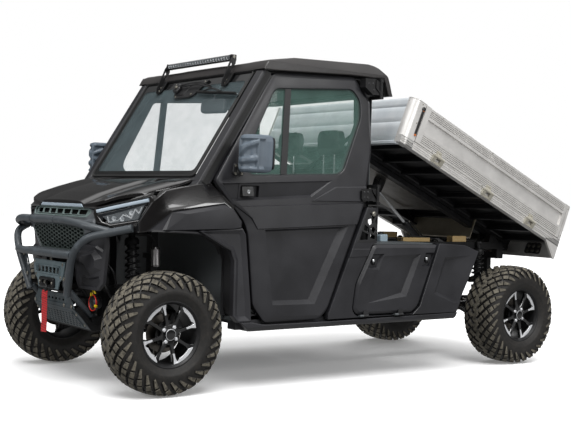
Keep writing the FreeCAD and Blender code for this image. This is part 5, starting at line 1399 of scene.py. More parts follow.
ribs = [on_bed(hat_rib(-0.195 + 0.19 * k)) for k in range(9)]
beams = []
for y in (0.290, -0.290):
    beams += [long_beam(y, 0.022, 0.118, -0.265, 1.393),
              prism(mm((-46, 30), (46, 30), (26, -26), (-26, -26)), y - 0.012, y + 0.012, "y"),
              prism(rect(-60, 24, 60, 30), y - 0.03, y + 0.03, "y")]
beams += [tube([(0, -0.406, 0), (0, 0.406, 0)], 18 * MM, 24),
          slab((0.935, -0.262, 0.080), (1.025, 0.262, 0.119))]
eye_lug = np.vstack([mm((950, 86)), [(0.980 + 0.022 * math.cos(t), -0.050 + 0.022 * math.sin(t))
                                     for t in np.linspace(math.pi, 2 * math.pi, 9)], mm((1010, 86))])
beams += [prism(eye_lug, y, y + 0.010, "y") for y in (0.116, 0.174)]
sheet_under = pressed(rect(470, -258, 1180, 258), flat(0.0), 2 * MM,
                      lambda a, b, h: np.stack([a, b, 0.020 - h], -1), rolled=1 * MM,
                      creases=[(rect(520, -60, 900, 60), 12 * MM, 4 * MM)])
guard = prism(mm((150, 119), (158, 119), (158, -50), (175, -58), (175, -60), (150, -60)), -0.330, 0.330, "y")
guard_screws = [bolt((0.150, y, 0.02), "x", -1, 6, 3) for y in (-0.26, -0.09, 0.09, 0.26)]
piece("bed_underframe", "bed", (rib_black, *ribs, *raised(beams)),
      (sheet_grey, on_bed(sheet_under)), (champagne, on_bed(guard)), (trim_black, *raised(guard_screws)),
      replaces=("bed_frame",), slot="cylinder_paint", sharp=24)

# rear plate with its two clusters of six round lamps
lamps, backs, bezels, plates = [], [], [], []
plates.append(on_bed(pressed(rect(-744, -10, 744, 121), flat(0.0), 3 * MM,
                             lambda a, b, h: np.stack([-0.271 + h, a, b], -1), rolled=1.5 * MM,
                             creases=[(rect(-430, 14, 430, 96), 8 * MM, 6 * MM)])))
plates.append(on_bed(slab((-0.285, -0.744, 0.108), (-0.270, 0.744, 0.121))))
for side in (1, -1):
    bezels.append(on_bed(prism(rounded(rect(484, 14, 628, 96), 20 * MM, 3), -0.282, -0.266, "x"), side))
    for k in range(6):
        y, w = 0.510 + 0.046 * (k % 3), 0.036 + 0.038 * (k // 3)
        for front, out in ((-0.266, 1), (-0.282, -1)):
            lamp = [(0, 0.0155), (0.003 * out, 0.0150), (0.0035 * out, 0.0125), (0.005 * out, 0.009),
                    (0.006 * out, 0.0)]
            (lamps if out < 0 else backs).append(
                on_bed(lathe(np.array(lamp) + (front, 0), (0, y, w), "x", 20), side))
piece("rear_plate_and_lamps", "bed", (bed_silver, *plates), (trim_black, *bezels), (lamp_red, *lamps),
      (zinc, *backs), slot="lamp", sharp=24)

# tailgate: the same extrusion as the drop sides, turned to the rear
GATE_OUT = -0.289
gate = [(-(y - BOARD_OUT) + GATE_OUT, w) for y, w in BOARD]
gate_shapes = [prism(gate, -0.700, 0.700, "y"), slab((-0.289, -0.732, 0.144), (-0.265, -0.699, 0.402)),
               slab((-0.289, 0.699, 0.144), (-0.265, 0.732, 0.402))]
gate_knuckles = []
for y in TAIL_HINGES:
    gate_knuckles.append(tube([(TAIL_U, y - KNUCKLE_HALF, AXIS_W), (TAIL_U, y + KNUCKLE_HALF, AXIS_W)],
                              9 * MM, 18))
    gate_knuckles.append(prism(mm((-284, 144), (-301, 133), (-308, 139), (-300, 150), (-294, 160),
                                  (-294, 176), (-288, 178)), y - KNUCKLE_HALF, y + KNUCKLE_HALF, "y"))
for y in (0.66, -0.66):
    gate_knuckles.append(prism(rounded(rect(-299, 330, -287, 380), 4 * MM, 2), y - 0.012, y + 0.012, "y"))
piece("tailgate_board", "tailgate", (bed_silver, *raised(gate_shapes)),
      (hinge_cream, *raised(gate_knuckles)), replaces=("tailgate",), slot="bed_aluminium", sharp=24)


# ---- bonnet ------------------------------------------------------------------------------------------

HOOD_ACROSS = np.array([0, .12, .24, .33, .375, .40, .44, .48, .56, .66, .74, .79, .83, .90, .95, .985, 1.0])
LIP_ROLL, HOOD_THICK = 8 * MM, 12 * MM
HOOD_RELIEF = np.array([13, 12.6, 11, 9, 7, 3, -7, -8, -5, 1, 6, 7.5, 6, 1, -4, -10, -17]) * MM


def bonnet():
    """Gloss bonnet. In plan it is ruled from the hinge edge to the lip. Its height falls 156 mm from the
    hinge to the lip along a gentle curve, plus the relief across it: a raised middle, a valley, a
    shoulder and a turned-down edge. The lip rolls over an 8 mm radius, drops 20 mm and returns 12 mm
    below the skin."""
    s = np.concatenate([-HOOD_ACROSS[:0:-1], HOOD_ACROSS])
    relief = np.concatenate([HOOD_RELIEF[:0:-1], HOOD_RELIEF])
    size = np.abs(s)
    lip = np.stack([np.interp(size, [0, .46, .72, 1], [1.731, 1.728, 1.706, 1.536]),
                    np.sign(s) * np.interp(size, [0, .46, .72, 1], [0, .298, .466, .632])], -1)
    rear = np.stack([np.full(len(s), 1.262), s * 0.652], -1)
    t = np.linspace(0, 1, 29)[:, None, None]
    plan = rear * (1 - t) + lip * t
    run = lip - rear
    run /= np.linalg.norm(run, axis=1)[:, None]
    depth = np.interp(plan[..., 0], [1.262, 1.36, 1.50, 1.62, 1.734], [1.199, 1.178, 1.137, 1.096, 1.045])
    share = np.clip(0.35 + 2.6 * t[..., 0] * (1.25 - t[..., 0]), 0.35, 1.0)
    top = np.concatenate([plan, (depth + relief * share)[..., None]], axis=-1)
    last = top[-1]
    turn = np.radians([25, 50, 75, 90])[:, None]
    roll = np.concatenate([last[None, :, :2] + run[None] * np.sin(turn)[..., None] * LIP_ROLL,
                           (last[None, :, 2] - (1 - np.cos(turn)) * LIP_ROLL)[..., None]], axis=-1)
    chin = roll[-1:] - (0, 0, 0.016)
    back = chin - np.concatenate([run * 0.016, np.zeros((len(s), 1))], axis=1)
    under = top[::-4].copy()
    under[:, :, 2] -= HOOD_THICK
    under[0, :, :2] -= run * 0.018
    rows = np.concatenate([top, roll, chin, back, under])
    points, faces = grid(rows, True, False)
    n = len(s)
    ends = [[k * n for k in range(len(rows))][::-1], [k * n + n - 1 for k in range(len(rows))]]
    return points, faces + ends


hinge_parts = []
for side in (1, -1):
    hinge_parts += [
        tube([(1.252, side * 0.39, 1.19), (1.252, side * 0.45, 1.19)], 7 * MM, 12),
        slab((1.252, side * 0.42 - 0.03, 1.184), (1.275, side * 0.42 + 0.03, 1.188)),
    ]
piece("hood_skin", "hood", (piano_black, bonnet()), (zinc, *hinge_parts), replaces=("hood",),
      slot="gloss_panel", sharp=26)


# ---- nose --------------------------------------------------------------------------------------------

grille_green = powder_coated("grey_green_coated_mesh", "39413F", "55605D", rough=0.4)
frame_green = powder_coated("pale_grey_green_frame", "6A7876", "8A9896", rough=0.36)
# painted shade: a near-black matt sheet that stands for the dark cavity behind the grille's openings and
# below the grille
recess_shade_black = moulded("painted_shade_recess_backing", "070708", "101011", rough=0.8)


NOSE_WAIST = 0.925


def nose_x(y, z):
    """Front of the nose: the plan curve of the bumper's moulding, leaning back 0.34 mm a mm above its waist
    and 0.1 mm a mm below."""
    plan = np.interp(np.abs(y), [0, 0.29, 0.43, 0.668], [1.776, 1.770, 1.738, 1.602])
    return plan - np.clip(z - NOSE_WAIST, 0, 1) * 0.34 - np.clip(NOSE_WAIST - z, 0, 1) * 0.10


def nose_face(sink):
    """Face that lies sink below the nose's front."""
    return lambda a, b: nose_x(a, b) - sink * MM


def front_face(a, b, h):
    """Places a front panel's flat (y, z) and its height x."""
    return np.stack([h, a, b], -1)


UPPER = mm((-430, 926), (-430, 1000), (-352, 1019), (352, 1019), (430, 1000), (430, 926), (408, 886),
           (352, 872), (236, 764), (-236, 764), (-352, 872), (-408, 886))
SLOT_HEX = rounded(mm((-372, 992), (-348, 1012), (348, 1012), (372, 992), (346, 969), (-346, 969)), 6 * MM,
                   2)
MESH_EDGE = rounded(mm((-326, 904), (326, 904), (334, 870), (222, 772), (-222, 772), (-334, 870)), 14 * MM,
                    3)
CHEEK = mm((240, 762), (352, 868), (412, 884), (436, 905), (478, 880), (478, 806), (444, 600), (402, 556),
           (226, 556), (192, 600), (186, 738))
CHEEK_V = mm((262, 748), (400, 786), (452, 742), (440, 676), (352, 640), (300, 690), (262, 700))
CHEEK_V_IN = mm((292, 736), (396, 762), (418, 728), (410, 690), (356, 668), (318, 706), (290, 714))
CHEEK_TOP = mm((318, 812), (410, 868), (458, 862), (464, 812), (456, 772), (404, 800))
CHEEK_LOW = mm((236, 640), (330, 622), (420, 640), (428, 604), (394, 572), (240, 572))


def hex_mesh(outline, wide, high, bar, deep, place):
    """Honeycomb of cells wide x high with walls of bar, deep along the face's normal, for every cell
    whose middle lies inside the outline. Each cell is a six-sided ring."""
    xs = np.arange(-20, 21) * wide * 0.75
    ys = np.arange(-20, 21) * high
    low, top = outline.min(axis=0), outline.max(axis=0)
    gx, gy = np.meshgrid(xs, ys, indexing="ij")
    gy = gy + (np.arange(-20, 21) % 2)[:, None] * high / 2
    centres = np.stack([gx.ravel(), gy.ravel()], -1) + (low + top) / 2
    centres = centres[inside(centres, inset(outline, -high * 0.1))]
    corner = np.array([(-.5, 0), (-.25, .5), (.25, .5), (.5, 0), (.25, -.5), (-.25, -.5)]) * (wide, high)
    hollow = inset(corner, bar / 2)
    rings = np.stack([centres[:, None] + corner, centres[:, None] + hollow], axis=1)
    a, b = rings[..., 0].ravel(), rings[..., 1].ravel()
    front = place(a, b, 0.0).reshape(len(centres), 2, 6, 3)
    back = place(a, b, -deep).reshape(len(centres), 2, 6, 3)
    loop = np.stack([front[:, 0], front[:, 1], back[:, 1], back[:, 0]], axis=1)
    index = np.arange(loop.shape[0] * 24).reshape(-1, 4, 6)
    index = np.concatenate([index, index[:, :1]], axis=1)
    index = np.concatenate([index, index[:, :, :1]], axis=2)
    quads = np.stack([index[:, :-1, :-1], index[:, :-1, 1:], index[:, 1:, 1:], index[:, 1:, :-1]], axis=-1)
    return loop.reshape(-1, 3), quads.reshape(-1, 4).tolist()


def on_nose(a, b, h):
    """Point on the nose's front, 8 mm in, moved by h along +X."""
    return np.stack([nose_x(a, b) - 8 * MM + h, a, b], -1)


upper_panel = pressed(UPPER, nose_face(0), 22 * MM, front_face, rolled=6 * MM, holes=[SLOT_HEX, MESH_EDGE],
                      creases=[
                          (inset(SLOT_HEX, -24 * MM), 13 * MM, -4 * MM),
                          (inset(MESH_EDGE, -13 * MM), 12 * MM, 7 * MM),
                          (mm((-424, 934), (-424, 962), (-350, 950), (350, 950), (424, 962), (424, 934),
                              (350, 925), (-350, 925)), 9 * MM, -5 * MM)])
cheek = pressed(CHEEK, nose_face(16), 20 * MM, front_face, rolled=3 * MM, creases=[
    (CHEEK_V, CHEEK_V_IN, -20 * MM), (CHEEK_TOP, 9 * MM, 14 * MM), (CHEEK_LOW, 9 * MM, 16 * MM)])
ring_line = inset(SLOT_HEX, -4 * MM)
slot_edges = np.linspace(-0.330, 0.330, 8)
slots = [rounded(np.array([(a + .007, .977), (b - .007, .977), (b - .004 + .003 * np.sign(a + b), 1.004),
                           (a + .004, 1.004)]), 5 * MM, 2) for a, b in zip(slot_edges, slot_edges[1:])]
slot_plate = pressed(inset(SLOT_HEX, -1 * MM), nose_face(7), 8 * MM, front_face, rolled=2 * MM, holes=slots)
mesh = hex_mesh(MESH_EDGE, 46 * MM, 22 * MM, 6.5 * MM, 14 * MM, on_nose)
# painted shade: near-black sheets behind the grille's openings and below the grille, where the cavity lies in
# shade
recess = [
    pressed(mm((-420, 1010), (420, 1010), (420, 880), (240, 764), (-240, 764), (-420, 880)), nose_face(34),
            6 * MM, front_face, rolled=2 * MM),
    pressed(rect(-250, 764, 250, 548), flat(1.672), 6 * MM, front_face, rolled=2 * MM),
]
mesh_rim = inset(MESH_EDGE, 1 * MM)
rim_line = on_nose(mesh_rim[:, 0], mesh_rim[:, 1], 1 * MM)
garnish = np.array([(-0.285, 1.021), (-0.262, 1.037), (0.262, 1.037), (0.285, 1.021), (0.26, 1.0195),
                    (-0.26, 1.0195)])
piece("nose_moulding", "chassis", (nose_grey, upper_panel), (flare_grey, *two_sided([cheek])),
      (recess_shade_black, *recess), replaces=("front_fascia",), slot="grey_moulding", sharp=13)
slot_rim = np.stack([nose_x(ring_line[:, 0], ring_line[:, 1]) + 1 * MM, *ring_line.T], -1)
piece("nose_slot_grille", "chassis", (frame_green, slot_plate, tube(slot_rim, 5.5 * MM, 8, closed=True)),
      slot="grey_moulding", sharp=26)
piece("honeycomb_grille", "chassis", (grille_green, mesh, tube(rim_line, 4 * MM, 8, closed=True)),
      replaces=("grille",), slot="grey_moulding", sharp=30)
piece("nose_light_guide", "chassis", (guide_white, prism(garnish, 1.722, 1.7395, "x")), slot="lamp",
      bevel=2 * MM)


# ---- headlamps ---------------------------------------------------------------------------------------

LAMP_IN = Vector((1.738, 0.432, 0))
LAMP_OUT = Vector((1.545, 0.688, 0))
on_lamp = facing(LAMP_IN, LAMP_OUT - LAMP_IN, (0, 0, 1))
LAMP_NORMAL = tuple((LAMP_OUT - LAMP_IN).cross((0, 0, 1)).normalized())


def lamp_line(pairs, h):
    """Points on the lamp's front, given as how far along it and how high in mm, at a height h above it in
    mm."""
    pairs = mm(*pairs)
    return on_lamp(pairs[:, 0], pairs[:, 1], np.full(len(pairs), h * MM))


LAMP_EDGE = mm((-10, 986), (-6, 1018), (150, 1056), (338, 1099), (352, 1066), (294, 948), (262, 934),
               (92, 914), (24, 902), (10, 930))
LAMP_OPEN = mm((12, 984), (8, 1012), (160, 1050), (326, 1085), (316, 1050), (264, 961), (96, 930), (44, 944))
LAMP_LENS = mm((48, 972), (164, 1003), (296, 1044), (258, 965), (97, 933))
lamp_frame = pressed(LAMP_EDGE, flat(-2 * MM), 46 * MM, on_lamp, rolled=5 * MM, holes=[LAMP_OPEN])
lamp_floor = pressed(inset(LAMP_OPEN, -3 * MM), flat(-34 * MM), 6 * MM, on_lamp, rolled=1 * MM)
lens = pressed(LAMP_LENS, flat(-4 * MM), 2.4 * MM, on_lamp, rolled=1 * MM)
divider = pressed(mm((12, 984), (40, 990), (170, 1020), (314, 1062), (306, 1046), (164, 1003), (48, 972),
                     (44, 946)),
                  flat(-7 * MM), 12 * MM, on_lamp, rolled=1.5 * MM)
light_tube = carried(bent(lamp_line([(12, 999), (100, 1021), (180, 1039), (320, 1071)], -3), 30 * MM),
                     rounded(mm((-11, -8), (11, -8), (9, 7), (-9, 7)), 5 * MM, 3), up=LAMP_NORMAL)
zigzag = []
for line in ([(69, 974), (78, 938), (84, 940), (75, 976)], [(82, 940), (130, 950), (128, 955), (82, 945)],
             [(128, 948), (157, 980), (163, 978), (134, 950)],
             [(158, 982), (190, 976), (190, 982), (160, 987)],
             [(186, 978), (212, 966), (214, 972), (190, 984)],
             [(210, 966), (233, 1018), (239, 1015), (216, 966)],
             [(233, 1018), (257, 994), (262, 998), (238, 1022)],
             [(256, 996), (274, 1034), (279, 1031), (262, 996)]):
    zigzag.append(pressed(mm(*line), flat(-12 * MM), 14 * MM, on_lamp, rolled=0.4 * MM))
cup = lathe([(-22 * MM, 3 * MM), (-20 * MM, 6 * MM), (-12 * MM, 11 * MM), (-11 * MM, 13 * MM),
             (-14 * MM, 13 * MM), (-24 * MM, 6 * MM), (-24 * MM, 3 * MM)], ORIGIN, "x", 18)
lean = Matrix.Rotation(math.atan2(LAMP_NORMAL[1], LAMP_NORMAL[0]), 4, "Z")
cup_parts = [placed(cup, Matrix.Translation(LAMP_IN + (LAMP_OUT - LAMP_IN).normalized() * a * MM
                                            + Vector((0, 0, z * MM))) @ lean)
             for a, z in ((112, 964), (160, 963), (214, 998))]
brow = ribbon([(1.742, 0.300, 1.019), (1.742, 0.428, 1.016), (1.648, 0.552, 1.055), (1.536, 0.702, 1.100)],
              [(1.722, 0.300, 1.034), (1.712, 0.400, 1.033), (1.620, 0.545, 1.068), (1.500, 0.668, 1.116)],
              5 * MM)
chin_line = ribbon([(1.734, 0.438, 0.908), (1.645, 0.556, 0.924), (1.562, 0.672, 0.950)],
                   [(1.726, 0.430, 0.880), (1.640, 0.562, 0.888), (1.566, 0.688, 0.898)], 6 * MM)
for side, name in SIDES:
    piece(f"headlamp_{name}", "chassis",
          (piano_black, *sided([lamp_frame, brow, chin_line], side)),
          (lamp_dark, on_side(lamp_floor, side), on_side(divider, side)),
          (chrome, *sided(zigzag + cup_parts, side)), (guide_white, on_side(light_tube, side)),
          (lens_clear, on_side(lens, side)), replaces=("headlamps",), slot="lamp", sharp=28)


# ---- bumper ------------------------------------------------------------------------------------------

HOOP = mm((1700, 560, 890), (1800, 478, 918), (1846, 330, 942), (1846, -330, 942), (1800, -478, 918),
          (1700, -560, 890))
LEG_BAR = mm((1622, 655, 915), (1806, 470, 858), (1838, 366, 760), (1802, 250, 520))
LOWER = mm((1838, -362, 752), (1862, -240, 752), (1862, 240, 752), (1838, 362, 752))
STEP = mm((1752, -300), (1860, -238), (1860, 238), (1752, 300))


def open_end(start, toward, radius):
    """Rim of an open tube's end: a short sleeve with a hollow 30 mm deep."""
    start, toward = Vector(start), Vector(toward)
    ring_profile = [(0.004, radius), (0, radius - 1 * MM), (0, radius - 3 * MM), (0.03, radius - 3 * MM),
                    (0.03, 0)]
    return placed(lathe(ring_profile, ORIGIN, "x", 24), aimed(start, (toward - start).normalized()))


hoop_line = bent(HOOP, 85 * MM, 8)
leg_line = bent(LEG_BAR, 75 * MM, 8)
collars = [tube([(1.846, y - 0.008, 0.942), (1.846, y + 0.008, 0.942)], 23.5 * MM, 24)
           for y in (-0.16, 0.16)]
slots = [rounded(rect(y - 38, 1800, y + 38, 1818), 8 * MM, 3)
         for y in (-170, -60, 60, 170)]
step_plate = pressed(STEP[:, ::-1], flat(0.772), 5 * MM, lambda a, b, h: np.stack([b, a, h], -1),
                     rolled=3 * MM, holes=slots)
gusset = mm((300, 748), (346, 752), (292, 620), (226, 560), (222, 600), (262, 690))
gusset = pressed(gusset, flat(1.818), 6 * MM, front_face, rolled=1.5 * MM,
                 holes=[rounded(mm((276, 700), (296, 704), (272, 650), (262, 660)), 6 * MM, 2)])
stay = tube(bent(mm((1790, 250, 545), (1730, 258, 480), (1655, 262, 400)), 40 * MM), 18 * MM, 16)
foot = slab((1.640, 0.236, 0.352), (1.658, 0.284, 0.414))
bumper_bolts = [bolt((1.8245, y, z), "x", 1, 9, 7) for y, z in ((0.312, 0.726), (0.252, 0.612))]
half_bumper = [tube(leg_line, 22 * MM, 24), stay, foot, gusset,
               open_end(LEG_BAR[0] + (0.006, -0.006, -0.001), LEG_BAR[1], 22.4 * MM)]
both_sides = two_sided(half_bumper)
piece("tube_bumper", "chassis",
      (bumper_grey, tube(hoop_line, 21 * MM, 24), tube(bent(LOWER, 50 * MM), 22 * MM, 24), *collars,
       step_plate, *both_sides), (zinc, *two_sided(bumper_bolts)),
      replaces=("front_bumper",), slot="bumper_paint", sharp=35)


# ---- winch -------------------------------------------------------------------------------------------

WINCH_X, WINCH_Z = 1.735, 0.600
PLATE = mm((-214, 704), (214, 704), (204, 650), (186, 606), (150, 588), (132, 542), (-132, 542), (-150, 588),
           (-186, 606), (-204, 650))
FRAME = rounded(mm((-166, 678), (166, 678), (160, 622), (-160, 622)), 5 * MM, 2)
slot_at = np.linspace(-0.128, 0.128, 6)
frame_slots = [rounded(np.array([(y - .018, .633), (y + .018, .633), (y + .018, .667), (y - .018, .667)]),
                       4 * MM, 2)
               for y in slot_at]
mouth = rounded(rect(-84, 600, 84, 551), 16 * MM, 4)
plate = pressed(PLATE, flat(1.806), 7 * MM, front_face, rolled=3 * MM, holes=[*frame_slots, mouth], creases=[
    (FRAME, 3 * MM, -5 * MM), (inset(FRAME, 12 * MM), 2 * MM, 5 * MM)])
fairlead = pressed(rounded(rect(-100, 606, 100, 546), 18 * MM, 4), flat(1.820), 14 * MM,
                   front_face, rolled=6 * MM,
                   holes=[rounded(rect(-62, 588, 62, 564), 11 * MM, 4)])
drum_profile = [(-.186, .020), (-.186, .046), (-.180, .056), (-.120, .058), (-.114, .050), (-.108, .058),
                (-.102, .050), (-.096, .058), (-.078, .058), (-.076, .034), (.076, .034), (.078, .058),
                (.096, .058), (.102, .050), (.108, .058), (.114, .050), (.120, .058), (.180, .056),
                (.186, .046), (.186, .020)]
rope_turns = np.arange(-0.070, 0.071, 0.0035)
rope_profile = np.stack([rope_turns, 0.042 + 0.0022 * (np.arange(len(rope_turns)) % 2)], -1)
drum = lathe(drum_profile, (WINCH_X, 0, WINCH_Z), "y", 40)
rope = lathe(rope_profile, (WINCH_X, 0, WINCH_Z), "y", 32)
tray = [slab((1.672, -0.186, 0.527), (1.776, 0.186, 0.533)),
        slab((1.776, -0.15, 0.533), (1.800, 0.15, 0.539))]
tie_rods = [tube([(x, -0.178, z), (x, 0.178, z)], 5 * MM, 10) for x, z in ((1.780, 0.640), (1.690, 0.556))]
hook_line = bent(mm((1829, 24, 586), (1829, 24, 566), (1831, 34, 556), (1832, 38, 540), (1831, 24, 526),
                    (1831, 8, 534), (1831, 6, 548)), 12 * MM, 4)
hook_size = np.interp(np.linspace(0, 1, len(hook_line)), [0, .2, .5, .8, 1], [7, 6, 7.5, 6.5, 3]) * MM
hook = [tube(hook_line, hook_size, 14), slab((1.822, 0.014, 0.574), (1.834, 0.034, 0.592))]
thimble = lathe([(-0.006, 0.006), (-0.006, 0.011), (0.006, 0.011), (0.006, 0.006), (-0.006, 0.006)],
                (1.830, 0.024, 0.580), "y", 18)
winch_bolts = [bolt((1.8062, y, z), "x", 1, 7, 5)
               for y, z in ((-.190, .688), (.190, .688), (-.168, .614), (.168, .614))]
winch_bolts += [bolt((1.8202, s * 0.083, 0.576), "x", 1, 7, 6) for s in (1, -1)]
piece("winch_plate_and_drum", "chassis", (winch_green, plate), (frame_black, drum, *tray, fairlead),
      (sheet_grey, rope), (zinc, *tie_rods, *winch_bolts, thimble), (spring_black, *hook),
      replaces=("winch",), slot="winch_metal", sharp=32)


# ---- skid plate, and the horn beside it --------------------------------------------------------------

SKID_SLOPE = mm((-288, 2), (288, 2), (288, 96), (262, 158), (-262, 158), (-288, 96))
on_slope = facing((1.668, 0, 0.322), (0, 1, 0), (0.643, 0, 0.766))


def diamond(y, b, wide, high):
    """Diamond-shaped hole with blunt points."""
    return rounded(mm((y - wide, b), (y, b + high), (y + wide, b), (y, b - high)), 3 * MM, 2)


diamonds = [diamond(y + (row % 2) * 20, 28 + row * 19, 13, 7) for row in range(6)
            for y in range(-200, 201, 40)]
slope = pressed(SKID_SLOPE, flat(0), 5 * MM, on_slope, rolled=2.5 * MM, holes=diamonds,
                creases=[(mm((-246, 12), (246, 12), (236, 146), (-236, 146)), 8 * MM, -6 * MM)])
upright = pressed(mm((-276, 446), (276, 446), (216, 521), (-216, 521)), flat(1.769), 5 * MM, front_face,
                  rolled=2.5 * MM,
                  creases=[(mm((-190, 462), (190, 462), (166, 508), (-166, 508)), 6 * MM, 5 * MM)],
                  holes=[diamond(y, 484, 14, 8) for y in range(-120, 121, 48)])
belly_slots = [rounded(rect(y - 42, x, y + 42, x + 26), 12 * MM, 3)
               for x in range(980, 1600, 120) for y in (-150, 0, 150)]
belly = pressed(rect(-288, 902, 288, 1666), flat(-0.3165), 6 * MM,
                lambda a, b, h: np.stack([b, a, -h], -1), rolled=3 * MM, holes=belly_slots)
side_lips = [ribbon([(0.905, s * 0.289, 0.320), (1.664, s * 0.289, 0.320), (1.766, s * 0.285, 0.446)],
                    [(0.905, s * 0.289, 0.344), (1.650, s * 0.289, 0.350), (1.742, s * 0.287, 0.460)],
                    4 * MM)
             for s in (1, -1)]
skid_bolts = [bolt((1.7718, y, 0.456), "x", 1, 8, 4) for y in (-.246, -.150, .150, .246)]
skid_bolts += [bolt((1.669 + 0.643 * b, y, 0.321 + 0.766 * b), "x", 1, 7, 5)
               for y, b in ((-.268, .040), (.268, .040), (-.262, .120), (.262, .120))]
piece("skid_plate_folded", "chassis", (skid_paint, slope, upright), (frame_black, belly, *side_lips),
      (zinc, *skid_bolts), replaces=("skid_plate",), slot="black_frame_paint", sharp=32)

HORN = (1.668, 0.318, 0.482)
horn_profile = [(-.034, .010), (-.034, .034), (-.012, .040), (-.010, .044), (.004, .045), (.008, .042),
                (.004, .036), (.000, .030), (.004, .026), (.010, .020), (.012, .012), (.010, .004),
                (.010, 0)]
horn = lathe(horn_profile, HORN, "x", 40)
horn_ring = lathe([(.004, .046), (.010, .0475), (.012, .045), (.009, .0425), (.004, .044)], HORN, "x", 40)
horn_stay = slab((1.630, 0.262, 0.476), (1.638, 0.322, 0.492))
clips = [placed(slab((-.006, -.009, -.006), (.006, .009, .006)),
                Matrix.Translation((1.680, 0.318 + 0.048 * math.cos(a), 0.482 + 0.048 * math.sin(a)))
                @ Matrix.Rotation(a, 4, "X")) for a in (-0.3, 1.75)]
clips += [tube(bent(mm((1668, 300, 548), (1674, 316, 560), (1678, 336, 548), (1674, 346, 536)), 12 * MM),
               5 * MM, 10)]
strip = carried(bent(mm((1664, 396, 612), (1660, 402, 700), (1650, 410, 812)), 60 * MM),
                rect(-13, -3, 13, 3), up=(1, 0, 0))
hoses = [tube(bent(mm((1640, 300, 640), (1600, 330, 560), (1560, 330, 500), (1500, 320, 470)), 60 * MM),
              9 * MM, 12),
         tube(bent(mm((1650, 220, 700), (1610, 300, 720), (1560, 340, 660), (1520, 300, 560)), 60 * MM),
              7 * MM, 12)]
piece("horn_and_nose_fittings", "chassis", (trim_black, horn, horn_stay, *hoses), (red_cap, horn_ring),
      (yellow, *clips), (sheet_grey, strip), slot="black_moulding", sharp=32)


# ---- roof --------------------------------------------------------------------------------------------

ROOF_X = np.array([842, 838, 828, 814, 790, 740, 640, 600, 420, 200, 60, 20, 0, -25, -45, -60, -80, -100,
                   -112, -126, -140, -150]) * MM
ROOF_TOP = np.interp(ROOF_X[::-1], np.array([-150, -130, -112, -98, -60, -30, 20, 300, 600, 790, 812, 830,
                                             842]) * MM,
                     np.array([1772, 1842, 1890, 1912, 1944, 1956, 1964, 1954, 1942, 1910, 1902, 1878,
                               1852]) * MM)[::-1]
ROOF_FOOT = np.interp(ROOF_X[::-1], np.array([-150, -118, -84, -44, 0, 143, 762, 842]) * MM,
                      np.array([1771, 1771, 1878, 1880, 1873, 1878, 1848, 1848]) * MM)[::-1]
ROOF_CEILING = np.interp(ROOF_X[::-1], np.array([-150, -118, -84, -44, 796, 808, 842]) * MM,
                         np.array([1771, 1771, 1879, 1900, 1874, 1851, 1849]) * MM)[::-1]


def roof_shell():
    """Roof moulding: cross-sections at stations along the car. Each runs from the crown down a step of up
    to 7 mm into a sunk field, up to a rounded rail, down a chamfer of 100 mm in 60, a short upright side
    and the lip, then back under the ceiling. The top, foot and ceiling heights are the side view's three
    lines."""
    rows = []
    for x, top, foot, ceiling in zip(ROOF_X, ROOF_TOP, ROOF_FOOT, ROOF_CEILING):
        edge = 0.742 - max(0.0, top - 1.900) * 0.6
        shoulder = min(top - 0.001, 1.900)
        sunk = 7 * MM * min(1.0, max(0.0, (top - 1.90) / 0.03))
        half = [(0.0, top), (0.20, top - 0.1 * sunk), (0.27, top - sunk), (0.50, top - sunk),
                (0.57, top - 0.2 * sunk), (edge - 0.020, top - 0.5 * MM), (edge - 0.006, top - 2.5 * MM),
                (edge + 0.003, top - 9 * MM), (0.740, shoulder + 1 * MM), (0.742, shoulder - 3 * MM),
                (0.742, foot + 5 * MM), (0.739, foot), (0.702, foot), (0.697, foot + 4 * MM),
                (0.697, max(ceiling, foot + 5 * MM)), (0.40, ceiling), (0.0, ceiling)]
        half = np.array(half)
        half[:, 1] = np.maximum(half[:, 1], np.where(np.arange(17) < 12, foot, 0))
        mirrored = half[-2:0:-1] * (-1, 1)
        loop = np.vstack([half, mirrored])
        rows.append(np.c_[np.full(len(loop), x), loop])
    return capped(np.array(rows))


roof_seam = [tube(bent([(0.80, s * 0.704, 1.874), (0.30, s * 0.7, 1.896), (-0.03, s * 0.7, 1.893)], 0.1),
                  5 * MM, 8)
             for s in (1, -1)]
piece("roof_moulding", "chassis", (roof_black, roof_shell()), (rubber, *roof_seam), replaces=("roof",),
      slot="roof_moulding", sharp=24)


# ---- light bar on the roof ---------------------------------------------------------------------------

BAR_X, BAR_Z = 0.819, 1.948
bar_case = rounded(mm((-18, -17), (16, -17), (18, -12), (18, 13), (12, 17), (-18, 17)), 3 * MM, 2)
bar_body = placed(carried([(0, -0.378, 0), (0, 0.378, 0)], bar_case, up=(0, 0, 1)),
                  Matrix.Translation((BAR_X, 0, BAR_Z)))
fins = [slab((0.8005, -0.372, BAR_Z + z), (0.806, 0.372, BAR_Z + z + 0.002))
        for z in (-.012, -.006, 0, .006, .012)]
cell = lathe([(-.006, .003), (-.004, .006), (.0005, .012), (.0015, .0135), (-.002, .0135), (-.007, .006),
              (-.007, .003)], ORIGIN, "x", 14)
cells = [placed(cell, Matrix.Translation((0.8368, y, BAR_Z))) for y in np.linspace(-0.345, 0.345, 24)]
caps = [slab((0.8005, s * 0.378 - 0.006, BAR_Z - 0.0175), (0.8375, s * 0.378 + 0.006, BAR_Z + 0.0175))
        for s in (1, -1)]
bar_lens = slab((0.8375, -0.366, BAR_Z - 0.013), (0.8392, 0.366, BAR_Z + 0.013))
BRACKET = mm((806, 1964), (842, 1944), (905, 1797), (903, 1765), (890, 1765), (848, 1834), (848, 1868),
             (812, 1910))
webs = [pressed(rounded(BRACKET, 8 * MM, 2), flat(0.3955), 9 * MM, side_face, rolled=1.5 * MM,
                holes=[rounded(mm((842, 1918), (858, 1884), (852, 1870), (834, 1906)), 5 * MM, 2)])]
SCREEN_UP = Vector((-0.389, 0, 0.619)).normalized()
SCREEN_OUT = Vector((SCREEN_UP.z, 0, -SCREEN_UP.x))
SCREEN_FOOT_Z = 1.212
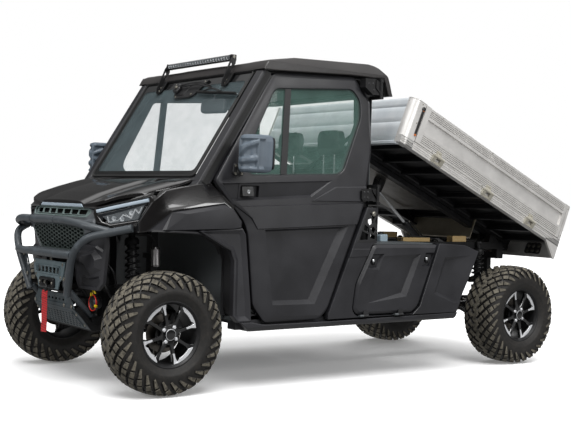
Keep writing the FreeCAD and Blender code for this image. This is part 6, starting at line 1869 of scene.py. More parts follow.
on_screen = facing((1.2317, 0, SCREEN_FOOT_Z), (0, 1, 0), SCREEN_UP)


def screen_line(pairs, h):
    """Points on the windscreen from (y, z) in mm, at a height h above it in mm."""
    pairs = mm(*pairs)
    return on_screen(pairs[:, 0], (pairs[:, 1] - SCREEN_FOOT_Z) / SCREEN_UP.z, np.full(len(pairs), h * MM))


def screen_flat(*pairs):
    """Outline on the windscreen's own plane from (y, z) in mm."""
    pairs = mm(*pairs)
    return np.stack([pairs[:, 0], (pairs[:, 1] - SCREEN_FOOT_Z) / SCREEN_UP.z], -1)


foot = pressed(rounded(screen_flat((352, 1846), (430, 1846), (426, 1776), (414, 1762), (368, 1762),
                                   (356, 1776)),
                       8 * MM, 2), flat(14 * MM), 5 * MM, on_screen, rolled=1.5 * MM,
               holes=[rounded(screen_flat((374, 1838), (384, 1838), (384, 1812), (374, 1812)), 4 * MM, 2),
                      rounded(screen_flat((398, 1838), (408, 1838), (408, 1812), (398, 1812)), 4 * MM, 2)])
foot_pad = pressed(screen_flat((362, 1840), (422, 1840), (418, 1776), (366, 1776)), flat(9 * MM), 8 * MM,
                   on_screen, rolled=1 * MM)


def screen_bolt(y, z, h, radius=6, head=5):
    """Button-head screw on the windscreen's plane."""
    return placed(bolt(ORIGIN, "x", 1, radius, head), aimed(screen_line([(y, z)], h)[0], SCREEN_OUT))


bar_bolts = [screen_bolt(390, 1800, 14), screen_bolt(390, 1778, 14),
             bolt((0.826, 0.3965, 1.950), "y", 1, 6, 5)]
half_bar = webs + [foot]
piece("light_bar_housing", "chassis",
      (frame_black, bar_body, *fins, *caps, *two_sided(half_bar)),
      (rubber, *two_sided([foot_pad])), (chrome, *cells),
      (zinc, *two_sided(bar_bolts)), (lens_clear, bar_lens),
      replaces=("light_bar",), slot="lamp", sharp=35)


# ---- windscreen, cab frame and cowl ------------------------------------------------------------------

PANE = rounded(screen_flat((-628, 1216), (628, 1216), (628, 1843), (-628, 1843)), 30 * MM, 4)
BAND = rounded(screen_flat((-598, 1246), (598, 1246), (598, 1790), (-598, 1790)), 36 * MM, 4)
pane = pressed(PANE, flat(0), 6 * MM, on_screen, rolled=1 * MM)
band = pressed(inset(PANE, 1 * MM), flat(0.8 * MM), 1.2 * MM, on_screen, rolled=0.3 * MM, holes=[BAND])
ceramic_black = gloss_moulded("black_ceramic_band", "08090A", "16181A")


def beaded(loop, radius, pitch=7 * MM):
    """Ribbed rubber seal: a closed tube whose radius swells by a fifth every pitch."""
    closed_loop = np.vstack([loop, loop[:1]])
    run = run_to(closed_loop)
    at = np.arange(0, run[-1], pitch / 2)
    path = np.stack([np.interp(at, run, closed_loop[:, k]) for k in range(3)], -1)
    return tube(path, radius * (1 + 0.2 * (np.arange(len(path)) % 2)), 6, closed=True)


edge = inset(PANE, -3 * MM)
seal_loop = on_screen(edge[:, 0], edge[:, 1], np.full(len(edge), 2 * MM))
piece("windscreen_pane", "chassis", (screen_glass, pane), replaces=("cab_glass",), slot="tinted_glass")
piece("windscreen_band_and_seal", "chassis", (ceramic_black, band), (rubber, beaded(seal_loop, 6.5 * MM)),
      slot="black_moulding", sharp=50)
pillar_section = rounded(mm((-42, -66), (42, -66), (42, -14), (34, 2), (-26, 6), (-38, -2), (-42, -10)),
                         5 * MM, 2)
PILLAR_FOOT, PILLAR_HEAD = (1.2486, 0.684, 1.185), (0.8311, 0.684, 1.850)
PILLAR_OUT = (0.847, 0, 0.532)       # square to the pillars and the screen
pillar = carried([PILLAR_FOOT, PILLAR_HEAD], pillar_section, up=PILLAR_OUT)
reveal = carried([PILLAR_FOOT, PILLAR_HEAD], rect(-64, -44, -38, -20), up=PILLAR_OUT)
boot = prism(mm((1192, 1140), (1290, 1140), (1284, 1156), (1262, 1174), (1248, 1192), (1214, 1196)), 0.657,
             0.7255)
gutter = carried([(1.2460, 0.7285, 1.19), (0.8290, 0.7285, 1.851)], rect(-3, -50, 3, -12), up=PILLAR_OUT)
frame_half = [
    slab((-0.026, 0.641, 0.846), (0.069, 0.681, 1.866)),
    prism(mm((-26, 1860), (-26, 1896), (788, 1868), (838, 1840), (762, 1840)), 0.641, 0.681),
    slab((1.236, 0.38, 1.168), (1.257, 0.46, 1.1795)),
    slab((1.190, 0.60, 0.98), (1.196, 0.735, 1.166)),
]
cowl = prism(mm((1178, 1180), (1244, 1178), (1246, 1190), (1236, 1204), (1222, 1212), (1180, 1206)), -0.66,
             0.66)
header = prism(mm((848, 1848), (792, 1848), (772, 1870), (808, 1870)), -0.64, 0.64)
rear_header = slab((-0.024, -0.64, 1.852), (0.012, 0.64, 1.894))
piece("cab_frame", "chassis",
      (panel_grey, *two_sided([pillar]), *two_sided([boot])),
      (rubber, *two_sided([gutter]), *two_sided([reveal])),
      (trim_black, header, rear_header, *two_sided(frame_half)),
      (liner_black, cowl), replaces=("cab_cage",), slot="black_moulding", bevel=2 * MM, sharp=28)


# ---- wiper and inside mirror -------------------------------------------------------------------------

wiper_plate = pressed(screen_flat((-219, 1815), (182, 1815), (92, 1722), (40, 1712), (-118, 1712),
                                  (-150, 1735)),
                      flat(13 * MM), 12 * MM, on_screen, rolled=3 * MM, creases=[
                          (screen_flat((-190, 1804), (20, 1806), (-20, 1726), (-112, 1724)), 7 * MM,
                           -5 * MM)])
arm_line = bent(screen_line([(-117, 1772), (-40, 1778), (115, 1781), (309, 1746)], 34), 40 * MM)
arm = carried(arm_line, mm((-6, -3), (6, -3), (5, 3), (-5, 3)), up=PILLAR_OUT)
blade_line = screen_line([(126, 1738), (350, 1720), (592, 1700)], 20)
blade = carried(blade_line, mm((-3, -16), (3, -16), (7, 2), (3, 8), (-3, 8), (-7, 2)), up=PILLAR_OUT)
bridge = carried(bent(screen_line([(230, 1731), (309, 1744), (440, 1714)], 30), 40 * MM),
                 mm((-5, -3), (5, -3), (4, 4), (-4, 4)), up=PILLAR_OUT)
motor = placed(lathe([(0, 0), (0, .034), (.006, .037), (.022, .036), (.028, .030), (.030, 0)], ORIGIN, "x",
                     28),
               aimed(screen_line([(-118, 1768)], 12)[0], SCREEN_OUT))
washer_hose = tube(bent(screen_line([(-100, 1776), (30, 1790), (160, 1784), (300, 1752)], 40), 40 * MM),
                   3 * MM, 8)
wiper_bolts = [screen_bolt(y, z, 13) for y, z in ((-196, 1806), (150, 1806), (60, 1730), (-118, 1722))]
spindle = screen_bolt(-118, 1768, 42, 9, 8)
piece("wiper", "chassis", (trim_black, wiper_plate, arm, bridge, motor), (rubber, blade, washer_hose),
      (zinc, *wiper_bolts, spindle), slot="black_moulding", sharp=30)
shell_outline = rounded(mm((-98, -42), (98, -42), (104, 0), (96, 44), (-96, 44), (-104, 0)), 28 * MM, 5)
glass_place = facing((0.872, 0.26, 1.655), (-0.26, 0.966, 0), (-0.12, -0.03, 0.99))
inside_shell = pressed(shell_outline, flat(14 * MM), 30 * MM, glass_place, rolled=12 * MM)
inside_stalk = [tube(bent([(0.872, 0.26, 1.69), (0.864, 0.262, 1.74), (0.800, 0.262, 1.846)], 0.04), 7 * MM,
                     12),
                slab((0.785, 0.235, 1.846), (0.825, 0.29, 1.853))]
piece("inside_mirror", "chassis", (trim_black, inside_shell, *inside_stalk), slot="black_moulding", sharp=35)


# ---- door mirrors ------------------------------------------------------------------------------------

MIRROR_Z = np.array([1242, 1246, 1256, 1275, 1300, 1330, 1360, 1390, 1415, 1432, 1443, 1449, 1451]) * MM
MIRROR_SIZE = np.interp(MIRROR_Z, np.array([1242, 1246, 1256, 1275, 1420, 1443, 1451]) * MM,
                        [0.72, 0.84, 0.93, 0.98, 1.0, 0.90, 0.70])
MIRROR_PLAN = rounded(mm((944, 872), (940, 996), (1010, 1000), (1086, 984), (1120, 930), (1108, 884),
                         (1040, 868)), 16 * MM, 4)


def soft_line(points, a, b, width):
    """1 on the line between a and b, falling to 0 at width from it."""
    a, b = np.asarray(a), np.asarray(b)
    t = np.clip(((points - a) @ (b - a)) / ((b - a) @ (b - a)), 0, 1)
    far = np.linalg.norm(points - a - t[..., None] * (b - a), axis=-1)
    return np.clip(1.6 - far / width * 1.6, 0, 1)


def mirror_shell():
    """Mirror back: plan sections stacked up, each the same rounded outline scaled about its middle and
    leaning back as it rises. Raised ribs branch over its front, 13 mm above the fields between them."""
    plan = np.vstack([MIRROR_PLAN, MIRROR_PLAN[:1]])
    run = run_to(plan)
    at = np.linspace(0, run[-1], 121)[:-1]
    plan = np.stack([np.interp(at, run, plan[:, 0]), np.interp(at, run, plan[:, 1])], -1)
    z = np.interp(np.linspace(0, 1, 61), np.linspace(0, 1, len(MIRROR_Z)), MIRROR_Z)
    size = np.interp(z, MIRROR_Z, MIRROR_SIZE)[:, None, None]
    middle = np.array([1.030, 0.934])
    rows = middle + (plan - middle) * size
    lean = np.interp(z, [1.242, 1.451], [0.0, 0.006])
    rows[..., 0] -= lean[:, None]
    turn = np.arctan2(plan[:, 1] - middle[1], plan[:, 0] - middle[0])
    place = np.stack(np.broadcast_arrays(turn[None, :], (z[:, None] - 1.242) / 0.209), -1)
    ribs = np.zeros(place.shape[:2])
    for a, b, width in (((-0.55, 0.02), (-0.45, 0.98), 0.20), ((-0.5, 0.60), (1.35, 0.82), 0.11),
                        ((-0.5, 0.30), (1.35, 0.36), 0.11), ((-0.5, 0.45), (0.2, 0.66), 0.10),
                        ((1.35, 0.0), (1.35, 1.0), 0.16), ((-2.0, 0.93), (2.0, 0.93), 0.10),
                        ((-2.0, 0.06), (2.0, 0.06), 0.10), ((-1.4, 0.3), (-0.5, 0.5), 0.09),
                        ((-1.4, 0.75), (-0.5, 0.62), 0.09)):
        ribs = np.maximum(ribs, soft_line(place, a, b, width))
    front = np.clip((rows[..., 0] - 0.955) / 0.02, 0, 1)
    out = rows - middle
    out /= np.linalg.norm(out, axis=-1)[..., None]
    rows = rows - out * ((1 - ribs) * front * 13 * MM)[..., None]
    return capped(np.concatenate([rows, np.broadcast_to(z[:, None, None], rows.shape[:2] + (1,))], axis=-1))


MIRROR_GLASS = rounded(rect(880, 1268, 992, 1432), 16 * MM, 4)


def rear_face(a, b, h):
    """Places a panel that looks to the rear: flat (y, z), its height towards -X."""
    return np.stack([-h, a, b], -1)


mirror_ring = pressed(inset(MIRROR_GLASS, -7 * MM), flat(-0.934), 10 * MM, rear_face, rolled=3 * MM,
                      holes=[MIRROR_GLASS])
mirror_pane = pressed(inset(MIRROR_GLASS, -1 * MM), flat(-0.9385), 3 * MM, rear_face, rolled=0.8 * MM)
ARM = bent(mm((1020, 766, 1255), (1040, 850, 1298), (1032, 905, 1345)), 30 * MM)
arm_parts = [carried(ARM, rounded(mm((-13, -10), (13, -10), (11, 10), (-11, 10)), 6 * MM, 2), up=(1, 0, 0)),
             pressed(rounded(mm((986, 1292), (1054, 1292), (1062, 1240), (1044, 1224), (990, 1224)), 10 * MM,
                             3),
                     flat(0.777), 11 * MM, side_face, rolled=4 * MM),
             tube([(1.022, 0.774, 1.238), (1.022, 0.774, 1.284)], 12 * MM, 18)]
arm_bolts = [bolt((x, 0.7775, z), "y", 1, 6, 4)
             for x, z in ((1.000, 1.280), (1.044, 1.280), (1.002, 1.236), (1.044, 1.236))]
for side, name in SIDES:
    piece(f"mirror_head_{name}", f"door_{name}",
          (mirror_grey, on_side(mirror_shell(), side)),
          (trim_black, *sided(arm_parts + [mirror_ring], side)),
          (mirror_face, on_side(mirror_pane, side)), (zinc, *sided(arm_bolts, side)),
          replaces=(f"mirror_{name}",), slot="mirror_moulding", sharp=30)


# ---- rear wall of the cab ----------------------------------------------------------------------------

WALL = mm((-430, 411), (430, 411), (430, 844), (689, 844), (689, 1889), (-689, 1889), (-689, 844),
          (-430, 844))
REAR_GLASS = rounded(mm((-560, 1180), (560, 1180), (540, 1790), (-540, 1790)), 40 * MM, 4)
wall_ribs = [(rounded(rect(-380, z, 380, z + 50), 20 * MM, 3), 6 * MM, -5 * MM)
             for z in (470, 590, 710)]
wall_ribs += [(rounded(rect(-620, z, 620, z + 50), 20 * MM, 3), 6 * MM, -5 * MM)
              for z in (900, 1020)]
back_wall = pressed(WALL, flat(0.031), 7 * MM, rear_face, rolled=3 * MM, holes=[REAR_GLASS], creases=[
    *wall_ribs, (inset(REAR_GLASS, -34 * MM), 8 * MM, 5 * MM)])
back_pane = pressed(inset(REAR_GLASS, -6 * MM), flat(0.026), 5 * MM, rear_face, rolled=1 * MM)
back_band = pressed(inset(REAR_GLASS, 1 * MM), flat(0.0266), 0.9 * MM, rear_face, rolled=0.3 * MM,
                    holes=[rounded(mm((-530, 1345), (530, 1345), (515, 1768), (-515, 1768)), 30 * MM, 4)])
back_loop = np.stack([np.full(len(REAR_GLASS), -0.0285), *REAR_GLASS.T], -1)
mounts = []
for z in (1.148, 1.805):
    for low in (z - 0.0635, z + 0.0415):
        mounts += [tube([(-0.014, 0.789, low), (-0.014, 0.789, low + 0.022)], 9 * MM, 20),
                   slab((-0.036, 0.662, low + 0.001), (-0.014, 0.789, low + 0.021))]
piece("cab_rear_panel", "chassis", (inner_grey, back_wall),
      (rubber, tube(back_loop, 6 * MM, 8, closed=True)), (frame_black, *two_sided(mounts)),
      (ceramic_black, back_band), replaces=("rear_wall",), slot="black_moulding", sharp=28)
piece("rear_window_pane", "chassis", (side_glass, back_pane), slot="tinted_glass")


# ---- seats: stuffed with cloth pressure --------------------------------------------------------------

SEAM_HALF = 5 * MM


def near_seams(points, seams):
    """1 for points that a seam holds down. A seam is (axis, place, other axis or None, low, high)."""
    held = np.zeros(len(points), bool)
    for axis, place, other, low, high in seams:
        one = np.abs(points[:, AXES[axis]] - place) < SEAM_HALF
        if other:
            one &= (points[:, AXES[other]] > low) & (points[:, AXES[other]] < high)
        held |= one
    return held


CLOTH_FRAMES = 20
CLOTH_PRESSURE = 4.0


def stuffed(name, shape, voxel, cap, seams, replaces):
    """Cushion: the shape is remeshed in voxels, swollen by cloth pressure while its seams are held,
    kept within cap of where it began, and smoothed by one subdivision."""
    made = piece(name, "chassis", (seat_black, shape), replaces=replaces, slot="seat_vinyl", sharp=180,
                 weighted=False)
    remesh = made.modifiers.new("voxels", "REMESH")
    remesh.mode = "VOXEL"
    remesh.voxel_size = voxel
    mesh = bpy.data.meshes.new_from_object(made.evaluated_get(bpy.context.evaluated_depsgraph_get()))
    made.modifiers.clear()
    made.data = mesh
    before = np.empty(len(mesh.vertices) * 3)
    mesh.vertices.foreach_get("co", before)
    before = before.reshape(-1, 3)
    held = made.vertex_groups.new(name="seams")
    held.add(np.flatnonzero(near_seams(before, seams)).tolist(), 1.0, "REPLACE")
    cloth = made.modifiers.new("stuffing", "CLOTH")
    cloth.settings.use_pressure = True
    cloth.settings.uniform_pressure_force = CLOTH_PRESSURE
    cloth.settings.effector_weights.gravity = 0.0
    cloth.settings.vertex_group_mass = "seams"
    cloth.collision_settings.use_collision = False
    cloth.point_cache.frame_start, cloth.point_cache.frame_end = 1, CLOTH_FRAMES
    for frame_number in range(1, CLOTH_FRAMES + 1):
        bpy.context.scene.frame_set(frame_number)
    swollen = made.evaluated_get(bpy.context.evaluated_depsgraph_get()).to_mesh()
    after = np.empty(len(mesh.vertices) * 3)
    swollen.vertices.foreach_get("co", after)
    moved = after.reshape(-1, 3) - before
    far = np.linalg.norm(moved, axis=1)[:, None]
    moved *= np.minimum(1, cap / np.maximum(far, 1e-9))
    made.modifiers.clear()
    made.vertex_groups.clear()
    bpy.context.scene.frame_set(1)
    mesh.vertices.foreach_set("co", (before + moved).ravel())
    mesh.polygons.foreach_set("use_smooth", [True] * len(mesh.polygons))
    mesh.materials.clear()
    mesh.materials.append(seat_black)
    mesh.update()
    smooth = made.modifiers.new("smooth", "SUBSURF")
    smooth.levels = smooth.render_levels = 1


SEATS_Y = (-0.43, 0.0, 0.43)
SEAT_LINES = [("y", -0.213, None, 0, 0), ("y", 0.213, None, 0, 0)]
base_outline = rounded(mm((140, 624), (466, 624), (466, 700), (440, 714), (140, 714)), 22 * MM, 4)
stuffed("seat_cushion", prism(base_outline, -0.625, 0.625), 7 * MM, 18 * MM,
        SEAT_LINES + [("x", 0.385, "z", 0.70, 0.80)], ("seat_base",))
back_outline = rounded(mm((104, 748), (204, 748), (118, 1252), (66, 1252)), 22 * MM, 4)
stuffed("seat_back_cushion", prism(back_outline, -0.615, 0.615), 7 * MM, 16 * MM,
        SEAT_LINES + [("z", 1.085, "x", 0.13, 0.30)], ("seat_back",))
rest_outline = rounded(mm((-112, 1398), (112, 1398), (116, 1500), (98, 1552), (-98, 1552), (-116, 1500)),
                       34 * MM, 5)
rests = [prism(rest_outline + (y, 0), 0.052, 0.106, "x") for y in SEATS_Y]
stuffed("headrest_cushions", joined(rests), 5.5 * MM, 12 * MM,
        [("z", 1.435, "x", 0.08, 0.2)], ("headrests",))
posts = [tube([(0.092, y + s * 0.055, 1.262), (0.092, y + s * 0.055, 1.402)], 6 * MM, 14)
         for y in SEATS_Y for s in (-1, 1)]
collars = [lathe([(0, 0.006), (0, 0.013), (0.006, 0.013), (0.009, 0.009), (0.009, 0.006)],
                 (0.092, y + s * 0.055, 1.264), "z", 18) for y in SEATS_Y for s in (-1, 1)]
braces = [tube(bent([(-0.004, s * 0.640, 1.56), (0.004, s * 0.600, 1.545), (0.004, s * 0.06, 1.300)], 0.02),
               14 * MM, 16)
          for s in (1, -1)]
cross_bar = tube([(0.004, -0.64, 1.300), (0.004, 0.64, 1.300)], 14 * MM, 16)
piece("headrest_posts_and_brace", "chassis", (frame_black, *braces, cross_bar), (chrome, *posts),
      (trim_black, *collars), slot="black_frame_paint", sharp=40)


# ---- dashboard and steering wheel --------------------------------------------------------------------

DASH = rounded(mm((1017, 802), (900, 898), (871, 1060), (902, 1150), (1000, 1199), (1178, 1196),
                  (1178, 1180), (1017, 1132)), 16 * MM, 4)
dash_body = prism(DASH, -0.634, 0.634)
on_lower = facing((0.8985, 0, 0.9), (0, -1, 0), (-0.03, 0, 0.16))
on_upper = facing((0.8705, 0, 1.062), (0, -1, 0), (0.03, 0, 0.09))
glove = pressed(rounded(rect(120, 20, 560, 138), 14 * MM, 3), flat(6 * MM), 8 * MM, on_lower,
                rolled=4 * MM, creases=[(rounded(rect(290, 112, 390, 130), 6 * MM, 2), 3 * MM, 5 * MM)])
switch_plate = pressed(rounded(rect(-100, 60, 90, 140), 10 * MM, 3), flat(5 * MM), 7 * MM,
                       on_lower, rolled=3 * MM)
rockers = [pressed(rounded(rect(a, 82, a + 22, 120), 4 * MM, 2), flat(9 * MM), 8 * MM,
                   on_lower, rolled=2.5 * MM) for a in (-86, -56, -26, 4, 34, 64)]
VENTS = (-0.56, -0.17, 0.17, 0.56)
vent_rings, vent_slats = [], []
for a in VENTS:
    ring = rounded(np.array([(a - .052, .014), (a + .052, .014), (a + .052, .074), (a - .052, .074)]),
                   12 * MM, 3)
    vent_rings.append(pressed(inset(ring, -7 * MM), flat(7 * MM), 9 * MM, on_upper, rolled=3 * MM,
                              holes=[ring]))
    vent_slats += [pressed(np.array([(a - .05, b), (a + .05, b), (a + .05, b + .004), (a - .05, b + .004)]),
                           flat(4 * MM), 5 * MM, on_upper, rolled=0.6 * MM)
                   for b in (.022, .034, .046, .058)]
screen_bezel = pressed(rounded(rect(-108, 4, 108, 92), 10 * MM, 3), flat(9 * MM), 12 * MM, on_upper,
                       rolled=4 * MM,
                       creases=[(rounded(rect(-96, 14, 96, 82), 5 * MM, 2), 2 * MM, 3 * MM)])
cluster = pressed(rounded(mm((-425, 6), (-235, 6), (-220, 60), (-250, 112), (-410, 112), (-440, 60)),
                          22 * MM, 4),
                  lambda a, b: 12 * MM + 0.25 * b, 30 * MM, on_upper, rolled=6 * MM,
                  creases=[(rounded(mm((-408, 20), (-252, 20), (-244, 60), (-268, 98), (-392, 98),
                                       (-416, 60)), 16 * MM, 4), 8 * MM, 12 * MM)])
pad = pressed(rounded(mm((1010, -350), (1150, -330), (1150, 330), (1010, 350)), 26 * MM, 4),
              lambda a, b: 1.208 - 0.10 * np.clip(a - 1.08, 0, 1) + 0.008 * np.cos(b * 9), 14 * MM,
              lambda a, b, h: np.stack([a, b, h], -1), rolled=9 * MM,
              creases=[(rounded(mm((1030, -300), (1130, -290), (1130, -60), (1030, -50)), 14 * MM, 3),
                        8 * MM, 7 * MM)])
grab = tube(bent([on_upper(np.array([a]), np.array([b]), np.array([h]))[0]
                  for a, b, h in ((.24, .012, 0), (.24, .012, .045), (.48, .012, .045), (.48, .012, 0))],
                 0.03), 11 * MM, 14)
COLUMN_LEAN = math.radians(28)
WHEEL_AT = Vector((0.716, 0.330, 1.128))
COLUMN = Vector((math.cos(COLUMN_LEAN), 0, -math.sin(COLUMN_LEAN)))
shroud = placed(lathe([(0, .018), (0, .038), (.02, .044), (.09, .047), (.15, .040), (.165, .030),
                       (.20, .030)],
                      ORIGIN, "x", 28, ends=True), along(WHEEL_AT + COLUMN * 0.032, WHEEL_AT + COLUMN * 0.3))
stalks = [tube(bent([WHEEL_AT + COLUMN * 0.10 + Vector((0, s * 0.03, 0)),
                     WHEEL_AT + COLUMN * 0.075 + Vector((0, s * 0.09, 0.01)),
                     WHEEL_AT + COLUMN * 0.06 + Vector((0, s * 0.15, 0.016))], 0.03), 5 * MM, 10)
          for s in (1, -1)]
piece("dashboard_moulding", "chassis", (trim_black, dash_body, glove, cluster, shroud, *stalks, grab),
      (inner_grey, pad, switch_plate), (liner_black, *rockers, *vent_rings), (frame_black, *vent_slats),
      (lamp_dark, screen_bezel), replaces=("dashboard",), slot="black_moulding", sharp=28)
RIM_R, RIM_POINTS = 0.178, 96
turn = np.linspace(0, 2 * np.pi, RIM_POINTS + 1)[:-1]
rim = np.stack([np.zeros(RIM_POINTS), RIM_R * np.sin(turn), RIM_R * np.cos(turn)], -1)
grip = 14.4 * MM - 0.9 * MM * np.cos(turn * 24) * (np.abs(np.sin(turn)) > 0.55)
SPIDER = mm((-168, 17), (-80, 30), (-38, 40), (38, 40), (80, 30), (168, 17), (168, -9), (74, -24), (26, -66),
            (16, -168), (-16, -168), (-26, -66), (-74, -24), (-168, -9))
to_driver = facing(ORIGIN, (0, -1, 0), (0, 0, 1))
spider = pressed(rounded(SPIDER, 12 * MM, 3), flat(6 * MM), 12 * MM, to_driver, rolled=4 * MM)
boss = pressed(rounded(mm((-52, 34), (52, 34), (58, -6), (30, -46), (-30, -46), (-58, -6)), 18 * MM, 4),
               flat(12 * MM), 14 * MM, to_driver, rolled=7 * MM)
hub = lathe([(0.002, 0.040), (0.0285, 0.040), (0.0295, 0.030), (0.0295, 0.0)], ORIGIN, "x", 28)
steer_at = Matrix.Translation(WHEEL_AT) @ Matrix.Rotation(COLUMN_LEAN, 4, "Y")
piece("steering_wheel_rim", "steering_wheel",
      (trim_black, placed(tube(rim, grip, 16, closed=True), steer_at), placed(boss, steer_at),
       placed(hub, steer_at)),
      (frame_black, placed(spider, steer_at)), replaces=("steering_wheel",), slot="steering_rubber",
      sharp=34)


# ---- coil-over dampers -------------------------------------------------------------------------------

FRONT_X, REAR_X, AXLE_Z = 1.427, -1.427, 0.343
COIL_TURNS = 9


def damper(foot, head, outer):
    """Coil-over: eyes, plated rod, body, cups and a coil whose ends close up. Drawn along +X from its
    foot, then laid on its line."""
    length = (Vector(head) - Vector(foot)).length
    lay = along(foot, head)
    turns = np.linspace(0, COIL_TURNS * 2 * np.pi, COIL_TURNS * 18 + 1)
    share = turns / turns[-1]
    run = 0.30 + 0.56 * (share + 0.012 * np.sin(share * 2 * np.pi))
    coil = np.stack([run * length, (outer - 8 * MM) * np.cos(turns), (outer - 8 * MM) * np.sin(turns)], -1)
    rod = lathe([(0.02, 0), (0.02, .010), (0.26 * length, .010)], ORIGIN, "x", 16)
    body = lathe([(.26 * length, .010), (.27 * length, .022), (.29 * length, .024), (.60 * length, .024),
                  (.61 * length, .027), (.86 * length, .027), (.87 * length, .022), (.975 * length, .020),
                  (.98 * length, 0)], ORIGIN, "x", 24)
    cups = [lathe([(.225 * length, .010), (.225 * length, outer - .006), (.24 * length, outer - .001),
                   (.30 * length, outer - .001), (.302 * length, outer - .016), (.30 * length, .024)],
                  ORIGIN, "x", 28),
            lathe([(.858 * length, .026), (.862 * length, outer - .002), (.90 * length, outer - .001),
                   (.925 * length, outer - .010), (.93 * length, .022)], ORIGIN, "x", 28)]
    eyes = [lathe([(-.018, .006), (-.018, .016), (-.014, .019), (.014, .019), (.018, .016), (.018, .006)],
                  (x, 0, 0), "y", 20) for x in (0.0, length)]
    return ([placed(tube(coil, 7.5 * MM, 8), lay)], [placed(rod, lay)],
            [placed(body, lay), *[placed(s, lay) for s in cups + eyes]])


def springs():
    """All four dampers, and the front pair's remote canisters with their clamps and hoses."""
    coils, rods, bodies, cans = [], [], [], []
    for foot, head, outer in (((1.493, .462, .312), (1.479, .385, .897), .044),
                              ((-1.339, .400, .322), (-1.329, .415, .835), .044)):
        coil, rod, body = damper(foot, head, outer)
        for side in (1, -1):
            coils += sided(coil, side)
            rods += sided(rod, side)
            bodies += sided(body, side)
    can = lathe([(0, 0), (0, .018), (.004, .023), (.010, .0245), (.080, .0245), (.086, .026), (.100, .026),
                 (.104, .022), (.112, .018), (.116, 0)], ORIGIN, "x", 28)
    at = along((1.352, 0.448, 0.690), (1.352, 0.440, 0.82))
    for side in (1, -1):
        cans.append(on_side(placed(can, at), side))
        hose = tube(bent([(1.352, 0.440, 0.806), (1.362, 0.43, 0.86), (1.42, 0.40, 0.882),
                          (1.476, 0.392, 0.868)], .04), 5 * MM, 10)
        clamp = slab((1.348, 0.30, 0.735), (1.356, 0.424, 0.765))
        bodies += [on_side(hose, side), on_side(clamp, side)]
    return coils, rods, bodies, cans


coils, rods, bodies, cans = springs()
piece("coil_over_dampers", "chassis", (spring_black, *coils), (chrome, *rods), (frame_black, *bodies),
      (canister, *cans), replaces=("shocks",), slot="black_frame_paint", sharp=40)


# ---- suspension arms ---------------------------------------------------------------------------------

ARMS = [
    # axle x, outer y, outer z, leg drop, rear leg, front leg, frame z, leg radius
    (FRONT_X, .625, .2305, .010, -.150, .150, .365, .015),
    (FRONT_X, .625, .4555, .003, -.150, .010, .560, .011),
    (REAR_X, .560, .216, .008, -.150, .150, .365, .016),
    (REAR_X, .560, .470, -.003, -.150, .020, .560, .013),
]
arm_tubes, arm_ends = [], []
for axle_x, outer_y, outer_z, drop, rear_leg, front_leg, frame_z, radius in ARMS:
    legs = [(np.array((axle_x + reach, .286, frame_z)), np.array((axle_x, outer_y, outer_z - drop)))
            for reach in (rear_leg, front_leg)]
    one = [tube([a, b], radius, 16) for a, b in legs]
    inner = [a + (b - a) * 0.30 for a, b in legs]
    outer = [a + (b - a) * 0.72 for a, b in legs]
    one.append(tube([inner[0], inner[1]], radius * 0.8, 12))
    web = np.array([outer[0], outer[1], legs[0][1] + (0, -0.02, 0)])
    plate = np.vstack([web + (0, 0, 0.003), web - (0, 0, 0.003)])
    one.append((plate, [[0, 1, 2], [5, 4, 3], [0, 3, 4, 1], [1, 4, 5, 2], [2, 5, 3, 0]]))
    joint = lathe([(-.017, 0), (-.017, .018), (-.012, .024), (.010, .024), (.013, .019), (.017, .012),
                   (.017, 0)], (axle_x, outer_y, outer_z), "z", 24)
    bushes = [lathe([(-.028, .006), (-.028, .018), (-.024, .021), (.024, .021), (.028, .018), (.028, .006)],
                    a, "x", 20)
              for a, _ in legs]
    for side in (1, -1):
        arm_tubes += sided(one, side)
        arm_ends += sided([joint, *bushes], side)
piece("suspension_arm_tubes", "chassis", (frame_black, *arm_tubes), (disc_steel, *arm_ends),
      replaces=("suspension_arms",), slot="black_frame_paint", sharp=36)


# ---- differentials, half-shafts and boots ------------------------------------------------------------

boot_turns = np.linspace(0, 1, 15)
boot_profile = np.stack([boot_turns * 0.070,
                         0.032 - 0.012 * boot_turns + 0.0035 * np.cos(boot_turns * 14 * np.pi)], -1)
boot_profile = np.vstack([[(-0.004, 0.014), (-0.004, 0.033)], boot_profile,
                          [(0.072, 0.018), (0.078, 0.018), (0.078, 0.014)]])
diff_profile = [(-.095, 0), (-.095, .045), (-.088, .052), (-.040, .058), (-.036, .066), (-.028, .066),
                (-.024, .058), (.060, .056), (.088, .052), (.095, .045), (.095, 0)]
shafts, boots, cases, case_bolts = [], [], [], []
for axle_x, end_y in ((FRONT_X, .593), (REAR_X, .540)):
    cases.append(lathe(diff_profile, (axle_x, 0, 0.410), "y", 36))
    cases.append(lathe([(0, .052), (.03, .050), (.06, .040), (.110, .034), (.118, .030), (.118, 0)],
                       (axle_x + 0.002, 0, 0.410), "x", 24))
    cases += [slab((axle_x + .03, s * .17 - .08, .374), (axle_x + .06, s * .17 + .08, .394))
              for s in (1, -1)]
    case_bolts += [bolt((axle_x + .060 * math.cos(a), -.040, .410 + .060 * math.sin(a)), "y", -1, 4, 3)
                   for a in np.linspace(0, 2 * np.pi, 9)[:-1]]
    inner, outer = (axle_x, .100, .412), (axle_x, end_y, AXLE_Z)
    parts = [tube([inner, outer], 14 * MM, 18),
             lathe([(.080, 0), (.080, .042), (.100, .040), (.102, 0)], (axle_x, 0, .412), "y", 24)]
    boot = lathe(boot_profile, ORIGIN, "x", 24)
    rubbers = [placed(boot, along(inner, outer)), placed(boot, along(outer, inner))]
    for side in (1, -1):
        shafts += sided(parts, side)
        boots += sided(rubbers, side)
piece("differentials_and_shafts", "chassis", (sheet_grey, *cases), (disc_steel, *shafts), (rubber, *boots),
      (zinc, *case_bolts), replaces=("axles",), slot="steel", sharp=34)


# ---- lift cylinder -----------------------------------------------------------------------------------

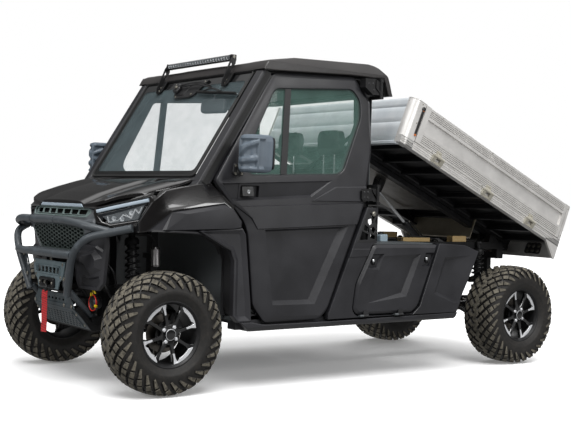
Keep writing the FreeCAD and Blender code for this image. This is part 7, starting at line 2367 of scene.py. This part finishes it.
FOOT = Vector((-1.272, 0.150, 0.612))
EYE_U, EYE_W = 0.980, -0.050       # where the rod's eye is on the bed
EYE = Vector((BED_HINGE[0] + EYE_U * math.cos(TILT) - EYE_W * math.sin(TILT), 0.150,
              BED_HINGE[2] + EYE_U * math.sin(TILT) + EYE_W * math.cos(TILT)))
REACH = (EYE - FOOT).length
lay = along(FOOT, EYE)
barrel = lathe([(.030, .010), (.030, .024), (.038, .027), (.060, .027), (.064, .0235), (.508, .0235),
                (.512, .027), (.548, .027), (.556, .022), (.560, .020), (.560, .0115)], ORIGIN, "x", 36)
clevis = [lathe([(-.021, .0105), (-.021, .016), (-.017, .018), (.017, .018), (.021, .016), (.021, .0105)],
                FOOT, "y", 24),
          placed(slab((.010, -.014, -.012), (.034, .014, .012)), lay)]
pin = lathe([(-.034, 0), (-.034, .009), (-.032, .010), (.032, .010), (.034, .009), (.034, 0)], FOOT, "y", 20)
ports = [placed(lathe([(.020, .010), (.034, .010), (.036, .008), (.036, 0)], (x, 0, 0), "z", 14), lay)
         for x in (.130, .530)]
pipe = placed(tube(bent([(.530, 0, .033), (.530, 0, .038), (.330, .008, .038), (.150, .004, .036),
                         (.130, 0, .033)], .02), 4 * MM, 10), lay)
band = lathe([(.30, .0238), (.302, .0255), (.326, .0255), (.328, .0238)], ORIGIN, "x", 30)
piece("lift_cylinder_barrel", "lift_barrel", (rib_black, placed(barrel, lay), *clevis),
      (bronze_band, placed(band, lay)), (zinc, pin, *ports), (rubber, pipe), replaces=("lift_barrel",),
      slot="cylinder_paint", sharp=36)
rod = placed(lathe([(REACH - .52, 0), (REACH - .52, .0098), (REACH - .030, .0098), (REACH - .026, .013),
                    (REACH - .014, .013), (REACH - .010, 0)], ORIGIN, "x", 28), lay)
rod_eye = lathe([(-.020, .006), (-.020, .014), (-.017, .016), (.017, .016), (.020, .014), (.020, .006)], EYE,
                "y", 24)
rod_pin = lathe([(-.024, 0), (-.024, .007), (.024, .007), (.024, 0)], EYE, "y", 16)
piece("lift_cylinder_rod", "lift_rod", (chrome, rod), (disc_steel, rod_eye), (zinc, rod_pin),
      replaces=("lift_rod",), slot="steel", sharp=36)


# ---- small things on the deck rails ------------------------------------------------------------------

blocks = [slab((-.866, .332, .8402), (-.612, .392, .868)), slab((-1.226, .334, .8402), (-1.088, .392, .882))]
piece("deck_timbers", "chassis", (pine, *two_sided(blocks)), bevel=2.5 * MM, sharp=30)
TANK = rounded(mm((-390, 841), (-322, 841), (-320, 884), (-334, 892), (-388, 892)), 9 * MM, 3)
tank = pressed(TANK, flat(0.485), 70 * MM, side_face, rolled=8 * MM)
tank_cap = lathe([(.0, .014), (.002, .019), (.016, .019), (.018, .016), (.018, 0)], (-.350, .450, .890), "z",
                 20)
loom = [tube(bent([(-.60, .34, .845), (-.54, .38, .862), (-.42, .40, .858), (-.20, .37, .850),
                   (-.06, .36, .846)], .05), 7 * MM, 10),
        tube(bent([(-.98, .35, .848), (-.92, .37, .860), (-.72, .36, .880), (-.58, .37, .856)], .05), 6 * MM,
             10)]
piece("coolant_tank_and_loom", "chassis", (tank_blue, tank), (trim_black, tank_cap, *loom),
      slot="black_moulding", sharp=32)


# ---- CAD nodes that show, each with the finish of what it is made of ---------------------------------

NODE_FINISHES = [
    # finish, nodes
    (frame_black, ("chassis_frame", "rear_hubs", "knuckle_left", "knuckle_right", "engine_block",
                   "steering_rack")),
    (inner_grey, ("floor_pan",)),
    (side_glass, ("door_glass_left", "door_glass_right")),
]
for finish, names in NODE_FINISHES:
    for name in names:
        materials = NODES[name].data.materials
        materials.clear()
        materials.append(finish)


# ---- stage and light ---------------------------------------------------------------------------------

def floor_and_backdrop():
    """Pale studio sweep: a flat floor that is far larger than the vehicle, with a barely mottled matt
    paint."""
    made, tree, shader, place = start("matt_white_studio_floor", Roughness=0.9,
                                      Emission_Color=(1.0, 1.0, 1.0, 1.0), Emission_Strength=0.16)
    tone = noise(tree, place, 900, 3)
    tree.links.new(ramp(tree, tone, (0.2, "F4F4F4"), (0.8, "FAFAFA")), shader.inputs["Base Color"])
    ground = piece("studio_floor", "chassis", (made, grid(np.array([
        [(-40, -40, 0), (40, -40, 0)], [(-40, 40, 0), (40, 40, 0)]], float))), weighted=False)
    ground.parent = None
    # the pale floor isn't to light the dark panels from below: the dim lower half of the room stands for
    # its bounce
    ground.visible_diffuse = ground.visible_glossy = False


def soft_box(name, at, towards, size, power):
    """Rectangular area light aimed at a point."""
    lamp = bpy.data.lights.new(name, "AREA")
    lamp.shape = "RECTANGLE"
    lamp.size, lamp.size_y = size
    lamp.energy = power
    made = bpy.data.objects.new(name, lamp)
    made.location = at
    made.rotation_euler = (Vector(towards) - Vector(at)).to_track_quat("-Z", "Y").to_euler()
    bpy.context.scene.collection.objects.link(made)


floor_and_backdrop()
world = bpy.data.worlds.new("studio")
world.use_nodes = True
sky = world.node_tree
sky.nodes.clear()
# the room is dim round the walls and bright overhead, and the backdrop behind the vehicle is overexposed
# to plain white
up = add(sky, "SeparateXYZ", Vector=add(sky, "TexCoord").outputs["Generated"]).outputs["Z"]
ceiling = add(sky, "MapRange", {"interpolation_type": "SMOOTHSTEP"}, Value=up, From_Min=0.40, From_Max=0.85,
              To_Min=0.07, To_Max=1.0)
ground_bounce = add(sky, "MapRange", Value=up, From_Min=-0.02, From_Max=-0.10, To_Min=0.0, To_Max=0.28)
room = add(sky, "Math", in_0=ceiling.outputs["Result"], in_1=ground_bounce.outputs["Result"])
seen = add(sky, "Mix", {"data_type": "FLOAT"}, Factor=add(sky, "LightPath").outputs["Is Camera Ray"],
           A=room.outputs["Value"], B=1.0)
glow = add(sky, "Background", Color=(1.0, 1.0, 1.0, 1.0), Strength=seen.outputs["Result"])
add(sky, "OutputWorld", Surface=glow.outputs["Background"])
bpy.context.scene.world = world
bpy.context.scene.view_settings.view_transform = "Standard"
LIGHTS = [
    # name, place, aimed at, size, power
    ("side_fill", (-1.5, 7.5, 3.4), (0.0, 0.5, 0.8), (5.0, 1.6), 185),
    ("nose_fill", (6.5, 1.0, 2.6), (1.4, 0.0, 0.7), (3.0, 1.6), 90),
    ("back_rim", (-5.5, -3.0, 4.4), (-0.8, 0.0, 1.0), (6.0, 4.0), 180),
]
for row in LIGHTS:
    soft_box(*row)
# the overhead bank is wide and even, so one soft sun stands for it and lights the whole floor alike
bank = bpy.data.objects.new("overhead_bank", bpy.data.lights.new("overhead_bank", "SUN"))
bank.data.energy = 2.5
bank.data.angle = math.radians(40)
bank.rotation_euler = Vector((-0.25, -0.42, -1.0)).to_track_quat("-Z", "Y").to_euler()
bpy.context.scene.collection.objects.link(bank)
